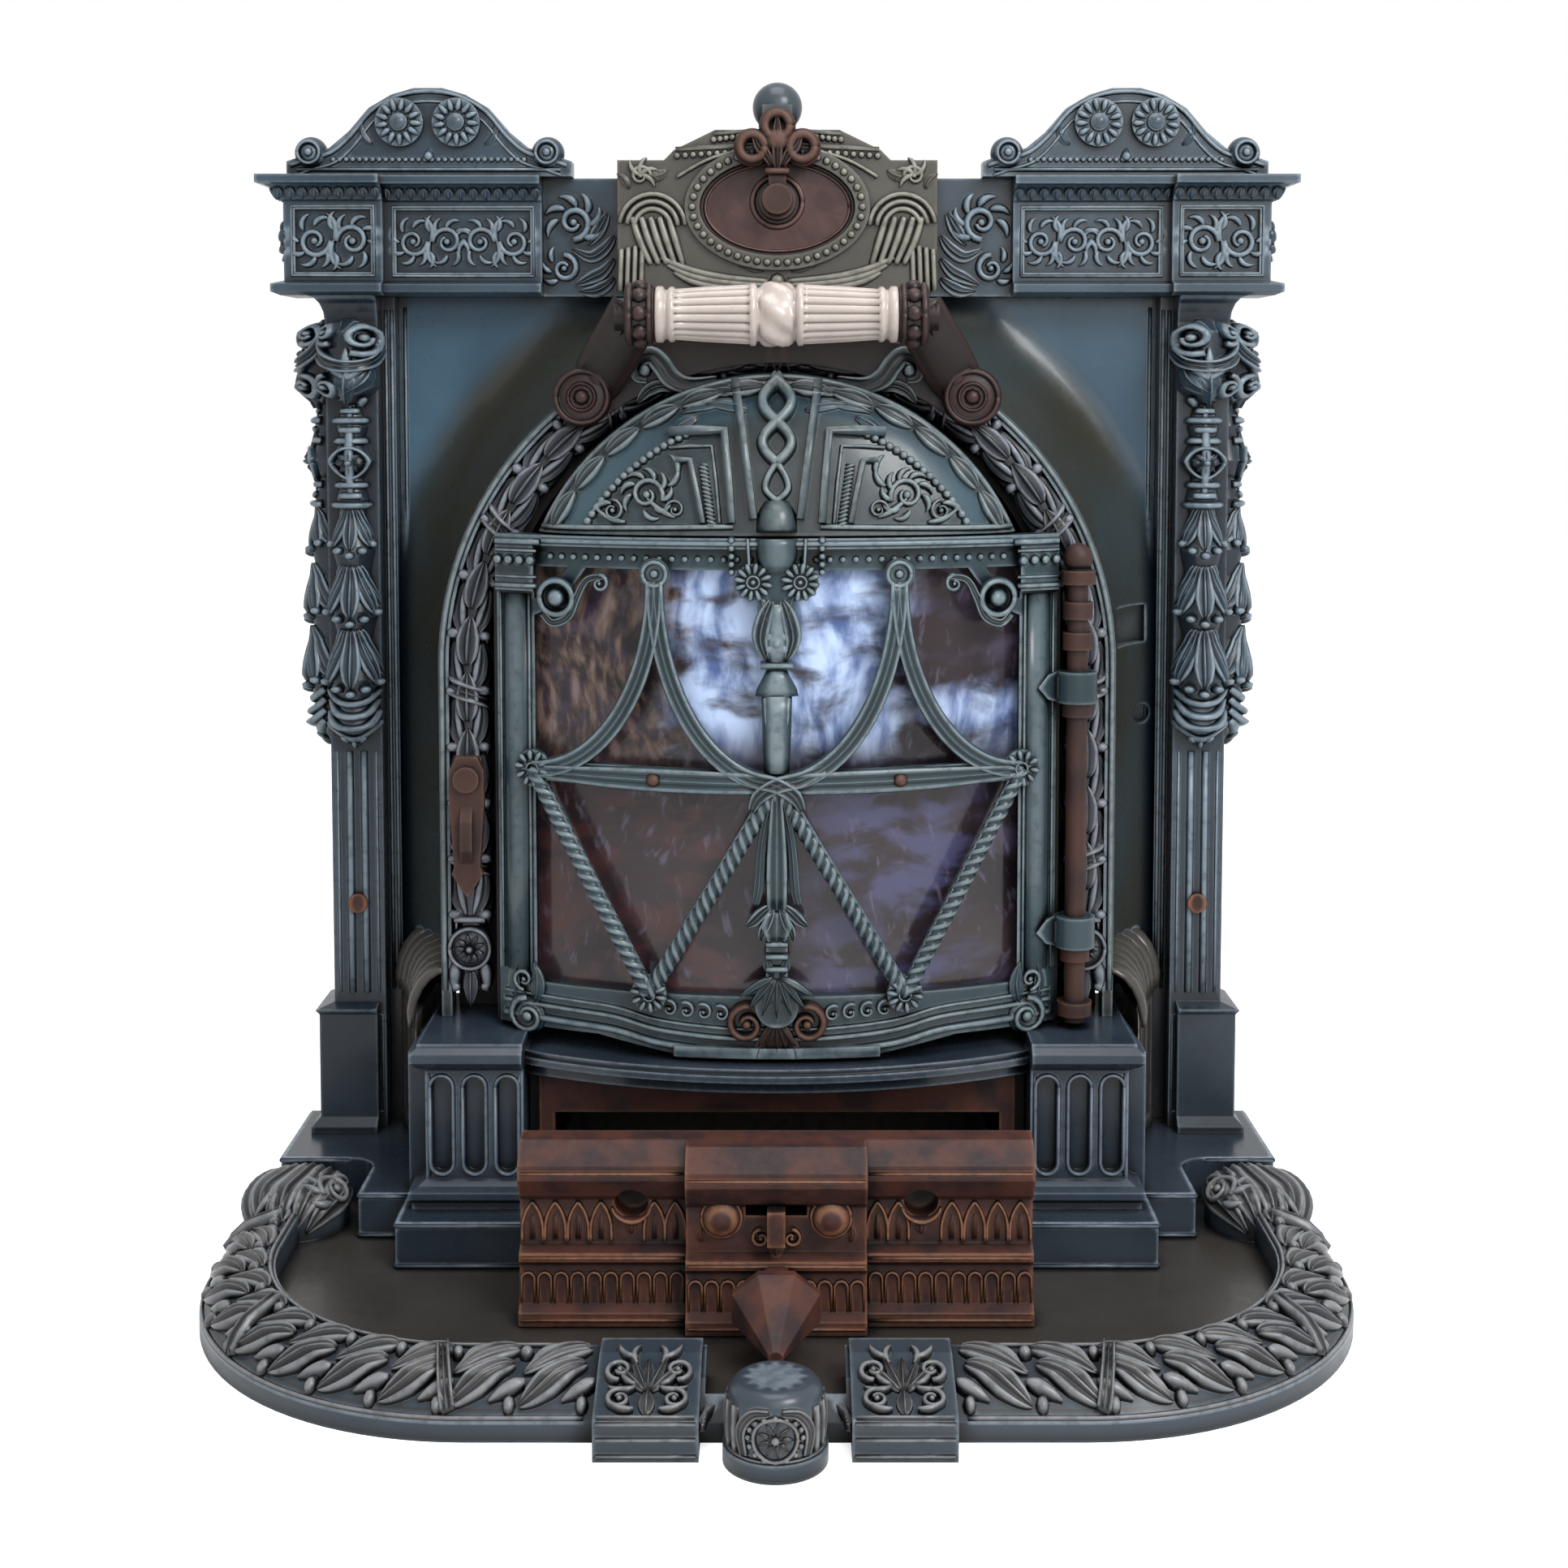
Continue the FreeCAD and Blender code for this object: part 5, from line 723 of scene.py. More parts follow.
def finial_zone(tree):
    """1 on the finial over the cartouche."""
    return between(tree, position(tree)["Z"], FINIAL_FOOT * MM, (FINIAL_FOOT + 4.0) * MM)


def console_flute_painted_light(tree):
    """1 on the upright flutes beside the pedestals, 0 on the folds over them. The flutes' pale ground is
    painted light that lifts the shade of their recess.
    """
    return between(tree, position(tree)["Z"], FOLD_FOOT * MM, CONSOLE_TOP * MM)


def hood_zone(tree):
    """1 on the smooth band round the hood, between its beads and its rim."""
    reach = length_of(tree, *reach_from(tree, HOOD_CENTRE))
    return between(tree, off_by(tree, reach, HOOD_BAND * MM), 0.008, 0.004)


def pane_smoke(tree, split, tone, streak, crumple):
    """Brown and mauve of the sheets and red in the lower pane, with a painted tan highlight at the upper
    left and a painted violet reflection on the lower pane's right.
    """
    smoke = mix_colour(tree, between(tree, tone, 0.34, 0.64), srgb(24, 18, 24), srgb(46, 37, 40))
    smoke = mix_colour(tree, between(tree, streak, 0.46, 0.72), smoke, srgb(60, 52, 68))
    # Painted tan highlight at the upper left.
    left = times(tree, between(tree, split["X"], -0.02, -0.07), between(tree, split["Z"], 0.27, 0.31))
    smoke = mix_colour(tree, times(tree, left, between(tree, crumple, 0.4, 0.7)), smoke, srgb(108, 88, 76))
    under = between(tree, split["Z"], PANE_JOINT, 0.27)
    red_side = times(tree, between(tree, split["X"], 0.03, -0.05), between(tree, streak, 0.42, 0.66))
    # Painted violet-blue reflection on the right of the lower pane.
    violet_reflection = times(tree, between(tree, split["X"], 0.0, 0.05), between(tree, streak, 0.4, 0.6))
    violet_reflection = times(tree, violet_reflection, between(tree, split["X"], 0.13, 0.09))
    smoke = mix_colour(tree, times(tree, under, red_side), smoke, srgb(66, 40, 38))
    return mix_colour(tree, times(tree, under, violet_reflection), smoke, srgb(62, 62, 92))


def painted_pane_reflection(tree, split, streak):
    """1 where a blue-white reflection is painted on the upper pane: in its middle and low on its right."""
    high = between(tree, split["Z"], PANE_JOINT, 0.32)
    middle = between(tree, off_by(tree, split["X"], 0.005), 0.085, 0.045)
    right = between(tree, split["X"], 0.05, 0.1)
    low_right = times(tree, right, between(tree, split["Z"], 0.345, 0.32))
    lit = math_node(tree, "MAXIMUM", middle, times(tree, low_right, 0.85))
    reflection_streaks = plus(tree, streak, times(tree, lit, 0.16))
    reflection_mask = between(tree, reflection_streaks, 0.46, 0.72)
    return times(tree, times(tree, high, reflection_mask), lit, True)


def mica_material():
    """Thin smoky mica: brown and mauve sheets with pale mauve flakes, and painted milky blue reflections on
    the upper pane.
    """
    material, tree, surface = new_material("mica")
    place = on_object(tree)
    split = position(tree)
    tone = noise(tree, place, 14.0, 5.0)
    values = {"Factor": 0.06, 4: place, 5: noise(tree, place, 9.0, 3.0, None, "Color")}
    bent = tree_node(tree, "ShaderNodeMix", values, data_type="VECTOR").outputs[1]
    streak = noise(tree, bent, 30.0, 8.0, (1.0, 1.0, 2.2))
    crumple = noise(tree, bent, 110.0, 8.0, (1.5, 1.0, 0.6))
    sheen = noise(tree, bent, 42.0, 9.0, (2.0, 1.0, 0.8))
    # Blue-white colour of the painted reflections.
    reflection_blue = mix_colour(tree, between(tree, sheen, 0.32, 0.64), srgb(70, 92, 138), srgb(180, 200, 234))
    low_flake = times(tree, between(tree, crumple, 0.56, 0.72), 0.42)
    smoke = pane_smoke(tree, split, tone, streak, crumple)
    colour = mix_colour(tree, low_flake, smoke, srgb(104, 100, 120))
    # Painted blue-white reflections on the upper pane.
    colour = mix_colour(tree, painted_pane_reflection(tree, split, streak), colour, reflection_blue)
    bumped = tree_node(tree, "ShaderNodeBump", {"Strength": 0.3, "Distance": 0.001, "Height": crumple})
    feed(tree, surface, {"Base Color": colour, "Normal": bumped.outputs["Normal"], "Roughness": 0.2,
                         "Specular IOR Level": 0.3, "Coat Weight": 0.3, "Coat Roughness": 0.08})
    return material


def porcelain_material(glaze):
    """Warm white glazed porcelain with fine crazing and painted shade in its flutes."""
    material, tree, surface = new_material("porcelain")
    place = on_object(tree)
    tone = noise(tree, place, 40.0, 5.0)
    shade = openness(tree, 0.004, 8)
    white = mix_colour(tree, between(tree, tone, 0.3, 0.7), srgb(*glaze), srgb(*scaled(glaze, 0.93)))
    # Painted shade in the flutes and creases, found by ambient occlusion.
    colour = mix_colour(tree, between(tree, shade, 0.85, 0.4), white, srgb(80, 68, 68))
    crackle = tree_node(tree, "ShaderNodeTexVoronoi", {"Vector": place, "Scale": 220.0},
                        feature="DISTANCE_TO_EDGE")
    line_mask = between(tree, crackle.outputs["Distance"], 0.035, 0.0)
    colour = mix_colour(tree, times(tree, line_mask, 0.22), colour, srgb(140, 120, 104))
    feed(tree, surface, {"Base Color": colour, "Roughness": 0.25, "Specular IOR Level": 0.35,
                         "Coat Weight": 0.3, "Coat Roughness": 0.1})
    return material


def make_glazes(glaze):
    add_casting("glaze", "blue glaze", glaze, (50, 66, 78), (136, 150, 160), (7, 10, 14))
    add_casting("shaft", "shaft glaze", (29, 37, 46), (41, 51, 60), (118, 130, 140), (6, 8, 12))
    add_casting("panel", "panel glaze", (38, 66, 84), (56, 86, 104), (140, 156, 166), (14, 22, 30),
                cloud_scale=9.0, zone=cove_zone, zone_ground=(46, 46, 41), zone_cloud=(47, 56, 59))
    add_casting("cove", "olive glaze", (54, 52, 49), (64, 62, 59), (104, 104, 102), (12, 12, 11),
                cloud_scale=8.0, ridge_amount=0.45, hollow_amount=0.3)
    # Console flutes: a much paler zone ground, painted light against the shade beside the pedestals.
    add_casting("console", "console glaze", (60, 58, 54), (52, 50, 47), (92, 90, 85), (24, 23, 21),
                ridge_amount=0.3, hollow_amount=0.1, zone=console_flute_painted_light, zone_ground=(128, 123, 115),
                zone_cloud=(104, 100, 94))
    add_casting("base", "slate glaze", (34, 43, 53), (47, 57, 68), (114, 126, 140), (7, 9, 13),
                edge_amount=0.9)
    add_casting("stone", "sage glaze", (57, 55, 48), (72, 69, 61), (152, 150, 140), (11, 10, 9),
                edge_amount=0.2, zone=finial_zone, zone_ground=(40, 49, 56), zone_cloud=(52, 61, 68))
    add_casting("hood", "hood glaze", (33, 44, 48), (46, 58, 63), (132, 143, 146), (6, 8, 9),
                zone=hood_zone, zone_ground=(38, 56, 66), zone_cloud=(52, 73, 83))
    add_casting("door", "door glaze", (33, 47, 52), (45, 61, 68), (130, 144, 150), (6, 9, 11))
    add_casting("navy", "navy glaze", (31, 40, 50), (44, 52, 61), (124, 136, 148), (7, 9, 12),
                edge_amount=0.9, gloss=(0.18, 0.34))
    add_casting("hearth", "hearth glaze", (42, 52, 61), (53, 61, 69), (124, 134, 143), (10, 11, 14),
                cloud_scale=11.0, zone=floor_zone, zone_ground=(44, 41, 38), zone_cloud=(53, 50, 47))
    add_casting("garland", "garland glaze", (46, 50, 57), (57, 61, 69), (134, 139, 148), (6, 6, 9))
    add_casting("border", "border glaze", (46, 48, 52), (54, 52, 51), (138, 140, 144), (8, 8, 9))


def make_irons(rust):
    add_casting("rust", "rust", rust, (37, 24, 26), (142, 98, 72), (12, 7, 6), ridge_amount=0.75,
                gloss=(0.4, 0.7), coat=0.0, bump=0.45, cloud_scale=46.0, grain_scale=240.0)
    add_casting("umber", "umber iron", (38, 24, 21), (58, 36, 30), (98, 71, 60), (10, 6, 6),
                gloss=(0.4, 0.7), coat=0.0, bump=0.3, cloud_scale=34.0, grain_scale=240.0)
    add_casting("oval", "red lacquer", (50, 28, 26), (70, 46, 42), (112, 86, 80), (14, 8, 7),
                gloss=(0.3, 0.55), coat=0.05, bump=0.35, cloud_scale=60.0, grain_scale=200.0)
    add_casting("maroon", "maroon iron", (24, 12, 13), (18, 10, 11), (66, 42, 40), (6, 4, 4),
                gloss=(0.32, 0.54), coat=0.05, bump=0.22, cloud_scale=26.0, edge_amount=0.4)
    add_casting("soot", "sooty iron", (30, 28, 28), (40, 37, 35), (80, 76, 72), (6, 6, 6),
                gloss=(0.5, 0.75), coat=0.0, bump=0.3, cloud_scale=20.0)
    add_casting("brick", "firebrick", (150, 126, 98), (120, 100, 82), (180, 160, 134), (60, 50, 42),
                gloss=(0.8, 0.95), coat=0.0, bump=0.5, cloud_scale=40.0, grain_scale=300.0)


def make_finishes(settings):
    chosen = (settings.glaze_colour, settings.rust_colour, settings.porcelain_colour)
    glaze, rust, white = [scaled(colour, FULL_COLOUR) for colour in chosen]
    make_glazes(glaze)
    make_irons(rust)
    FINISHES["mica"] = mica_material()
    FINISHES["porcelain"] = porcelain_material(white)


NODE_FINISHES = {
    "panel": ("facade_plate",),
    "glaze": ("left_entablature", "right_entablature", "left_pediment", "right_pediment", "frieze_panel"),
    "shaft": ("left_pilaster", "right_pilaster"),
    "base": ("left_pedestal", "right_pedestal"),
    "stone": ("cartouche",),
    "cove": ("left_cove_base", "right_cove_base"),
    "hood": ("hood",),
    "door": ("door_frame", "door_grille", "hinge_straps"),
    "navy": ("plinth", "apron_shelf"),
    "hearth": ("hearth_plate",),
    "garland": ("garland_arch",),
    "rust": ("ash_drawer_front", "drawer_knob", "ash_pit_frame", "pilaster_bolts", "air_slide"),
    "umber": ("damper_key", "damper_spindle", "hinge_pin", "hinge_brackets", "latch_lever", "latch_stud"),
    "oval": ("oval_plate",),
    "maroon": ("handle_bracket", "bracket_screws", "handle_rod"),
    "soot": ("firebox_shell", "back_plate", "flue_collar", "grate_frame", "fire_grate", "left_pit_wall",
             "right_pit_wall", "tie_rods", "tie_nuts", "arch_frame", "ash_pan", "mica_retainer",
             "retainer_screws", "damper_plate"),
    "brick": ("left_firebrick", "right_firebrick", "rear_firebrick"),
    "mica": ("upper_mica", "lower_mica"),
    "porcelain": ("porcelain_grip",),
}


def dress_castings():
    for finish, nodes in NODE_FINISHES.items():
        for name in nodes:
            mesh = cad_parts[name].data
            mesh.materials.clear()
            mesh.materials.append(FINISHES[finish])


# Hearth
HEARTH_HALF = 314.0
HEARTH_FRONT = 357.0
HEARTH_CORNER = 165.0
BORDER_START = 92.0
BORDER_END = 418.0
BORDER_STEP = 35.0
BORDER_MARGIN = 0.4
BLOCK_IN, BLOCK_OUT = 36.0, 86.0
BLOCK_FRONT, BLOCK_TOP = 376.0, 20.0
BLOCK_BACK, BLOCK_CREST = 332.0, 33.0
BOSS_FRONT, BOSS_RADIUS, BOSS_TOP = 372.0, 22.5, 40.0
HEARTH_FLOOR = 14.0
SLOPE_WIDE, SLOPE_FOOT, SLOPE_RISE = 15.2, 10.0, 14.4
CROWN_WIDE, CROWN_RISE = 18.8, 5.6
SWELL_X, SWELL_FRONT, SWELL_FLAT, SWELL_ROUND, SWELL_TOP = 281.0, 121.0, 16.0, 14.0, 40.0


def border_edge(run):
    """Place and way out on the hearth's outer edge, from its front block round to its rear end."""
    straight = HEARTH_HALF - HEARTH_CORNER - BORDER_START
    bend = HEARTH_CORNER * math.pi / 2.0
    middle = HEARTH_FRONT - HEARTH_CORNER
    if run < straight:
        return BORDER_START + run, HEARTH_FRONT, 0.0, 1.0
    if run < straight + bend:
        turn = (run - straight) / HEARTH_CORNER
        out_x, out_front = math.sin(turn), math.cos(turn)
        return (HEARTH_HALF - HEARTH_CORNER + HEARTH_CORNER * out_x, middle + HEARTH_CORNER * out_front,
                out_x, out_front)
    return HEARTH_HALF, middle - (run - straight - bend), 1.0, 0.0


def border(sign):
    """On the hearth's swelling border: along its edge, in from its edge, out of its slope."""
    def place(u, v, h):
        x, front, out_x, out_front = border_edge(u)
        if v < SLOPE_WIDE:
            z = SLOPE_FOOT + SLOPE_RISE * v / SLOPE_WIDE
        else:
            z = SLOPE_FOOT + SLOPE_RISE + CROWN_RISE * min((v - SLOPE_WIDE) / CROWN_WIDE, 1.0)
        lean = math.radians(46.0 + 34.0 * max(0.0, min((v - 4.0) / 24.0, 1.0)))
        inset = max(v - h * math.cos(lean), BORDER_MARGIN)
        return at(sign * (x - out_x * inset), front - out_front * inset, z + h * math.sin(lean))
    return place


def border_leaf(relief, u):
    """Two leaves that lie aslant across the border and overlap the next pair, with a ball at their tips."""
    relief.pod([(u, 33), (u + 9, 31), (u + 20, 26), (u + 32, 17)], 13.0, 5.6)
    relief.pod([(u + 2, 23), (u + 11, 19), (u + 22, 12), (u + 33, 5)], 13.0, 6.4)
    relief.comma(u + 14, 34, -12, 18, 6.0, 4.6, -40)
    relief.comma(u - 4, 13, -10, 18, 7.0, 5.0, -20)
    relief.bead(u + 32.0, 29.5, 4.0, 5.6)
    relief.bead(u + 3.0, 5.6, 3.6, 5.0)


@drawn
def border_relief(relief):
    relief.stroke(line(0.0, 1.2, BORDER_END, 1.2, 70), 2.6, 1.4)
    relief.stroke(line(0.0, 37.5, BORDER_END, 37.5, 70), 3.2, 2.2)
    units = int((BORDER_END - 20.0) / BORDER_STEP)
    for i in range(units):
        u = -2.0 + BORDER_STEP * i
        border_leaf(relief, u)
        if i % 4 == 2:
            relief.stroke(line(u - 3, 3, u + 7, 32, 6), 8.0, 7.6, RIBBON)


def swelling(sign):
    """Over the rounded end of the border: across, forward and out, measured along its skin."""
    def place(u, v, h):
        reach = math.hypot(u, v)
        if reach <= SWELL_FLAT:
            return at(sign * (SWELL_X + u), SWELL_FRONT + v, SWELL_TOP + h)
        turn = min((reach - SWELL_FLAT) / SWELL_ROUND, math.pi / 2.0)
        drop = max(reach - SWELL_FLAT - SWELL_ROUND * math.pi / 2.0, 0.0)
        wide = (SWELL_FLAT + (SWELL_ROUND + h) * math.sin(turn)) / reach
        z = SWELL_TOP - SWELL_ROUND + (SWELL_ROUND + h) * math.cos(turn) - drop
        return at(sign * (SWELL_X + u * wide), SWELL_FRONT + v * wide, z)
    return place


@drawn
def swelling_relief(relief):
    """Bundle of broad leaves that rolls forward, with a volute on its inner side and curls about it."""
    for k in (-2, 2, -1, 1, 0):
        path = [(k * 7 - 6, -34), (k * 11 - 4, -14), (k * 14, 8), (k * 13 + 3, 26), (k * 10 + 4, 42)]
        relief.pod(path, 18.0, 3.2 + 0.7 * (2 - abs(k)))
    relief.scroll(-24.0, 10.0, 10.0, 60.0, -460.0, 5.0, 4.6)
    relief.curls(-24.0, 10.0, 10.0, range(-70, 91, 40), -40.0, 12.0, 6.0, 4.6, -50.0)
    relief.comma(6.0, 36.0, -60.0, 16.0, 7.0, 4.6, -60.0)
    relief.comma(20.0, 30.0, 200.0, 16.0, 6.0, 4.6, 60.0)


def block_slope(sign):
    """Sloping top of a front block: across from its middle, up the slope."""
    run, rise = BLOCK_FRONT - BLOCK_BACK, BLOCK_CREST - BLOCK_TOP
    size = math.hypot(run, rise)
    middle = (BLOCK_IN + BLOCK_OUT) / 2.0

    def place(u, v, h):
        front = BLOCK_FRONT - run * v / size + h * rise / size
        return at(sign * (middle + u), front, BLOCK_TOP + rise * v / size + h * run / size)
    return place


@drawn
def block_relief(relief):
    """Leaf in a nest of curls, over the moulded front edge."""
    for side in (1, -1):
        relief.scroll(side * 14.0, 31.0, 7.0, -90.0, side * 420.0, 4.0, 4.0)
        relief.scroll(side * 13.0, 12.0, 6.4, 90.0, side * -420.0, 3.8, 3.8)
        for v, angle, length in ((36, 60, 14), (22, 20, 13), (20, -30, 14), (6, -10, 15), (40, 10, 14)):
            relief.comma(side * 6.0, v, 90.0 + side * (angle - 90.0), length, 4.6, 3.8, side * 70.0)
    relief.fan(0.0, 16.0, 3.0, 24.0, 50.0, 130.0, 5, 6.0, 4.6)
    relief.leaf(0.0, 3.0, 90.0, 16.0, 9.0, 4.4)
    relief.stroke(line(-23, 1.5, 23, 1.5, 4), 2.4, 1.8)


@drawn
def block_front(relief):
    """Edge mouldings on the upright front of a block."""
    for z in (3.0, 11.0, 18.6):
        relief.stroke(line(BLOCK_IN + 1.5, z, BLOCK_OUT - 1.5, z, 4), 2.2, 1.2)


def boss_wall(u, v, h):
    turn = u / BOSS_RADIUS
    reach = BOSS_RADIUS + h
    return at(reach * math.sin(turn), BOSS_FRONT + reach * math.cos(turn), v)


@drawn
def boss_relief(relief):
    """Rosette in a beaded ring, under leaves and between flutes."""
    relief.rosette(0.0, 20.0, 8.5, 9, 2.0)
    relief.ring(0.0, 20.0, 10.2, 2.4, 1.8)
    for i in range(16):
        turn = 2.0 * math.pi * i / 16.0
        relief.bead(13.0 * math.cos(turn), 20.0 + 10.5 * math.sin(turn), 1.7, 1.9)
    for side in (1, -1):
        relief.stroke(flowing([(side * 3, 33), (side * 11, 31), (side * 17, 22), (side * 15, 11)]),
                      (3, 5, 6, 4), 2.0, RIBBON)
        for i in range(5):
            u = side * (22 + 6.4 * i)
            relief.stroke(line(u, 10, u, 32, 5), 5.2, (1.2, 2.0, 2.2, 1.2))
    relief.stroke(line(-60, 9.5, 60, 9.5, 40), 2.0, 1.4)


def boss_top(u, v, h):
    return at(u, BOSS_FRONT + v, BOSS_TOP - 2.2 + h)


@drawn
def boss_top_relief(relief):
    relief.fan(0.0, 0.0, 4.0, 15.5, 0.0, 330.0, 12, 5.0, 2.0)
    relief.bead(0.0, 0.0, 5.0, 2.2)


@drawn
def boss_folds(relief):
    """Folds that run down beside the boss."""
    for i in range(4):
        relief.stroke(flowing([(27 + 2 * i, 346 + 3 * i), (33 + i, 352 + 5 * i), (34, 362 + 3 * i)]), 3.6,
                      2.4)


def carve_hearth():
    finish = FINISHES["border"]
    carving = Carving()
    for sign in (1, -1):
        carving.put(border_relief(), border(sign))
        carving.put(swelling_relief(), swelling(sign))
        carving.put(block_relief(), block_slope(sign))
        carving.put(block_front(), flat(BLOCK_FRONT, sign))
    carving.put(boss_relief(), boss_wall)
    carving.put(boss_top_relief(), boss_top)
    carving.put(boss_folds(), lid(HEARTH_FLOOR)).put(boss_folds(), lid(HEARTH_FLOOR, -1))
    carving.finish("hearth_ornament", finish, "stove", "enamel")


# Pedestals, consoles and plinth
PEDESTAL_MIDDLE = 171.25
PEDESTAL_FRONT = 160.0
FLUTE_SPACING = 18.5
FLUTE_LOW, FLUTE_HIGH = 59.0, 114.0
CONSOLE_TOP = 122.0
FOLD_FOOT, FOLD_RISE, FOLD_DEPTH = 128.0, 34.0, 22.0
STEP_FRONTS = ((187.0, 138.0, 212.0), (143.0, 212.0, 241.0), (85.0, 258.0, 299.0))
STEP_SIDES = ((212.0, 143.0, 187.0), (241.0, 102.0, 143.0), (299.0, 2.0, 85.0))
STEP_EDGES = (15.6, 38.4)


def flute_rim(x, radius):
    """Closed outline of a round-ended flute."""
    return arc(x, FLUTE_HIGH - 5.5, radius, 0, 180, 9) + arc(x, FLUTE_LOW + 5.5, radius, 180, 360, 9)


def console_face(sign):
    """Hollow face between pedestal and pilaster: along its plan curve, up, out of the hollow."""
    start, pull, end = (236.5, 16.0), (216.0, 44.0), (211.0, 112.0)

    def place(u, v, h):
        t = max(0.0, min(u / 100.0, 1.0))
        weights = ((1 - t) ** 2, 2 * t * (1 - t), t * t)
        x = sum(w * p[0] for w, p in zip(weights, (start, pull, end)))
        front = sum(w * p[1] for w, p in zip(weights, (start, pull, end)))
        dx = 2 * (1 - t) * (pull[0] - start[0]) + 2 * t * (end[0] - pull[0])
        df = 2 * (1 - t) * (pull[1] - start[1]) + 2 * t * (end[1] - pull[1])
        size = math.hypot(dx, df)
        return at(sign * (x + h * df / size), front - h * dx / size, v)
    return place


@drawn
def console_relief(relief):
    """Flutes with arched heads, between ribs."""
    for i in range(6):
        u = 11.0 + 15.4 * i
        relief.stroke(line(u, 42, u, CONSOLE_TOP, 4), 4.4, 3.0, RIBBON)
        if i < 5:
            relief.stroke(arc(u + 7.7, CONSOLE_TOP - 9.0, 7.0, 180, 0, 9), 3.0, 2.4)
    relief.stroke(line(2, 46, 98, 46, 12), 4.0, 2.4)


def console_fold(sign):
    """Rounded fold over the console: along its plan curve, up and back over the fold, out."""
    face = console_face(sign)

    def place(u, v, h):
        turn = math.radians(90.0 * max(0.0, min(v, 1.0)))
        out = 4.0 - FOLD_DEPTH * (1.0 - math.cos(turn)) + h * math.cos(turn)
        return face(u, FOLD_FOOT + FOLD_RISE * math.sin(turn) + h * math.sin(turn), out)
    return place


@drawn
def fold_relief(relief):
    """Broad reeds side by side that bend back over the fold."""
    for i in range(7):
        u = 7.0 + 14.3 * i
        path = [(u, -0.02 + 0.17 * k) for k in range(7)]
        relief.stroke(path, 15.0, (3.0, 4.5, 4.5, 4.0, 2.0))


def step_fillets(carving):
    """Thin round fillets along the plinth's upper and lower edges."""
    for faces, side in ((STEP_FRONTS, flat), (STEP_SIDES, flank)):
        for out, start, end in faces:
            relief = Relief()
            for z in STEP_EDGES:
                relief.stroke(line(start, z, end, z, 3), 2.6, 1.2)
            carving.put(relief, side(out)).put(relief, side(out, -1))


def carve_base():
    carving = Carving()
    step_fillets(carving)
    rims = Relief()
    for i in (-1, 0, 1):
        x = PEDESTAL_MIDDLE + FLUTE_SPACING * i
        rims.outline(flute_rim(x, 6.6), 2.8, 1.8)
    for x in (PEDESTAL_MIDDLE - 25.5, PEDESTAL_MIDDLE + 25.5):
        rims.stroke(line(x, 57, x, 116, 3), 1.6, 1.0)
    carving.put(rims, flat(PEDESTAL_FRONT)).put(rims, flat(PEDESTAL_FRONT, -1))
    carving.finish("pedestal_ornament", FINISHES["base"], "stove", "enamel")
    consoles = Carving()
    for sign in (1, -1):
        consoles.put(console_relief(), console_face(sign))
        consoles.put(fold_relief(), console_fold(sign))
    consoles.finish("console_ornament", FINISHES["console"], "stove", "enamel")


# Pilasters
DROP_X, DROP_FRONT = 261.0, 30.0
SIDE_DROP_X, SIDE_DROP_FRONT = 277.0, 15.0
DROP_ROUND = 11.5
DROP_TOP, DROP_LENGTH, DROP_RADIUS = 545.0, 263.0, 13.0
DROP_SWELLS = ((0.0, 0.35), (0.03, 1.15), (0.16, 1.3), (0.2, 0.45), (0.25, 0.75), (0.28, 0.6), (0.33, 1.05),
               (0.37, 0.55), (0.42, 0.8), (0.46, 0.55), (0.54, 1.0), (0.6, 0.75), (0.68, 1.15), (0.75, 0.8),
               (0.84, 1.25), (0.9, 0.95), (0.95, 1.15), (1.0, 0.2))
STEP_FRONT = 14.0
SHAFT_FRONT = 30.0


def drop_skin(z):
    """Radius of the turned drop at a height."""
    share = (DROP_TOP - z) / DROP_LENGTH
    for (start, first), (end, second) in zip(DROP_SWELLS, DROP_SWELLS[1:]):
        if share <= end:
            part = max(share - start, 0.0) / (end - start)
            return DROP_RADIUS * (first + (second - first) * part)
    return DROP_RADIUS * DROP_SWELLS[-1][1]


def hanging_drop(x, front, sign, aside=False):
    """Round a turned drop, from its front or its outer side: round its axis, up and out."""
    def place(u, v, h):
        reach = drop_skin(v) + h
        turn = u / DROP_ROUND
        if aside:
            turn = math.pi / 2.0 - turn
        return at(sign * (x + reach * math.sin(turn)), front + reach * math.cos(turn), v)
    return place


def laurel(relief, high, low, height):
    """Tier of hanging leaves that open downwards, with berries under their tips."""
    length = high - low
    for lean, share, rise in ((18.0, 0.8, 0.5), (-18.0, 0.8, 0.5), (10.5, 0.93, 0.75), (-10.5, 0.93, 0.75),
                              (0.0, 1.0, 1.0)):
        spread = [(lean * 0.3, high), (lean * 0.62, high - length * 0.35),
                  (lean * 0.95, high - length * 0.7)]
        relief.pod(spread + [(lean * 1.1, high - length * share)], 9.6, height * rise)
    for u, drop in ((0.0, -3.5), (6.0, -0.5), (-6.0, -0.5), (12.5, 3.5), (-12.5, 3.5)):
        relief.bead(u, low + drop, 2.9, height + 0.6)


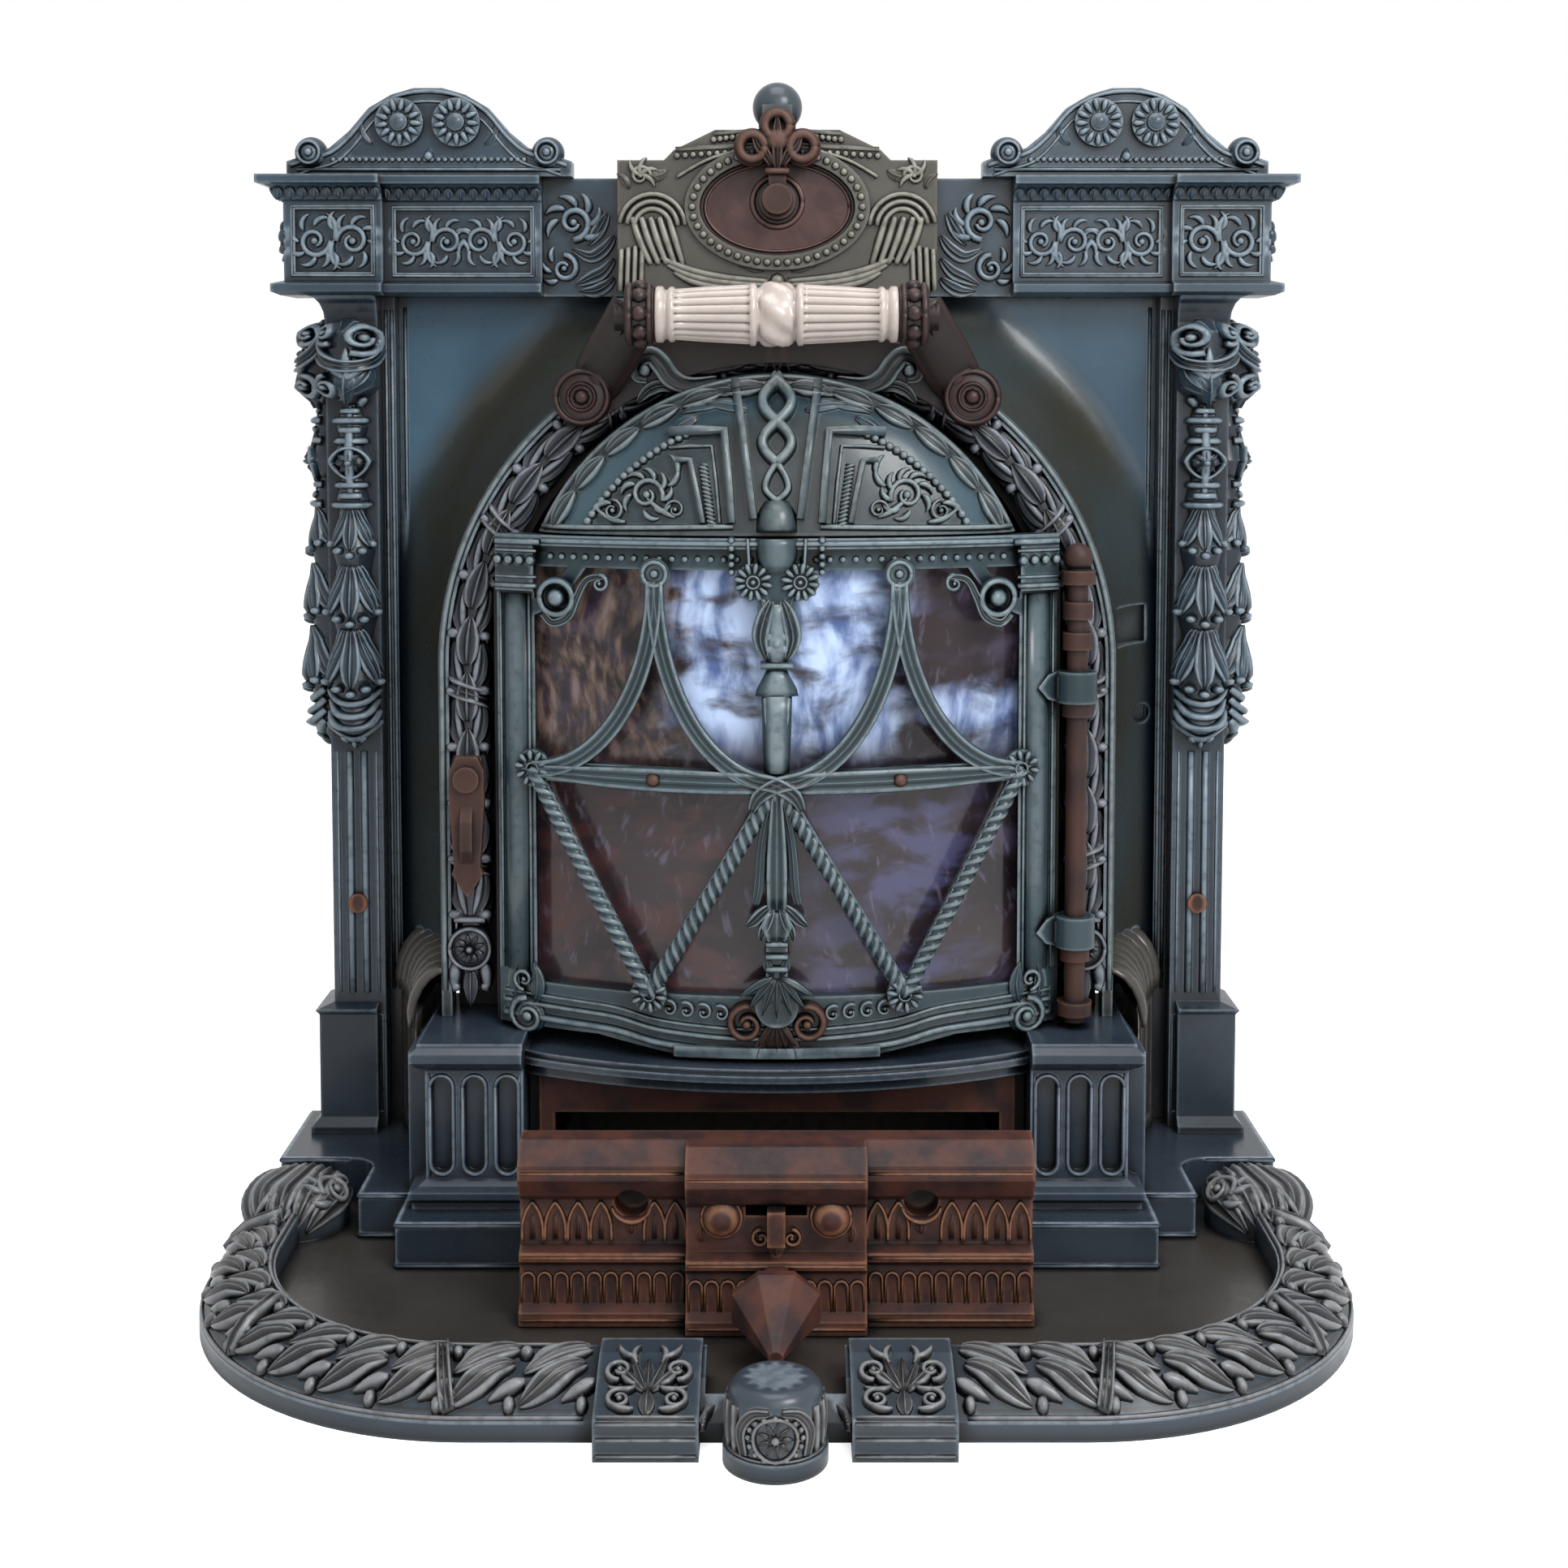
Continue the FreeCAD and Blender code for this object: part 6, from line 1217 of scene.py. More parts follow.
@drawn
def drop_relief(relief):
    """Scrolled head, turned stem with a rosette, three tiers of leaves and a festoon."""
    relief.scroll(-7.0, 533.0, 10.5, -60.0, -480.0, 6.0, 6.5)
    relief.scroll(10.5, 536.0, 7.4, 240.0, 440.0, 5.0, 6.0)
    relief.stroke(flowing([(-17, 527), (-9, 518), (2, 516), (12, 522), (17, 531)]), (5, 7, 8, 7, 4), 6.5,
                  RIBBON)
    relief.scroll(9.0, 503.0, 7.4, 90.0, -430.0, 4.8, 6.0)
    relief.leaf(-10.0, 517.0, -80.0, 23.0, 11.0, 5.0, 50.0)
    relief.leaf(1.0, 515.0, -95.0, 25.0, 10.0, 5.5, 20.0)
    relief.bead(-9.0, 494.0, 4.0, 6.0)
    relief.stroke(line(0, 492, 0, 426, 5), 7.0, 2.0)
    for z, half, rise in ((489.0, 5.0, 2.5), (483.0, 8.0, 4.0), (477.0, 4.5, 2.5), (470.5, 8.0, 3.5),
                          (443.5, 8.0, 3.5), (437.0, 4.5, 2.5), (431.0, 8.5, 4.5)):
        relief.stroke(line(-half * 1.6, z, half * 1.6, z, 8), 5.0, rise)
    for angle in (52.0, 90.0, 128.0):
        relief.comma(0.0, 508.0, angle, 19.0, 6.5, 4.0, 0.3 * (angle - 90.0))
    relief.ring(0.0, 457.0, 9.4, 3.2, 4.5)
    relief.rosette(0.0, 457.0, 7.6, 8, 4.2)
    laurel(relief, 429.0, 404.0, 4.6)
    laurel(relief, 394.0, 362.0, 5.4)
    laurel(relief, 355.0, 319.0, 5.8)
    for i, (z, rise) in enumerate(((312.0, 4.5), (305.5, 5.5), (299.0, 5.5), (292.5, 4.5))):
        relief.stroke(flowing([(-16, z + 5), (-6, z - 2 - i), (6, z - 2 - i), (16, z + 5)]), 5.6,
                      rise * 0.7)
    for u in (-7.0, 0.0, 7.0):
        relief.bead(u, 283.0 + abs(u) * 0.5, 3.4, 5.0)


def carve_pilasters():
    carving = Carving()
    reeds = Relief()
    for x, width in ((249.0, 2.2), (256.5, 5.0), (265.5, 5.0), (273.0, 2.2)):
        reeds.stroke(line(x, 126, x, 278, 4), width, width * 0.38)
    reeds.outline([(247, 50), (281, 50), (281, 112), (247, 112)], 2.0, 1.2)
    steps = Relief()
    for x in (238.8, 242.6):
        steps.stroke(line(x, 124, x, 551, 6), 2.6, 1.6)
    edges = Relief()
    edges.stroke(line(233.0, 150, 233.0, 553, 6), 2.6, 1.4)
    for sign in (1, -1):
        carving.put(drop_relief(), hanging_drop(DROP_X, DROP_FRONT, sign))
        carving.put(drop_relief(), hanging_drop(SIDE_DROP_X, SIDE_DROP_FRONT, sign, True))
        carving.put(reeds, flat(SHAFT_FRONT, sign))
        carving.put(steps, flat(STEP_FRONT, sign))
        carving.put(edges, flat(0.0, sign))
    carving.finish("pilaster_ornament", FINISHES["glaze"], "stove", "enamel")


# Entablature and pediments
CORNER_OUT, CORNER_FRONT = 300.0, 36.0
WIDE_FRONT = 28.0
PANEL_SINK = 3.0
FRIEZE_MIDDLE = 592.0
FRAME_LOW, FRAME_HIGH = 571.0, 613.0
CORNICE_LEAF = 620.5
PEDIMENT_CENTRE, PEDIMENT_HALF, PEDIMENT_FRONT = 211.5, 86.5, 34.0
PEDIMENT_EDGE = ((1.0, 640.0), (0.86, 644.0), (0.7, 648.0), (0.56, 658.0), (0.42, 672.0), (0.26, 680.0),
                 (0.1, 684.0))
ROSETTE_SPREAD, ROSETTE_HEIGHT, ROSETTE_FRONT = 17.2, 663.0, 39.0


def scrollwork(relief, u, v, radius, hand=1, height=3.6):
    """Two volutes that meet in an S, with curls sprouting off their backs to fill the panel."""
    for side in (1, -1):
        cu = u - side * radius
        facing = 0.0 if side > 0 else 180.0
        relief.scroll(cu, v, radius * 0.86, facing, hand * 430.0, radius * 0.42, height)
        angles = [facing + hand * (40.0 + 46.0 * k) for k in range(6)]
        relief.curls(cu, v, radius * 0.8, angles, hand * 20.0, radius * 1.05, radius * 0.42, height,
                     hand * 95.0)
    for side in (1, -1):
        relief.comma(u, v, side * 90.0 + hand * 25.0, radius * 1.7, radius * 0.5, height, -hand * 80.0)
        relief.comma(u, v + side * radius * 0.6, side * 90.0 - hand * 40.0, radius * 1.1, radius * 0.42,
                     height, hand * 90.0)


def cornice(front, sign):
    return lambda u, v, h: at(sign * u, front + 4.5 + v * 0.6 + h * 0.8, CORNICE_LEAF + v * 0.8 - h * 0.6)


def cornice_side(sign):
    return lambda u, v, h: at(sign * (CORNER_OUT + 4.5 + v * 0.6 + h * 0.8), u,
                              CORNICE_LEAF + v * 0.8 - h * 0.6)


def heart_leaf(relief):
    relief.leaf(0.0, 4.2, -90.0, 8.4, 6.6, 2.0, 0.0, 0.0, 5)


def petal_bead(relief):
    relief.stroke([(0.0, -3.6), (0.0, -1.0), (0.0, 2.0), (0.0, 3.8)], (2.4, 4.2, 4.8, 2.0),
                  (1.6, 2.8, 3.2, 1.4))


def beaded_rosette(carving, u, v, radius, place, count, material, size=1.0):
    """Ring of rounded petals about a domed eye with a rim."""
    ring = list(reversed(arc(u, v, radius, 0.0, 360.0 - 360.0 / 36.0, 36)))
    row(carving, ring, place, motif("petal", petal_bead), count, material, size, True)
    middle = Relief()
    middle.ring(u, v, radius * 0.45, radius * 0.22, 2.2 * size)
    middle.bead(u, v, radius * 0.24, 2.6 * size)
    carving.put(middle, place)


@drawn
def frieze_relief(relief, radius, *pairs):
    """Scrollwork of a frieze panel: where each pair of volutes lies and which way it winds."""
    for u, hand in pairs:
        scrollwork(relief, u, FRIEZE_MIDDLE, radius, hand)


@drawn
def panel_frame(relief, left, right):
    corners = [(left, FRAME_LOW), (right, FRAME_LOW), (right, FRAME_HIGH), (left, FRAME_HIGH)]
    relief.outline(corners, 2.2, 1.4)


def carve_entablature():
    finish = FINISHES["glaze"]
    carving = Carving()
    leaf = motif("heart leaf", heart_leaf)
    wide = frieze_relief(10.4, (171.5, -1), (212.5, 1))
    wide.bead(192.0, FRIEZE_MIDDLE, 2.6, 3.0)
    for sign in (1, -1):
        carving.put(frieze_relief(11.6, (270.0, 1)), flat(CORNER_FRONT - PANEL_SINK, sign))
        carving.put(wide, flat(WIDE_FRONT - PANEL_SINK, sign))
        carving.put(frieze_relief(9.0, (15.0, 1)), flank(CORNER_OUT, sign))
        carving.put(panel_frame(245.0, 295.0), flat(CORNER_FRONT, sign))
        carving.put(panel_frame(149.0, 235.0), flat(WIDE_FRONT, sign))
        row(carving, line(147, 0, 238, 0), cornice(WIDE_FRONT, sign), leaf, 13, finish)
        row(carving, line(243, 0, 302, 0), cornice(CORNER_FRONT, sign), leaf, 9, finish)
        row(carving, line(0, 0, 38, 0), cornice_side(sign), leaf, 6, finish)
    carving.finish("entablature_ornament", finish, "stove", "enamel")


def pediment_edge(inset, shrink):
    right = [(PEDIMENT_HALF * share * shrink, z - inset) for share, z in PEDIMENT_EDGE]
    return flowing(right + [(-x, z) for x, z in reversed(right)], 3)


def pediment_face(front, sign):
    return lambda u, v, h: at(sign * (PEDIMENT_CENTRE + u), front + h, v)


def carve_pediments():
    finish = FINISHES["glaze"]
    carving = Carving()
    edges = Relief()
    edges.stroke(pediment_edge(2.6, 0.97), 3.4, 2.6)
    edges.stroke(pediment_edge(8.5, 0.93), 2.4, 1.6)
    edges.stroke(line(-80, 635, 80, 635, 4), 3.0, 1.8)
    edges.leaf(0.0, 648.0, -90.0, 9.0, 6.0, 2.6)
    edges.bead(0.0, 643.0, 3.6, 4.0)
    for side in (1, -1):
        edges.leaf(side * 34.0, 650.0, 90.0 - side * 60.0, 16.0, 6.0, 2.6, side * 70.0)
        edges.ring(side * 72.0, 645.0, 6.6, 2.6, 2.0, 5.0)
        edges.bead(side * 72.0, 645.0, 3.2, 3.4, 5.0)
    for sign in (1, -1):
        carving.put(edges, pediment_face(PEDIMENT_FRONT, sign))
        row(carving, line(-58, 641, 58, 641), pediment_face(PEDIMENT_FRONT, sign), bead_motif(2.0), 30,
            finish)
        for side in (1, -1):
            beaded_rosette(carving, side * ROSETTE_SPREAD, ROSETTE_HEIGHT, 10.4,
                           pediment_face(ROSETTE_FRONT, sign), 13, finish)
    carving.finish("pediment_ornament", finish, "stove", "enamel")


# Cartouche, damper key and the leafy scrolls beside them
CARTOUCHE_FRONT = 50.0
FRIEZE_PANEL_FRONT = 20.0
OVAL_FRONT = 47.0
FINIAL_FOOT = 654.0
OVAL_HEIGHT, OVAL_HALF_WIDTH, OVAL_HALF_HEIGHT = 611.0, 51.0, 33.2
KEY_FRONT, KEY_AXIS = 64.0, 614.5
KEY_LOBES = ((0.0, 658.0), (14.85, 645.4), (-14.85, 645.4))


@drawn
def cartouche_relief(relief):
    """Drapery fans beside the oval, ribbon swags under it and stepped bands over it."""
    for i in range(3):
        relief.stroke(arc(75.0, 599.0, 11.0 + 4.4 * i, 8.0, 176.0, 14), 4.2, 2.6 + 0.4 * i)
    for i in range(5):
        relief.stroke(flowing([(87 - 5.4 * i, 605), (83 - 5.4 * i, 592), (76 - 4.8 * i, 577)]),
                      (4.6, 5.8, 4.2), (2.0, 3.6, 2.4))
    for i in range(4):
        relief.stroke(line(81.0 + 4.2 * i, 589 - i, 82.0 + 4.2 * i, 561, 5), 4.2, (2.0, 3.0, 2.8, 2.0))
    relief.curls(82.0, 630.0, 0.0, range(20, 186, 55), 0.0, 12.0, 4.6, 3.4, 70.0)
    relief.scroll(82.0, 629.5, 6.4, 180.0, -400.0, 3.6, 3.2)
    relief.leaf(70.0, 627.0, 25.0, 13.0, 7.0, 3.0, 40.0)
    relief.leaf(89.0, 622.0, 75.0, 12.0, 6.0, 3.0, -50.0)
    relief.leaf(66.0, 633.0, -40.0, 14.0, 7.0, 2.8, 50.0)
    for i in range(3):
        swag = [(70 - 4 * i, 581 - 4.4 * i), (55 - 2 * i, 574.5 - 4 * i), (34, 569.5 - 3.2 * i),
                (6, 567 - 2.6 * i)]
        relief.stroke(flowing(swag), (3.4, 5.4, 5.6, 3.6), (2.0, 3.6, 3.8, 2.6))
    relief.leaf(8.0, 573.0, 25.0, 16.0, 7.0, 3.4, -30.0)
    relief.stroke(flowing([(60, 629), (42, 639), (22, 644.5), (6, 646)]), 3.2, 3.2)
    relief.stroke(line(4, 648, 61, 645.5, 4), 2.6, 2.6, SQUARE)
    relief.stroke(line(4, 656.5, 38, 655, 4), 2.6, 2.4, SQUARE)
    relief.mirror()
    relief.bead(0.0, 567.0, 5.0, 5.0)


@drawn
def frieze_scroll(relief):
    """Bold leafy scroll beside the cartouche."""
    relief.scroll(125.0, 604.0, 10.5, -90.0, -430.0, 6.0, 5.5)
    relief.scroll(131.0, 576.0, 8.5, 90.0, 420.0, 5.2, 5.0)
    relief.curls(125.0, 604.0, 9.5, range(10, 236, 45), -30.0, 14.0, 6.4, 5.0, -80.0)
    relief.curls(131.0, 576.0, 8.0, range(-60, 31, 45), 30.0, 10.0, 5.4, 4.6, 70.0)
    for corners in ([(100, 596), (106, 588), (115, 583), (126, 588)],
                    [(100, 582), (107, 574), (115, 570), (124, 566)],
                    [(100, 570), (106, 565), (113, 562), (122, 562)],
                    [(104, 610), (108, 602), (112, 596), (116, 590)]):
        relief.pod(corners, 9.0, 5.2)


def carve_cartouche():
    finish = FINISHES["stone"]
    carving = Carving()
    carving.put(cartouche_relief(), flat(CARTOUCHE_FRONT))
    ring = arc(0.0, OVAL_HEIGHT, OVAL_HALF_WIDTH, 0.0, 354.0, 60, OVAL_HALF_HEIGHT / OVAL_HALF_WIDTH)
    row(carving, ring, flat(CARTOUCHE_FRONT + 3.0), bead_motif(2.7), 44, finish, 1.0, True)
    for high, half, count in ((643.5, 60.0, 22), (653.0, 38.0, 16)):
        for side in (1, -1):
            path = line(side * 12, high + 1.0, side * half, high - 2.0)
            row(carving, path, flat(CARTOUCHE_FRONT + 0.6), bead_motif(2.3), count // 2, finish)
    carving.finish("cartouche_ornament", finish, "stove", "enamel")
    leafy = Carving()
    for sign in (1, -1):
        leafy.put(frieze_scroll(), flat(FRIEZE_PANEL_FRONT, sign))
    leafy.finish("frieze_scrolls", FINISHES["glaze"], "stove", "enamel")


@drawn
def key_relief(relief):
    """Crumpled leaves over a trefoil key."""
    for x, z in KEY_LOBES:
        relief.ring(x, z, 7.4, 6.6, 4.2)
    relief.bead(0.0, 649.5, 8.0, 5.0, 0.0, 12)
    for x in (-7.5, 7.5):
        relief.pod([(x * 0.4, 634), (x * 0.9, 641), (x * 1.5, 646), (x * 1.9, 654)], 7.0, 4.6)
    relief.pod([(0, 632), (0, 640), (0, 652), (0, 664)], 7.0, 5.0)
    relief.stroke(line(-7, 631, 7, 631, 4), 5.0, 4.0)


@drawn
def oval_relief(relief):
    """Raised rim of the oval plate and a worn ring about its spindle."""
    relief.ring(0.0, OVAL_HEIGHT, OVAL_HALF_WIDTH - 7.5, 2.4, 1.4, 0.0, 0.6, 48)
    relief.ring(0.0, KEY_AXIS, 15.0, 4.0, 1.8)


def carve_key():
    Carving().put(key_relief(), flat(KEY_FRONT)).finish("key_ornament", FINISHES["umber"], "damper",
                                                        "rusty_iron")
    Carving().put(oval_relief(), flat(OVAL_FRONT)).finish("oval_ornament", FINISHES["oval"], "stove",
                                                          "rusty_iron")


# Arch: rim bead and laurel garland
def garland(sign):
    """Round the garland's tube: up its leg and over its arch, round its section, out."""
    leg = ARCH_CENTRE - GARLAND_END

    def place(u, v, h):
        turn = v / GARLAND_SECTION
        reach = (GARLAND_SECTION + h) * math.sin(turn)
        front = GARLAND_FRONT + (GARLAND_SECTION + h) * math.cos(turn)
        if u < leg:
            return at(sign * (GARLAND_RADIUS + reach), front, GARLAND_END + u)
        swing = (u - leg) / GARLAND_RADIUS
        radius = GARLAND_RADIUS + reach
        return at(sign * radius * math.cos(swing), front, ARCH_CENTRE + radius * math.sin(swing))
    return place


@drawn
def garland_relief(relief):
    """Pairs of laurel leaves, a third over each joint, berries in the gaps and ribbons that tie them."""
    total = ARCH_CENTRE - GARLAND_END + GARLAND_RADIUS * math.pi / 2.0
    for i in range(int((total - 44.0) / GARLAND_STEP) + 1):
        u = 44.0 + GARLAND_STEP * i
        for side in (1, -1):
            relief.pod([(u, side * 3), (u + 8, side * 7), (u + 19, side * 8.5), (u + 30, side * 7)], 11.5,
                       5.4)
            relief.pod([(u - 6, side * 12), (u + 4, side * 15), (u + 14, side * 15), (u + 22, side * 13)],
                       9.0, 4.4)
            relief.bead(u + 1.0, side * 7.0, 4.0, 8.0)
        relief.pod([(u + 16, 0), (u + 24, 0), (u + 35, 0), (u + 45, 0)], 10.0, 7.8)
        if i % 3 == 1:
            relief.stroke(line(u - 8, -15, u + 9, 15, 12), 10.0, (3.0, 8.0, 8.8, 8.0, 3.0), RIBBON)


@drawn
def garland_foot(relief):
    """Ringed rosette over a leafy pendant, at the foot of each leg."""
    relief.bead(GARLAND_RADIUS, 175.0, 13.5, 4.0, 0.0, 18)
    relief.ring(GARLAND_RADIUS, 175.0, 11.8, 3.6, 6.0)
    relief.rosette(GARLAND_RADIUS, 175.0, 8.6, 9, 4.0, 4.0)
    relief.stroke(line(GARLAND_RADIUS - 9, 192.0, GARLAND_RADIUS + 9, 192.0, 5), 5.0, 5.0)
    for side in (1, -1):
        relief.comma(GARLAND_RADIUS + side * 8.0, 167.0, -90.0 + side * 12.0, 18.0, 9.0, 4.6, side * -14.0)
        relief.bead(GARLAND_RADIUS + side * 8.5, 152.0, 3.4, 4.5)
    relief.leaf(GARLAND_RADIUS, 163.0, -90.0, 23.0, 10.0, 5.6)


def carve_arch():
    carving = Carving()
    for sign in (1, -1):
        carving.put(garland_relief(), garland(sign))
        carving.put(garland_foot(), flat(GARLAND_FRONT + GARLAND_SECTION - 1.0, sign))
    carving.finish("garland_leaves", FINISHES["garland"], "stove", "enamel")
    rim = Relief()
    legs = [(RIM_RADIUS - RIM_INSET, GARLAND_END + 19.0 * i) for i in range(10)]
    over = arc(0.0, ARCH_CENTRE, RIM_RADIUS - RIM_INSET, 0.0, 180.0, 60)
    rim.stroke(legs + over + [(-x, z) for x, z in reversed(legs)], 4.0, 2.0)
    Carving().put(rim, flat(RIM_FRONT)).finish("rim_bead", FINISHES["hood"], "stove", "enamel")


# Hood
HORN_FRONT = 116.0


def hood_arc(radius, low, high, count=24):
    """Arc on the hood from one height to an angle, right side only."""
    start = math.degrees(math.asin((low - HOOD_CENTRE) / radius))
    return arc(0.0, HOOD_CENTRE, radius, start, high, count)


@drawn
def hood_relief(relief):
    relief.stroke(hood_arc(145.5, 424.0, 90.0), 3.0, 1.8)
    for i in range(6):
        turn = 26.0 + 10.4 * i
        relief.pod(arc(0.0, HOOD_CENTRE, 139.5, turn, turn + 9.6, 4), 8.6, 4.8)
    relief.stroke([(60, 477), (44, 478), (29, 478), (27, 454), (25, 428)], 5.0, 4.4, SQUARE)
    relief.stroke([(60, 469), (48, 470), (36, 470), (33.5, 450), (31.5, 428)], 2.6, 2.4)
    relief.stroke([(56, 462), (48, 462), (44.5, 446), (41, 428)], 3.6, 3.4, SQUARE)
    relief.stroke([(23, 504), (18, 468), (13, 430)], 5.0, 5.6, SQUARE)
    strand = [(8.0 * math.sin(math.pi * i / 11.0), 461.0 + 2.0 * i) for i in range(24)]
    relief.stroke(strand, 7.4, 6.0)
    relief.stroke(flowing([(0, 461), (5, 453), (6, 446), (0, 440)]), 5.0, 5.0)
    for r, cu, cv, start, sweep in ((9.5, 72.0, 443.0, 200.0, -430.0), (6.0, 91.0, 434.0, 90.0, 400.0),
                                    (5.5, 56.0, 435.0, 0.0, 400.0)):
        relief.scroll(cu, cv, r, start, sweep, r * 0.42, 3.6)
    relief.curls(72.0, 443.0, 8.6, range(0, 320, 40), -30.0, 11.0, 4.4, 3.6, -90.0)
    for u, v, angle, length, curl in ((92, 438, 10, 14, -80), (56, 431, 20, 22, 30),
                                      (60, 448, 150, 13, -70), (84, 428, 5, 20, 40),
                                      (55, 455, 100, 12, -70)):
        relief.comma(u, v, angle, length, 4.6, 3.4, curl)
    for u, v, angle, length in ((16, 490, 20, 24), (30, 494, 0, 24), (20, 500, 10, 22), (44, 486, -20, 20)):
        relief.leaf(u, v, angle, length, 8.0, 3.4, -30.0)
    relief.stroke(line(24, 426, 132, 424, 14), 4.0, 2.6)
    relief.mirror()
    relief.stroke(line(0, 440, 0, 423, 6), (14, 21, 23, 23), (5, 9, 10, 10), SMOOTH)


@drawn
def horn_relief(relief):
    """Curled leaf that rises off the hood's shoulder."""
    relief.stroke(flowing([(34, 507), (50, 504), (60, 508), (66, 516), (72, 521), (79, 518), (80, 510),
                           (74, 508)]), (6, 11, 13, 13, 12, 10, 8, 6), (5, 8, 9, 10, 10, 9, 8, 7), RIBBON)
    relief.bead(75.5, 513.0, 4.8, 11.0)
    relief.pod([(58, 501), (66, 504), (74, 501), (80, 494)], 9.0, 6.0)
    relief.mirror()


def carve_hood():
    finish = FINISHES["hood"]
    carving = Carving()
    carving.put(hood_relief(), dome)
    carving.put(horn_relief(), flat(HORN_FRONT))
    for side in (1, -1):
        path = [(side * u, v) for u, v in hood_arc(124.0, 428.0, 66.0)]
        row(carving, path, dome, bead_motif(2.9), 17, finish)
        rope(carving, line(side * 36.0, 426, side * 41.0, 460, 8), dome, 3.0, 3, side * 5, finish)
    carving.finish("hood_ornament", finish, "stove", "enamel")


# Handle
GRIP_HEIGHT, GRIP_FRONT, GRIP_HALF = 543.0, 165.0, 66.5
PLAIN, FLUTED, LOBED = 0, 1, 2
# Grip from its end to its middle: share of the half length, radius and kind of surface
GRIP_SECTIONS = ((0.0, 15.0, PLAIN), (0.02, 15.5, PLAIN), (0.06, 15.5, PLAIN), (0.08, 13.6, PLAIN),
                 (0.1, 13.6, PLAIN), (0.12, 15.2, PLAIN), (0.15, 15.2, PLAIN), (0.165, 14.0, FLUTED),
                 (0.28, 14.5, FLUTED), (0.4, 15.1, FLUTED), (0.74, 16.3, FLUTED), (0.775, 16.4, FLUTED),
                 (0.785, 17.3, PLAIN), (0.825, 17.3, PLAIN), (0.84, 14.9, PLAIN), (0.855, 14.9, PLAIN),
                 (0.868, 16.2, LOBED), (0.9, 17.9, LOBED), (0.95, 18.8, LOBED), (1.0, 19.0, LOBED))
GRIP_SIDES = 144
GRIP_LOBES = 6
EAR_RADIUS, EAR_KNOBS = 15.0, 9
VOLUTE_PLACE, VOLUTE_FRONT = (110.5, 497.6), 130.5
ARM_LENGTH = 60.0


def grip_reach(radius, kind, turn, x):
    """Reach of the grip's skin at a turn about its axis."""
    if kind == FLUTED:
        flutes = bpy.context.scene.stove.grip_flutes
        return radius * (1.0 - 0.13 * (1.0 - abs(math.sin(flutes * turn / 2.0)) ** 0.45))
    if kind == LOBED:
        return radius * (0.94 + 0.06 * math.cos(GRIP_LOBES * turn + x * 0.28))
    return radius


def turned_grip():
    carving = Carving()
    stations = [(-GRIP_HALF * (1.0 - share), radius, kind) for share, radius, kind in GRIP_SECTIONS]
    stations += [(-x, radius, kind) for x, radius, kind in reversed(stations[:-1])]
    for x, radius, kind in stations:
        for i in range(GRIP_SIDES):
            turn = 2.0 * math.pi * i / GRIP_SIDES
            reach = grip_reach(radius, kind, turn, x)
            carving.points.append(at(x, GRIP_FRONT + reach * math.cos(turn),
                                     GRIP_HEIGHT + reach * math.sin(turn)))
            carving.lift.append(0.5)
    last = (len(stations) - 1) * GRIP_SIDES
    for i in range(GRIP_SIDES):
        after = (i + 1) % GRIP_SIDES
        for ring in range(len(stations) - 1):
            low = ring * GRIP_SIDES
            carving.faces.append((low + i, low + after, low + GRIP_SIDES + after, low + GRIP_SIDES + i))
    carving.faces.append(tuple(range(GRIP_SIDES)))
    carving.faces.append(tuple(range(last, last + GRIP_SIDES)))
    return carving


def handle_arm(sign):
    """Broad front of a handle arm, from its volute up to its ear."""
    foot, ear = (106.0, 122.0, 502.0), (77.0, 170.0, 545.0)
    across = (0.83, 0.56)

    def place(u, v, h):
        share = u / ARM_LENGTH
        bulge = 4.0 * share * (1.0 - share)
        x = foot[0] + (ear[0] - foot[0]) * share + across[0] * v
        front = foot[1] + (ear[1] - foot[1]) * max(share, 0.0) ** 1.4 + 5.0 * bulge + h
        return at(sign * x, front, foot[2] + (ear[2] - foot[2]) * share + across[1] * v)
    return place


@drawn
def handle_relief(relief):
    """Broad smooth arm that ends in a shell of leaves round its ear."""
    relief.stroke(line(-8, 0, ARM_LENGTH, 0, 14), (22, 30, 31, 30, 30), (5, 6, 6, 7, 6), ARM)
    for i in range(7):
        relief.leaf(58.0, (i - 3) * 4.0, 180.0 + (i - 3) * 14.0, 17.0, 7.0, 10.0, 0.0)


def ear_wall(sign):
    """Round a handle ear: round the grip's axis, along it, out."""
    def place(u, v, h):
        turn = u / EAR_RADIUS
        reach = EAR_RADIUS + h
        return at(sign * v, GRIP_FRONT + reach * math.cos(turn), GRIP_HEIGHT + reach * math.sin(turn))
    return place


@drawn
def ear_relief(relief):
    """Two collars with a row of knobs between them."""
    around = 2.0 * math.pi * EAR_RADIUS
    for x, width, rise in ((69.5, 3.6, 2.0), (80.5, 4.4, 2.6)):
        relief.stroke(line(0, x, around, x, 40), width, rise)
    for i in range(EAR_KNOBS):
        relief.bead(around * i / EAR_KNOBS, 74.8, 4.8, 4.0)


@drawn
def volute_relief(relief):
    relief.bead(*VOLUTE_PLACE, 17.0, 3.0, 0.0, 24)
    relief.ring(*VOLUTE_PLACE, 14.6, 4.0, 4.4)
    relief.ring(*VOLUTE_PLACE, 7.6, 2.6, 5.4)
    relief.bead(*VOLUTE_PLACE, 5.4, 6.4)


def carve_handle():
    carving = Carving()
    for sign in (1, -1):
        carving.put(handle_relief(), handle_arm(sign))
        carving.put(ear_relief(), ear_wall(sign))
        carving.put(volute_relief(), flat(VOLUTE_FRONT, sign))
    carving.finish("handle_ornament", FINISHES["maroon"], "stove", "bracket_iron")
    turned_grip().finish("fluted_grip", FINISHES["porcelain"], "grip", "porcelain", "porcelain_grip")


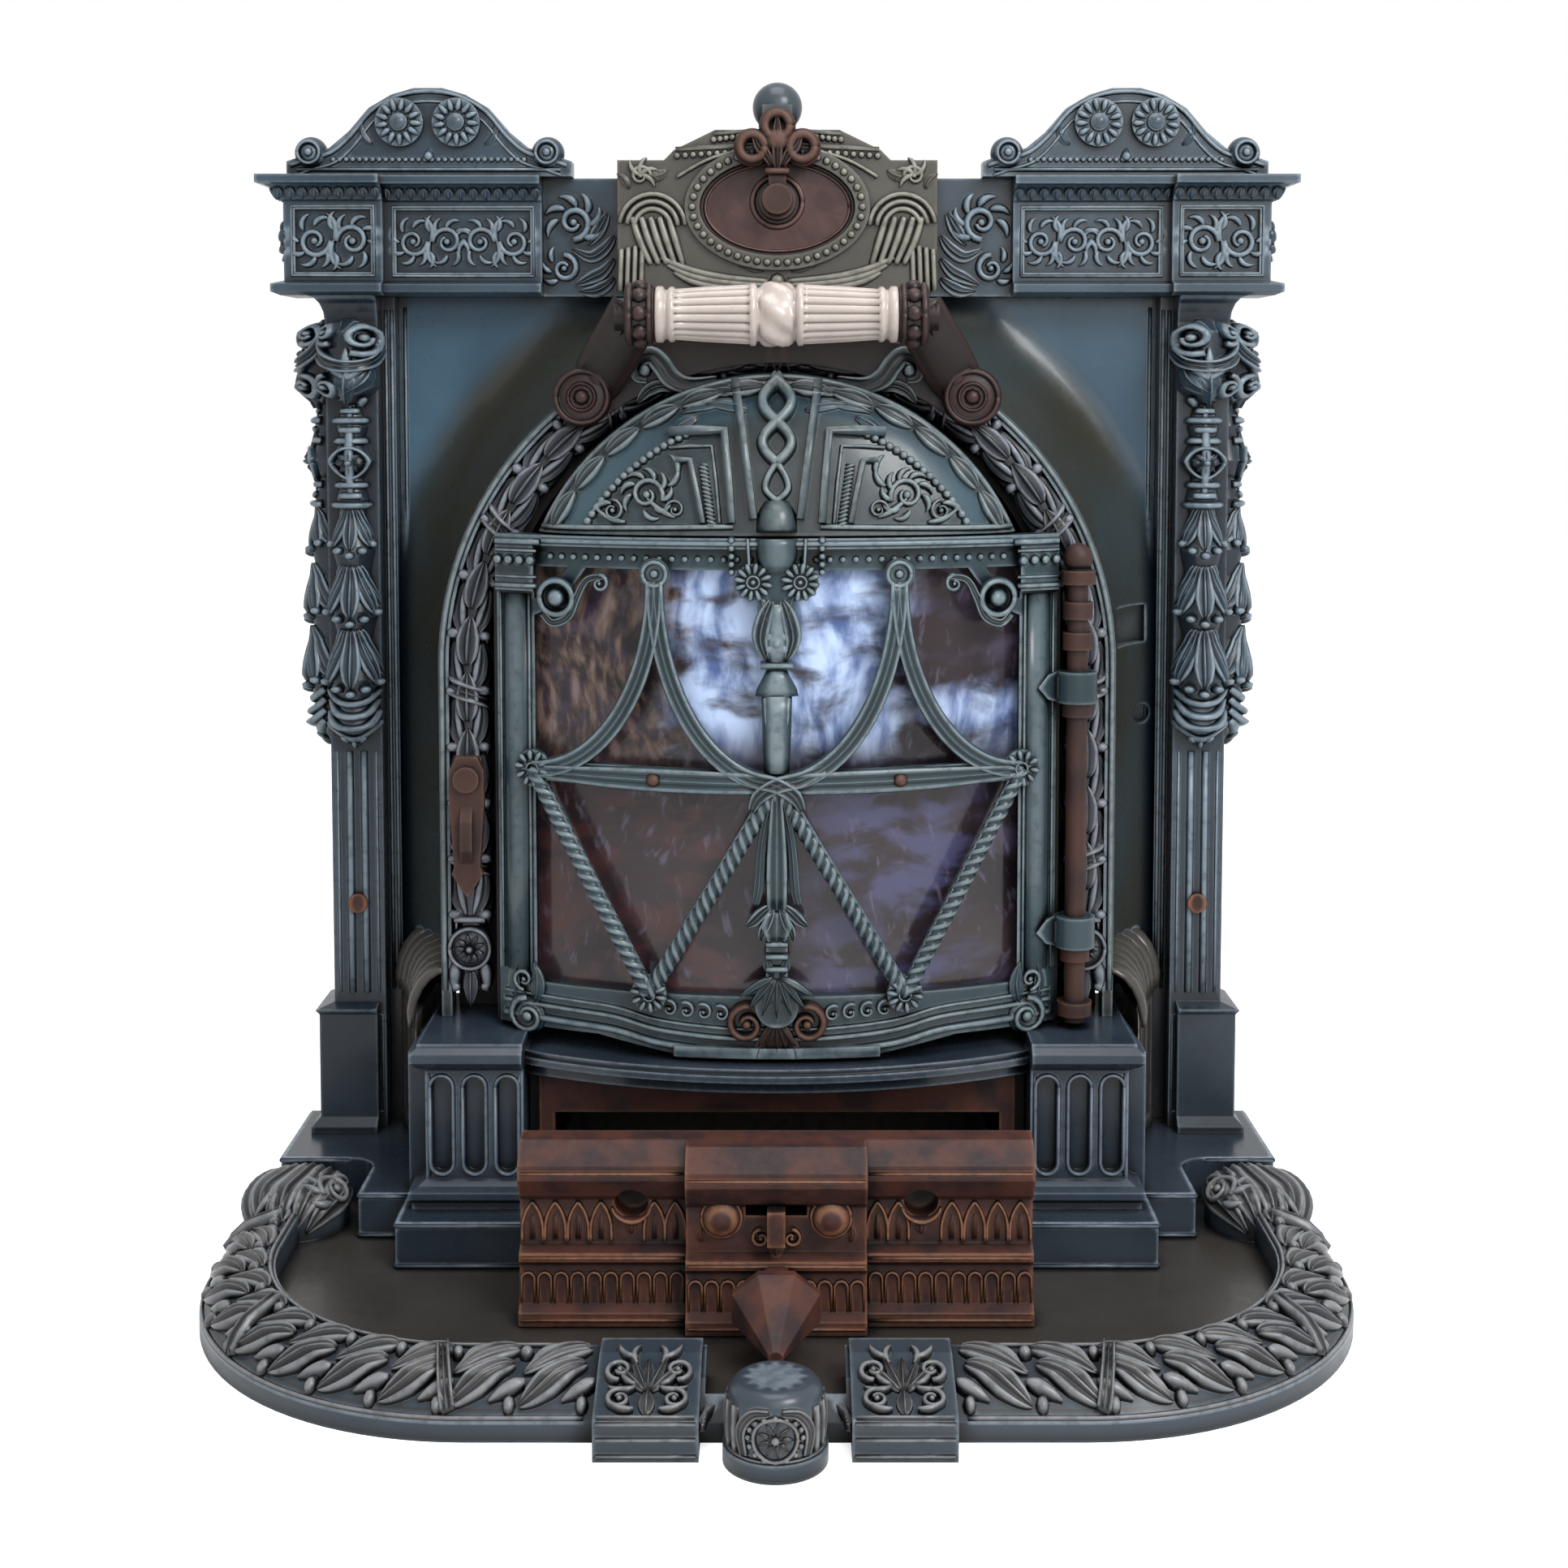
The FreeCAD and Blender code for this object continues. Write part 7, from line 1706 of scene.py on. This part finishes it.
# Door
CROSSING = 284.0
SIDE_ROSETTE = (139.0, 287.0)
LOW_ROSETTE = (72.0, 163.0)
CENTRE_ROSETTE = (13.0, 396.0)
RING_PLACE = (68.0, 400.0)
CORNER_ROSETTE = (124.35, 385.2)
DRAPERY_TOP = 395.75


@drawn
def door_frame_relief(relief):
    relief.stroke(line(149.5, 168, 149.5, 386, 4), 15.0, 2.4, SMOOTH)
    for x in (141.2, 158.6):
        relief.stroke(line(x, 168, x, 386, 4), 2.2, 1.6)
    for base, width, rise in ((0.0, 5.0, 3.0), (7.5, 3.6, 2.4), (13.0, 2.6, 1.8)):
        path = flowing([(158, 142 + base), (120, 141 + base), (92, 139.5 + base), (66, 134 + base),
                        (30, 131 + base), (0, 131 + base)])
        relief.stroke(path, width, rise)
    for i in range(4):
        relief.scroll(31.5 + 9.8 * i, 152.5 + i * 0.6, 5.0, 60.0, 330.0, 2.8, 3.2)
    relief.bead(144.0, 142.0, 11.5, 3.0, 0.0, 20)
    relief.scroll(144.0, 142.0, 11.0, 90.0, -450.0, 5.0, 5.6)
    relief.bead(144.0, 142.0, 4.4, 7.0)
    relief.scroll(146.0, 163.0, 6.5, -90.0, 400.0, 3.6, 3.6)
    relief.leaf(140.0, 150.0, 110.0, 24.0, 10.0, 4.2, -40.0)
    relief.leaf(150.0, 150.0, 75.0, 22.0, 8.0, 3.6, 30.0)
    relief.mirror()


@drawn
def capital_relief(relief):
    relief.stroke(line(136, 391, 161, 391, 4), 3.4, 2.2)
    relief.stroke(line(136, 396, 161, 396, 4), 2.2, 1.4)
    relief.stroke(line(134, 416, 161, 416, 4), 4.4, 2.4)
    for i in range(4):
        relief.bead(139.6 + 6.6 * i, 405.5, 3.3, 3.8)
    relief.stroke(line(136, 411, 161, 411, 4), 2.4, 1.8)
    relief.mirror()


def grille_stem(relief):
    """Baluster down the door's middle, from the drapery to the leaves at its foot."""
    relief.stroke(line(0, 384, 0, 352, 6), (8, 12, 16, 11), 3.6)
    relief.bead(0.0, 362.0, 3.4, 5.0)
    relief.stroke(line(-9, 350, 9, 350, 4), 4.6, 4.6)
    relief.stroke(line(0, 347, 0, 333, 5), (12, 16, 22, 24), (3, 4.6, 4.6, 3))
    relief.stroke(line(0, 333, 0, 290, 5), (17, 16, 14), 3.8)
    relief.stroke(line(0, 280, 0, 214, 8), (6, 9, 12, 13, 12), 3.6, RIBBON)
    relief.stroke(line(0, 212, 0, 196, 5), (14, 20, 12), 4.0, RIBBON)
    for z in (194.0, 187.0, 180.0):
        relief.stroke(line(-6, z, 6, z, 4), 4.4, 3.8)
    relief.fan(0.0, 176.0, 2.0, 24.0, 210.0, 330.0, 7, 6.0, 4.2)


@drawn
def grille_relief(relief):
    """Drapery ribs, rings, rosettes and leaves of the grille."""
    relief.stroke(arc(0.0, DRAPERY_TOP, 68.0, 0.0, -90.0, 22, 111.75 / 68.0), 10.6, 2.8, RIBBON)
    relief.stroke(arc(139.0, DRAPERY_TOP, 71.0, 180.0, 270.0, 22, 108.75 / 71.0), 10.6, 2.8, RIBBON)
    relief.stroke(line(10, CROSSING, 132, 286, 12), (13, 14, 14, 12, 8), 3.0, RIBBON)
    relief.ring(*RING_PLACE, 6.6, 3.4, 2.4)
    relief.bead(*RING_PLACE, 3.0, 2.4)
    relief.ring(*CORNER_ROSETTE, 9.6, 4.4, 3.4)
    relief.bead(*CORNER_ROSETTE, 5.6, 6.0, 0.0, 12)
    relief.stroke(flowing([(132, 376), (126, 371), (117, 375), (112, 386), (106, 396), (96, 398)]),
                  (4, 5, 5, 4, 3), 3.0, RIBBON)
    relief.scroll(99.0, 394.0, 5.0, 90.0, 380.0, 3.0, 2.6)
    relief.leaf(9.0, 388.0, -110.0, 18.0, 7.0, 3.4, 50.0)
    relief.leaf(3.0, 372.0, 50.0, 15.0, 7.0, 3.4, 40.0)
    for z in (366.0, 359.0):
        relief.bead(4.2, z, 3.2, 3.6)
    relief.stroke(line(6.5, 332, 4.2, 296, 5), 3.4, 2.6)
    relief.stroke(flowing([(3, 276), (8, 252), (10, 226), (12, 216)]), (4, 5, 6, 4), 3.4, LEAF)
    relief.pod([(3, 216), (8, 212), (13, 207), (17, 204)], 7.0, 4.6)
    relief.pod([(2, 214), (5, 207), (8, 201), (9, 196)], 6.0, 4.6)
    relief.leaf(2.0, 176.0, 55.0, 14.0, 6.0, 3.4, 40.0)
    relief.stroke(flowing([(26, 292.5), (13, 286.5), (0, 283.5), (-10, 277), (-14, 269)]),
                  (6, 10, 10, 9, 4), (1.5, 4.6, 6.4, 5.0, 3.0), RIBBON)
    relief.pod([(3, 386), (7, 376), (9, 364), (5, 352)], 10.0, 4.6)
    relief.mirror()
    grille_stem(relief)


@drawn
def volute_pair(relief):
    """Rusty twin volutes and leaf at the foot of the door."""
    relief.scroll(17.0, 147.0, 11.0, 110.0, -450.0, 5.0, 4.2)
    relief.leaf(6.0, 140.0, -50.0, 15.0, 7.0, 4.0, -40.0)
    relief.mirror()
    relief.fan(0.0, 150.0, 2.0, 18.0, 235.0, 305.0, 5, 6.0, 4.6)


@drawn
def lintel_relief(relief):
    """Edge of the door's top rail, with a keystone and beads beside it."""
    relief.stroke(line(-133, 417, 133, 417, 40), 3.6, 1.6)
    relief.stroke(line(0, 420, 0, 402, 6), (23, 23, 22, 16), (8, 8, 7, 4), SMOOTH)
    for side in (1, -1):
        for i in range(5):
            relief.bead(side * 25.0, 419.0 - 4.4 * i, 2.2, 3.4)
        relief.stroke(line(side * 16, 420, side * 15, 401, 4), 2.6, 2.6)


def carve_door():
    finish = FINISHES["door"]
    face, raised, proud = bow(0.0), bow(GRILLE_THICK), bow(5.0)
    carving = Carving()
    carving.put(door_frame_relief(), face)
    carving.put(capital_relief(), proud)
    carving.put(lintel_relief(), proud)
    row(carving, line(-128, 408, 128, 408, 40), face, bead_motif(2.4), 37, finish)
    carving.put(grille_relief(), raised)
    for side in (1, -1):
        for start in (SIDE_ROSETTE, (0.0, CROSSING - 2.0)):
            path = line(side * start[0], start[1], side * LOW_ROSETTE[0], LOW_ROSETTE[1], 12)
            rope(carving, path, bow(GRILLE_THICK - 1.0), 4.8, 3, side * 7, finish)
        for (x, z), radius, count in ((SIDE_ROSETTE, 7.6, 10), (LOW_ROSETTE, 7.4, 10),
                                      (CENTRE_ROSETTE, 7.6, 12)):
            beaded_rosette(carving, side * x, z, radius, bow(GRILLE_THICK + 0.5), count, finish, 0.82)
    carving.finish("door_ornament", finish, "door", "enamel")
    rusty = Carving().put(volute_pair(), bow(1.5))
    bolts = Relief()
    for side in (1, -1):
        bolts.bead(side * 69.0, 285.0, 4.4, 4.0)
    rusty.put(bolts, bow(GRILLE_THICK + 1.0))
    rusty.finish("door_rusty_ornament", FINISHES["umber"], "door", "rusty_iron")


# Ash drawer
DRAWER_BACK = 236.0
ARCH_FRIEZE, FLUTE_FRIEZE = 14.0, 19.0
CENTRE_PROUD = 11.0
AIR_HOLE = (76.0, 77.0)
BOSS_PLACE = (28.5, 73.0)


def pointed_arch(relief):
    for side in (1, -1):
        relief.stroke(flowing([(side * 5.4, -11), (side * 5.2, -2), (side * 3.2, 5), (0, 10)], 3), 2.2, 2.0)
    relief.stroke([(0.0, -10.0), (0.0, -3.0), (0.0, 3.0)], (3.0, 3.6, 1.0), 1.8, LEAF)


def arcade_flute(relief):
    relief.stroke([(-3.4, -9.0), (-3.4, 3.4)] + arc(0.0, 3.6, 3.4, 160, 20, 5) + [(3.4, 3.4), (3.4, -9.0)],
                  1.7, 1.7)


@drawn
def air_hole_relief(relief):
    """Lip under an air hole and a leaf below it."""
    relief.stroke(arc(*AIR_HOLE, 10.6, 195, 345, 12), (1.5, 4.0, 1.5), 3.4)
    relief.leaf(AIR_HOLE[0], 60.0, 90.0, 8.0, 6.0, 2.4)


@drawn
def drawer_boss(relief):
    """Rings of a round boss beside the knob."""
    relief.ring(*BOSS_PLACE, 10.2, 2.8, 2.4)
    relief.ring(*BOSS_PLACE, 6.0, 2.4, 2.0, 5.0)
    relief.leaf(BOSS_PLACE[0] + 10, 60.0, 70.0, 10.0, 5.0, 2.4, 40.0)


@drawn
def drawer_fillets(relief):
    """Thin fillets along the drawer's bands."""
    for z, out in ((49.5, 22.0), (96.0, 26.0), (18.0, 26.0)):
        for side in (1, -1):
            relief.stroke(line(side * 48, z, side * 133, z, 4), 2.0, 0.9, ROUND, out)
        relief.stroke(line(-46, z, 46, z, 4), 2.0, 0.9, ROUND, out + CENTRE_PROUD)


@drawn
def drawer_leaf(relief):
    """Leaf between two volutes, over the knob."""
    relief.leaf(0.0, 66.0, -90.0, 18.0, 10.0, 4.0)
    for side in (1, -1):
        relief.scroll(side * 8.0, 62.0, 5.0, 90.0, side * -400.0, 2.8, 3.0)


def carve_drawer():
    finish = FINISHES["rust"]
    carving = Carving()
    arch_item, flute_item = motif("pointed arch", pointed_arch), motif("arcade flute", arcade_flute)
    side_face = flat(DRAWER_BACK + ARCH_FRIEZE)
    for side in (1, -1):
        row(carving, line(side * 92, 67, side * 128, 67), side_face, arch_item, 4, finish)
        row(carving, line(side * 53, 67, side * 64, 67), side_face, arch_item, 2, finish)
        row(carving, line(side * 52, 34, side * 130, 34), flat(DRAWER_BACK + FLUTE_FRIEZE), flute_item, 10,
            finish)
        carving.put(air_hole_relief(), flat(DRAWER_BACK + ARCH_FRIEZE, side))
        carving.put(drawer_boss(), flat(DRAWER_BACK + ARCH_FRIEZE + CENTRE_PROUD, side))
    row(carving, line(-42, 34, 42, 34), flat(DRAWER_BACK + FLUTE_FRIEZE + CENTRE_PROUD), flute_item, 11,
        finish)
    carving.put(drawer_fillets(), flat(DRAWER_BACK))
    carving.put(drawer_leaf(), flat(DRAWER_BACK + ARCH_FRIEZE + CENTRE_PROUD))
    carving.finish("drawer_ornament", finish, "drawer", "rusty_iron")


# Stage
CAMERA_X = 4.0
CAMERA_FRONT = 1350.0
CAMERA_HEIGHT = 502.0
CAMERA_PITCH = 4.0
CAMERA_LENS = 49.3
CAMERA_SHIFT = -0.156
PAPER_GLOW = 0.62
FLOOR_REACH = 6.0
STAGE_MIDDLE = (0.0, 60.0, 330.0)
SENSOR_WIDTH = 36.0
# Lamps: name, place, size in metres and share of the main lamp's power
LAMPS = (("key", (900.0, 1300.0, 1500.0), 0.7, 1.0), ("fill", (350.0, 1500.0, 1000.0), 1.2, 0.32),
         ("top", (0.0, 300.0, 1900.0), 1.0, 0.5))


def stage_material(name, colour):
    """Matt white that the camera sees as plain white paper, with the object's shadow left on it."""
    material, tree, surface = new_material(name)
    shaded = scaled(colour[:3], 0.985) + [1.0]
    tone = mix_colour(tree, noise(tree, on_object(tree), 3.0), colour, shaded)
    seen = tree_node(tree, "ShaderNodeLightPath").outputs["Is Camera Ray"]
    feed(tree, surface, {"Base Color": tone, "Roughness": 0.9, "Specular IOR Level": 0.05,
                         "Emission Color": WHITE, "Emission Strength": times(tree, seen, PAPER_GLOW)})
    return material


def area_lamp(name, place, size, power):
    lamp = bpy.data.lights.new(name, "AREA")
    lamp.size = size
    lamp.energy = power
    holder = bpy.data.objects.new(name, lamp)
    holder.location = at(*place)
    holder.rotation_euler = (at(*STAGE_MIDDLE) - holder.location).to_track_quat("-Z", "Y").to_euler()
    bpy.context.scene.collection.objects.link(holder)


def paper_floor(scene):
    floor = bpy.data.meshes.new("floor")
    corners = [(x * FLOOR_REACH, y * FLOOR_REACH, 0) for x, y in ((-1, -1), (1, -1), (1, 1), (-1, 1))]
    floor.from_pydata(corners, [], [(0, 1, 2, 3)])
    floor.materials.append(stage_material("pale floor", (0.94, 0.94, 0.94, 1.0)))
    ground = bpy.data.objects.new("floor", floor)
    scene.collection.objects.link(ground)


def studio_sky(scene, strength):
    """Even light from all round that looks plain white to the camera and in reflections."""
    world = bpy.data.worlds.new("studio")
    scene.world = world
    world.use_nodes = True
    tree = world.node_tree
    tree.nodes.clear()
    path = tree_node(tree, "ShaderNodeLightPath").outputs
    seen = math_node(tree, "MAXIMUM", path["Is Camera Ray"], path["Is Transmission Ray"])
    seen = math_node(tree, "MAXIMUM", seen, path["Is Glossy Ray"])
    level = tree_node(tree, "ShaderNodeMapRange", {"Value": seen, "To Min": strength, "To Max": 1.0})
    sky = tree_node(tree, "ShaderNodeBackground", {"Color": WHITE, "Strength": level.outputs["Result"]})
    tree_node(tree, "ShaderNodeOutputWorld", {"Surface": sky.outputs["Background"]})


def place_camera(scene):
    lens = bpy.data.cameras.new("camera")
    lens.lens = CAMERA_LENS
    lens.sensor_width = SENSOR_WIDTH
    lens.shift_y = CAMERA_SHIFT
    camera = bpy.data.objects.new("camera", lens)
    camera.location = at(CAMERA_X, CAMERA_FRONT, CAMERA_HEIGHT)
    camera.rotation_euler = (math.radians(90.0 - CAMERA_PITCH), 0.0, 0.0)
    scene.collection.objects.link(camera)
    scene.camera = camera


def build_stage(settings):
    scene = bpy.context.scene
    scene.view_settings.view_transform = "Standard"
    paper_floor(scene)
    studio_sky(scene, settings.sky_level)
    for name, place, size, share in LAMPS:
        area_lamp(name, place, size, settings.key_power * share)
    place_camera(scene)


class StoveSettings(bpy.types.PropertyGroup):
    """Sizes, colours and levels that a user would change."""
    relief_depth: FloatProperty(name="Relief depth", default=1.0, min=0.2, max=1.2,
                                description="How far carved ornament stands out, 1 as cast")
    grip_flutes: IntProperty(name="Grip flutes", description="Flutes round the porcelain grip", default=18,
                             min=6, max=40)
    glaze_colour: FloatVectorProperty(name="Glaze", description="Blue glaze of the friezes",
                                      subtype="COLOR_GAMMA", default=(0.15, 0.2, 0.24), min=0.0, max=1.0)
    rust_colour: FloatVectorProperty(name="Rust", description="Bare iron of the drawer and bolts",
                                     subtype="COLOR_GAMMA", default=(0.275, 0.155, 0.122), min=0.0, max=1.0)
    porcelain_colour: FloatVectorProperty(name="Porcelain", description="White of the grip",
                                          subtype="COLOR_GAMMA", default=(0.67, 0.63, 0.605),
                                          min=0.0, max=1.0)
    sky_level: FloatProperty(name="Sky level", description="Strength of the even light from all round",
                             default=0.62, min=0.0, max=2.0)
    key_power: FloatProperty(name="Key lamp", description="Power of the main soft lamp", default=26.0,
                             unit="POWER")


class STOVE_OT_dress_castings(bpy.types.Operator):
    """Gives every casting its glaze, rust, mica or brick"""
    bl_idname = "stove.dress_castings"
    bl_label = "Dress castings"

    def execute(self, context):
        make_finishes(context.scene.stove)
        dress_castings()
        return {"FINISHED"}


class STOVE_OT_carve_hearth(bpy.types.Operator):
    """Carves the hearth's leafy border, front blocks and boss"""
    bl_idname = "stove.carve_hearth"
    bl_label = "Carve hearth"

    def execute(self, context):
        carve_hearth()
        return {"FINISHED"}


class STOVE_OT_carve_base(bpy.types.Operator):
    """Rims the pedestal flutes and folds the consoles beside them"""
    bl_idname = "stove.carve_base"
    bl_label = "Carve base"

    def execute(self, context):
        carve_base()
        return {"FINISHED"}


class STOVE_OT_carve_pilasters(bpy.types.Operator):
    """Hangs the leaf drops and runs the reeds on both pilasters"""
    bl_idname = "stove.carve_pilasters"
    bl_label = "Carve pilasters"

    def execute(self, context):
        carve_pilasters()
        return {"FINISHED"}


class STOVE_OT_carve_entablature(bpy.types.Operator):
    """Carves the frieze scrolls and the cornice leaves"""
    bl_idname = "stove.carve_entablature"
    bl_label = "Carve entablature"

    def execute(self, context):
        carve_entablature()
        return {"FINISHED"}


class STOVE_OT_carve_pediments(bpy.types.Operator):
    """Carves both pediments' edges, beads and rosettes"""
    bl_idname = "stove.carve_pediments"
    bl_label = "Carve pediments"

    def execute(self, context):
        carve_pediments()
        return {"FINISHED"}


class STOVE_OT_carve_cartouche(bpy.types.Operator):
    """Carves the cartouche's beads, drapery and the scrolls beside it"""
    bl_idname = "stove.carve_cartouche"
    bl_label = "Carve cartouche"

    def execute(self, context):
        carve_cartouche()
        return {"FINISHED"}


class STOVE_OT_carve_key(bpy.types.Operator):
    """Carves the damper key and its oval plate"""
    bl_idname = "stove.carve_key"
    bl_label = "Carve key"

    def execute(self, context):
        carve_key()
        return {"FINISHED"}


class STOVE_OT_carve_arch(bpy.types.Operator):
    """Winds laurel round the garland and runs the rim's bead"""
    bl_idname = "stove.carve_arch"
    bl_label = "Carve arch"

    def execute(self, context):
        carve_arch()
        return {"FINISHED"}


class STOVE_OT_carve_hood(bpy.types.Operator):
    """Carves the hood's bands, frames, keystone and scrolls"""
    bl_idname = "stove.carve_hood"
    bl_label = "Carve hood"

    def execute(self, context):
        carve_hood()
        return {"FINISHED"}


class STOVE_OT_carve_handle(bpy.types.Operator):
    """Broadens the handle arms and turns the fluted grip"""
    bl_idname = "stove.carve_handle"
    bl_label = "Carve handle"

    def execute(self, context):
        carve_handle()
        return {"FINISHED"}


class STOVE_OT_carve_door(bpy.types.Operator):
    """Carves the door's frame, drapery, ropes and rosettes"""
    bl_idname = "stove.carve_door"
    bl_label = "Carve door"

    def execute(self, context):
        carve_door()
        return {"FINISHED"}


class STOVE_OT_carve_drawer(bpy.types.Operator):
    """Carves the drawer's arches and flutes"""
    bl_idname = "stove.carve_drawer"
    bl_label = "Carve drawer"

    def execute(self, context):
        carve_drawer()
        return {"FINISHED"}


class STOVE_OT_build_stage(bpy.types.Operator):
    """Makes the floor, the studio light and the camera"""
    bl_idname = "stove.build_stage"
    bl_label = "Build stage"

    def execute(self, context):
        build_stage(context.scene.stove)
        return {"FINISHED"}


STEPS = (STOVE_OT_dress_castings, STOVE_OT_carve_hearth, STOVE_OT_carve_base, STOVE_OT_carve_pilasters,
         STOVE_OT_carve_entablature, STOVE_OT_carve_pediments, STOVE_OT_carve_cartouche, STOVE_OT_carve_key,
         STOVE_OT_carve_arch, STOVE_OT_carve_hood, STOVE_OT_carve_handle, STOVE_OT_carve_door,
         STOVE_OT_carve_drawer, STOVE_OT_build_stage)


class STOVE_PT_steps(bpy.types.Panel):
    """Lists the steps that build the stove"""
    bl_label = "Cast iron stove"
    bl_space_type = "VIEW_3D"
    bl_region_type = "UI"
    bl_category = "Stove"

    def draw(self, context):
        for step in STEPS:
            self.layout.operator(step.bl_idname)
        for name in StoveSettings.__annotations__:
            self.layout.prop(context.scene.stove, name)


CLASSES = (StoveSettings,) + STEPS + (STOVE_PT_steps,)


def register():
    for item in CLASSES:
        bpy.utils.register_class(item)
    bpy.types.Scene.stove = PointerProperty(type=StoveSettings)


def unregister():
    del bpy.types.Scene.stove
    for item in reversed(CLASSES):
        bpy.utils.unregister_class(item)


def main():
    register()
    for step in STEPS:
        group, name = step.bl_idname.split(".")
        getattr(getattr(bpy.ops, group), name)()
    clear_motifs()


if __name__ == "__main__":
    main()
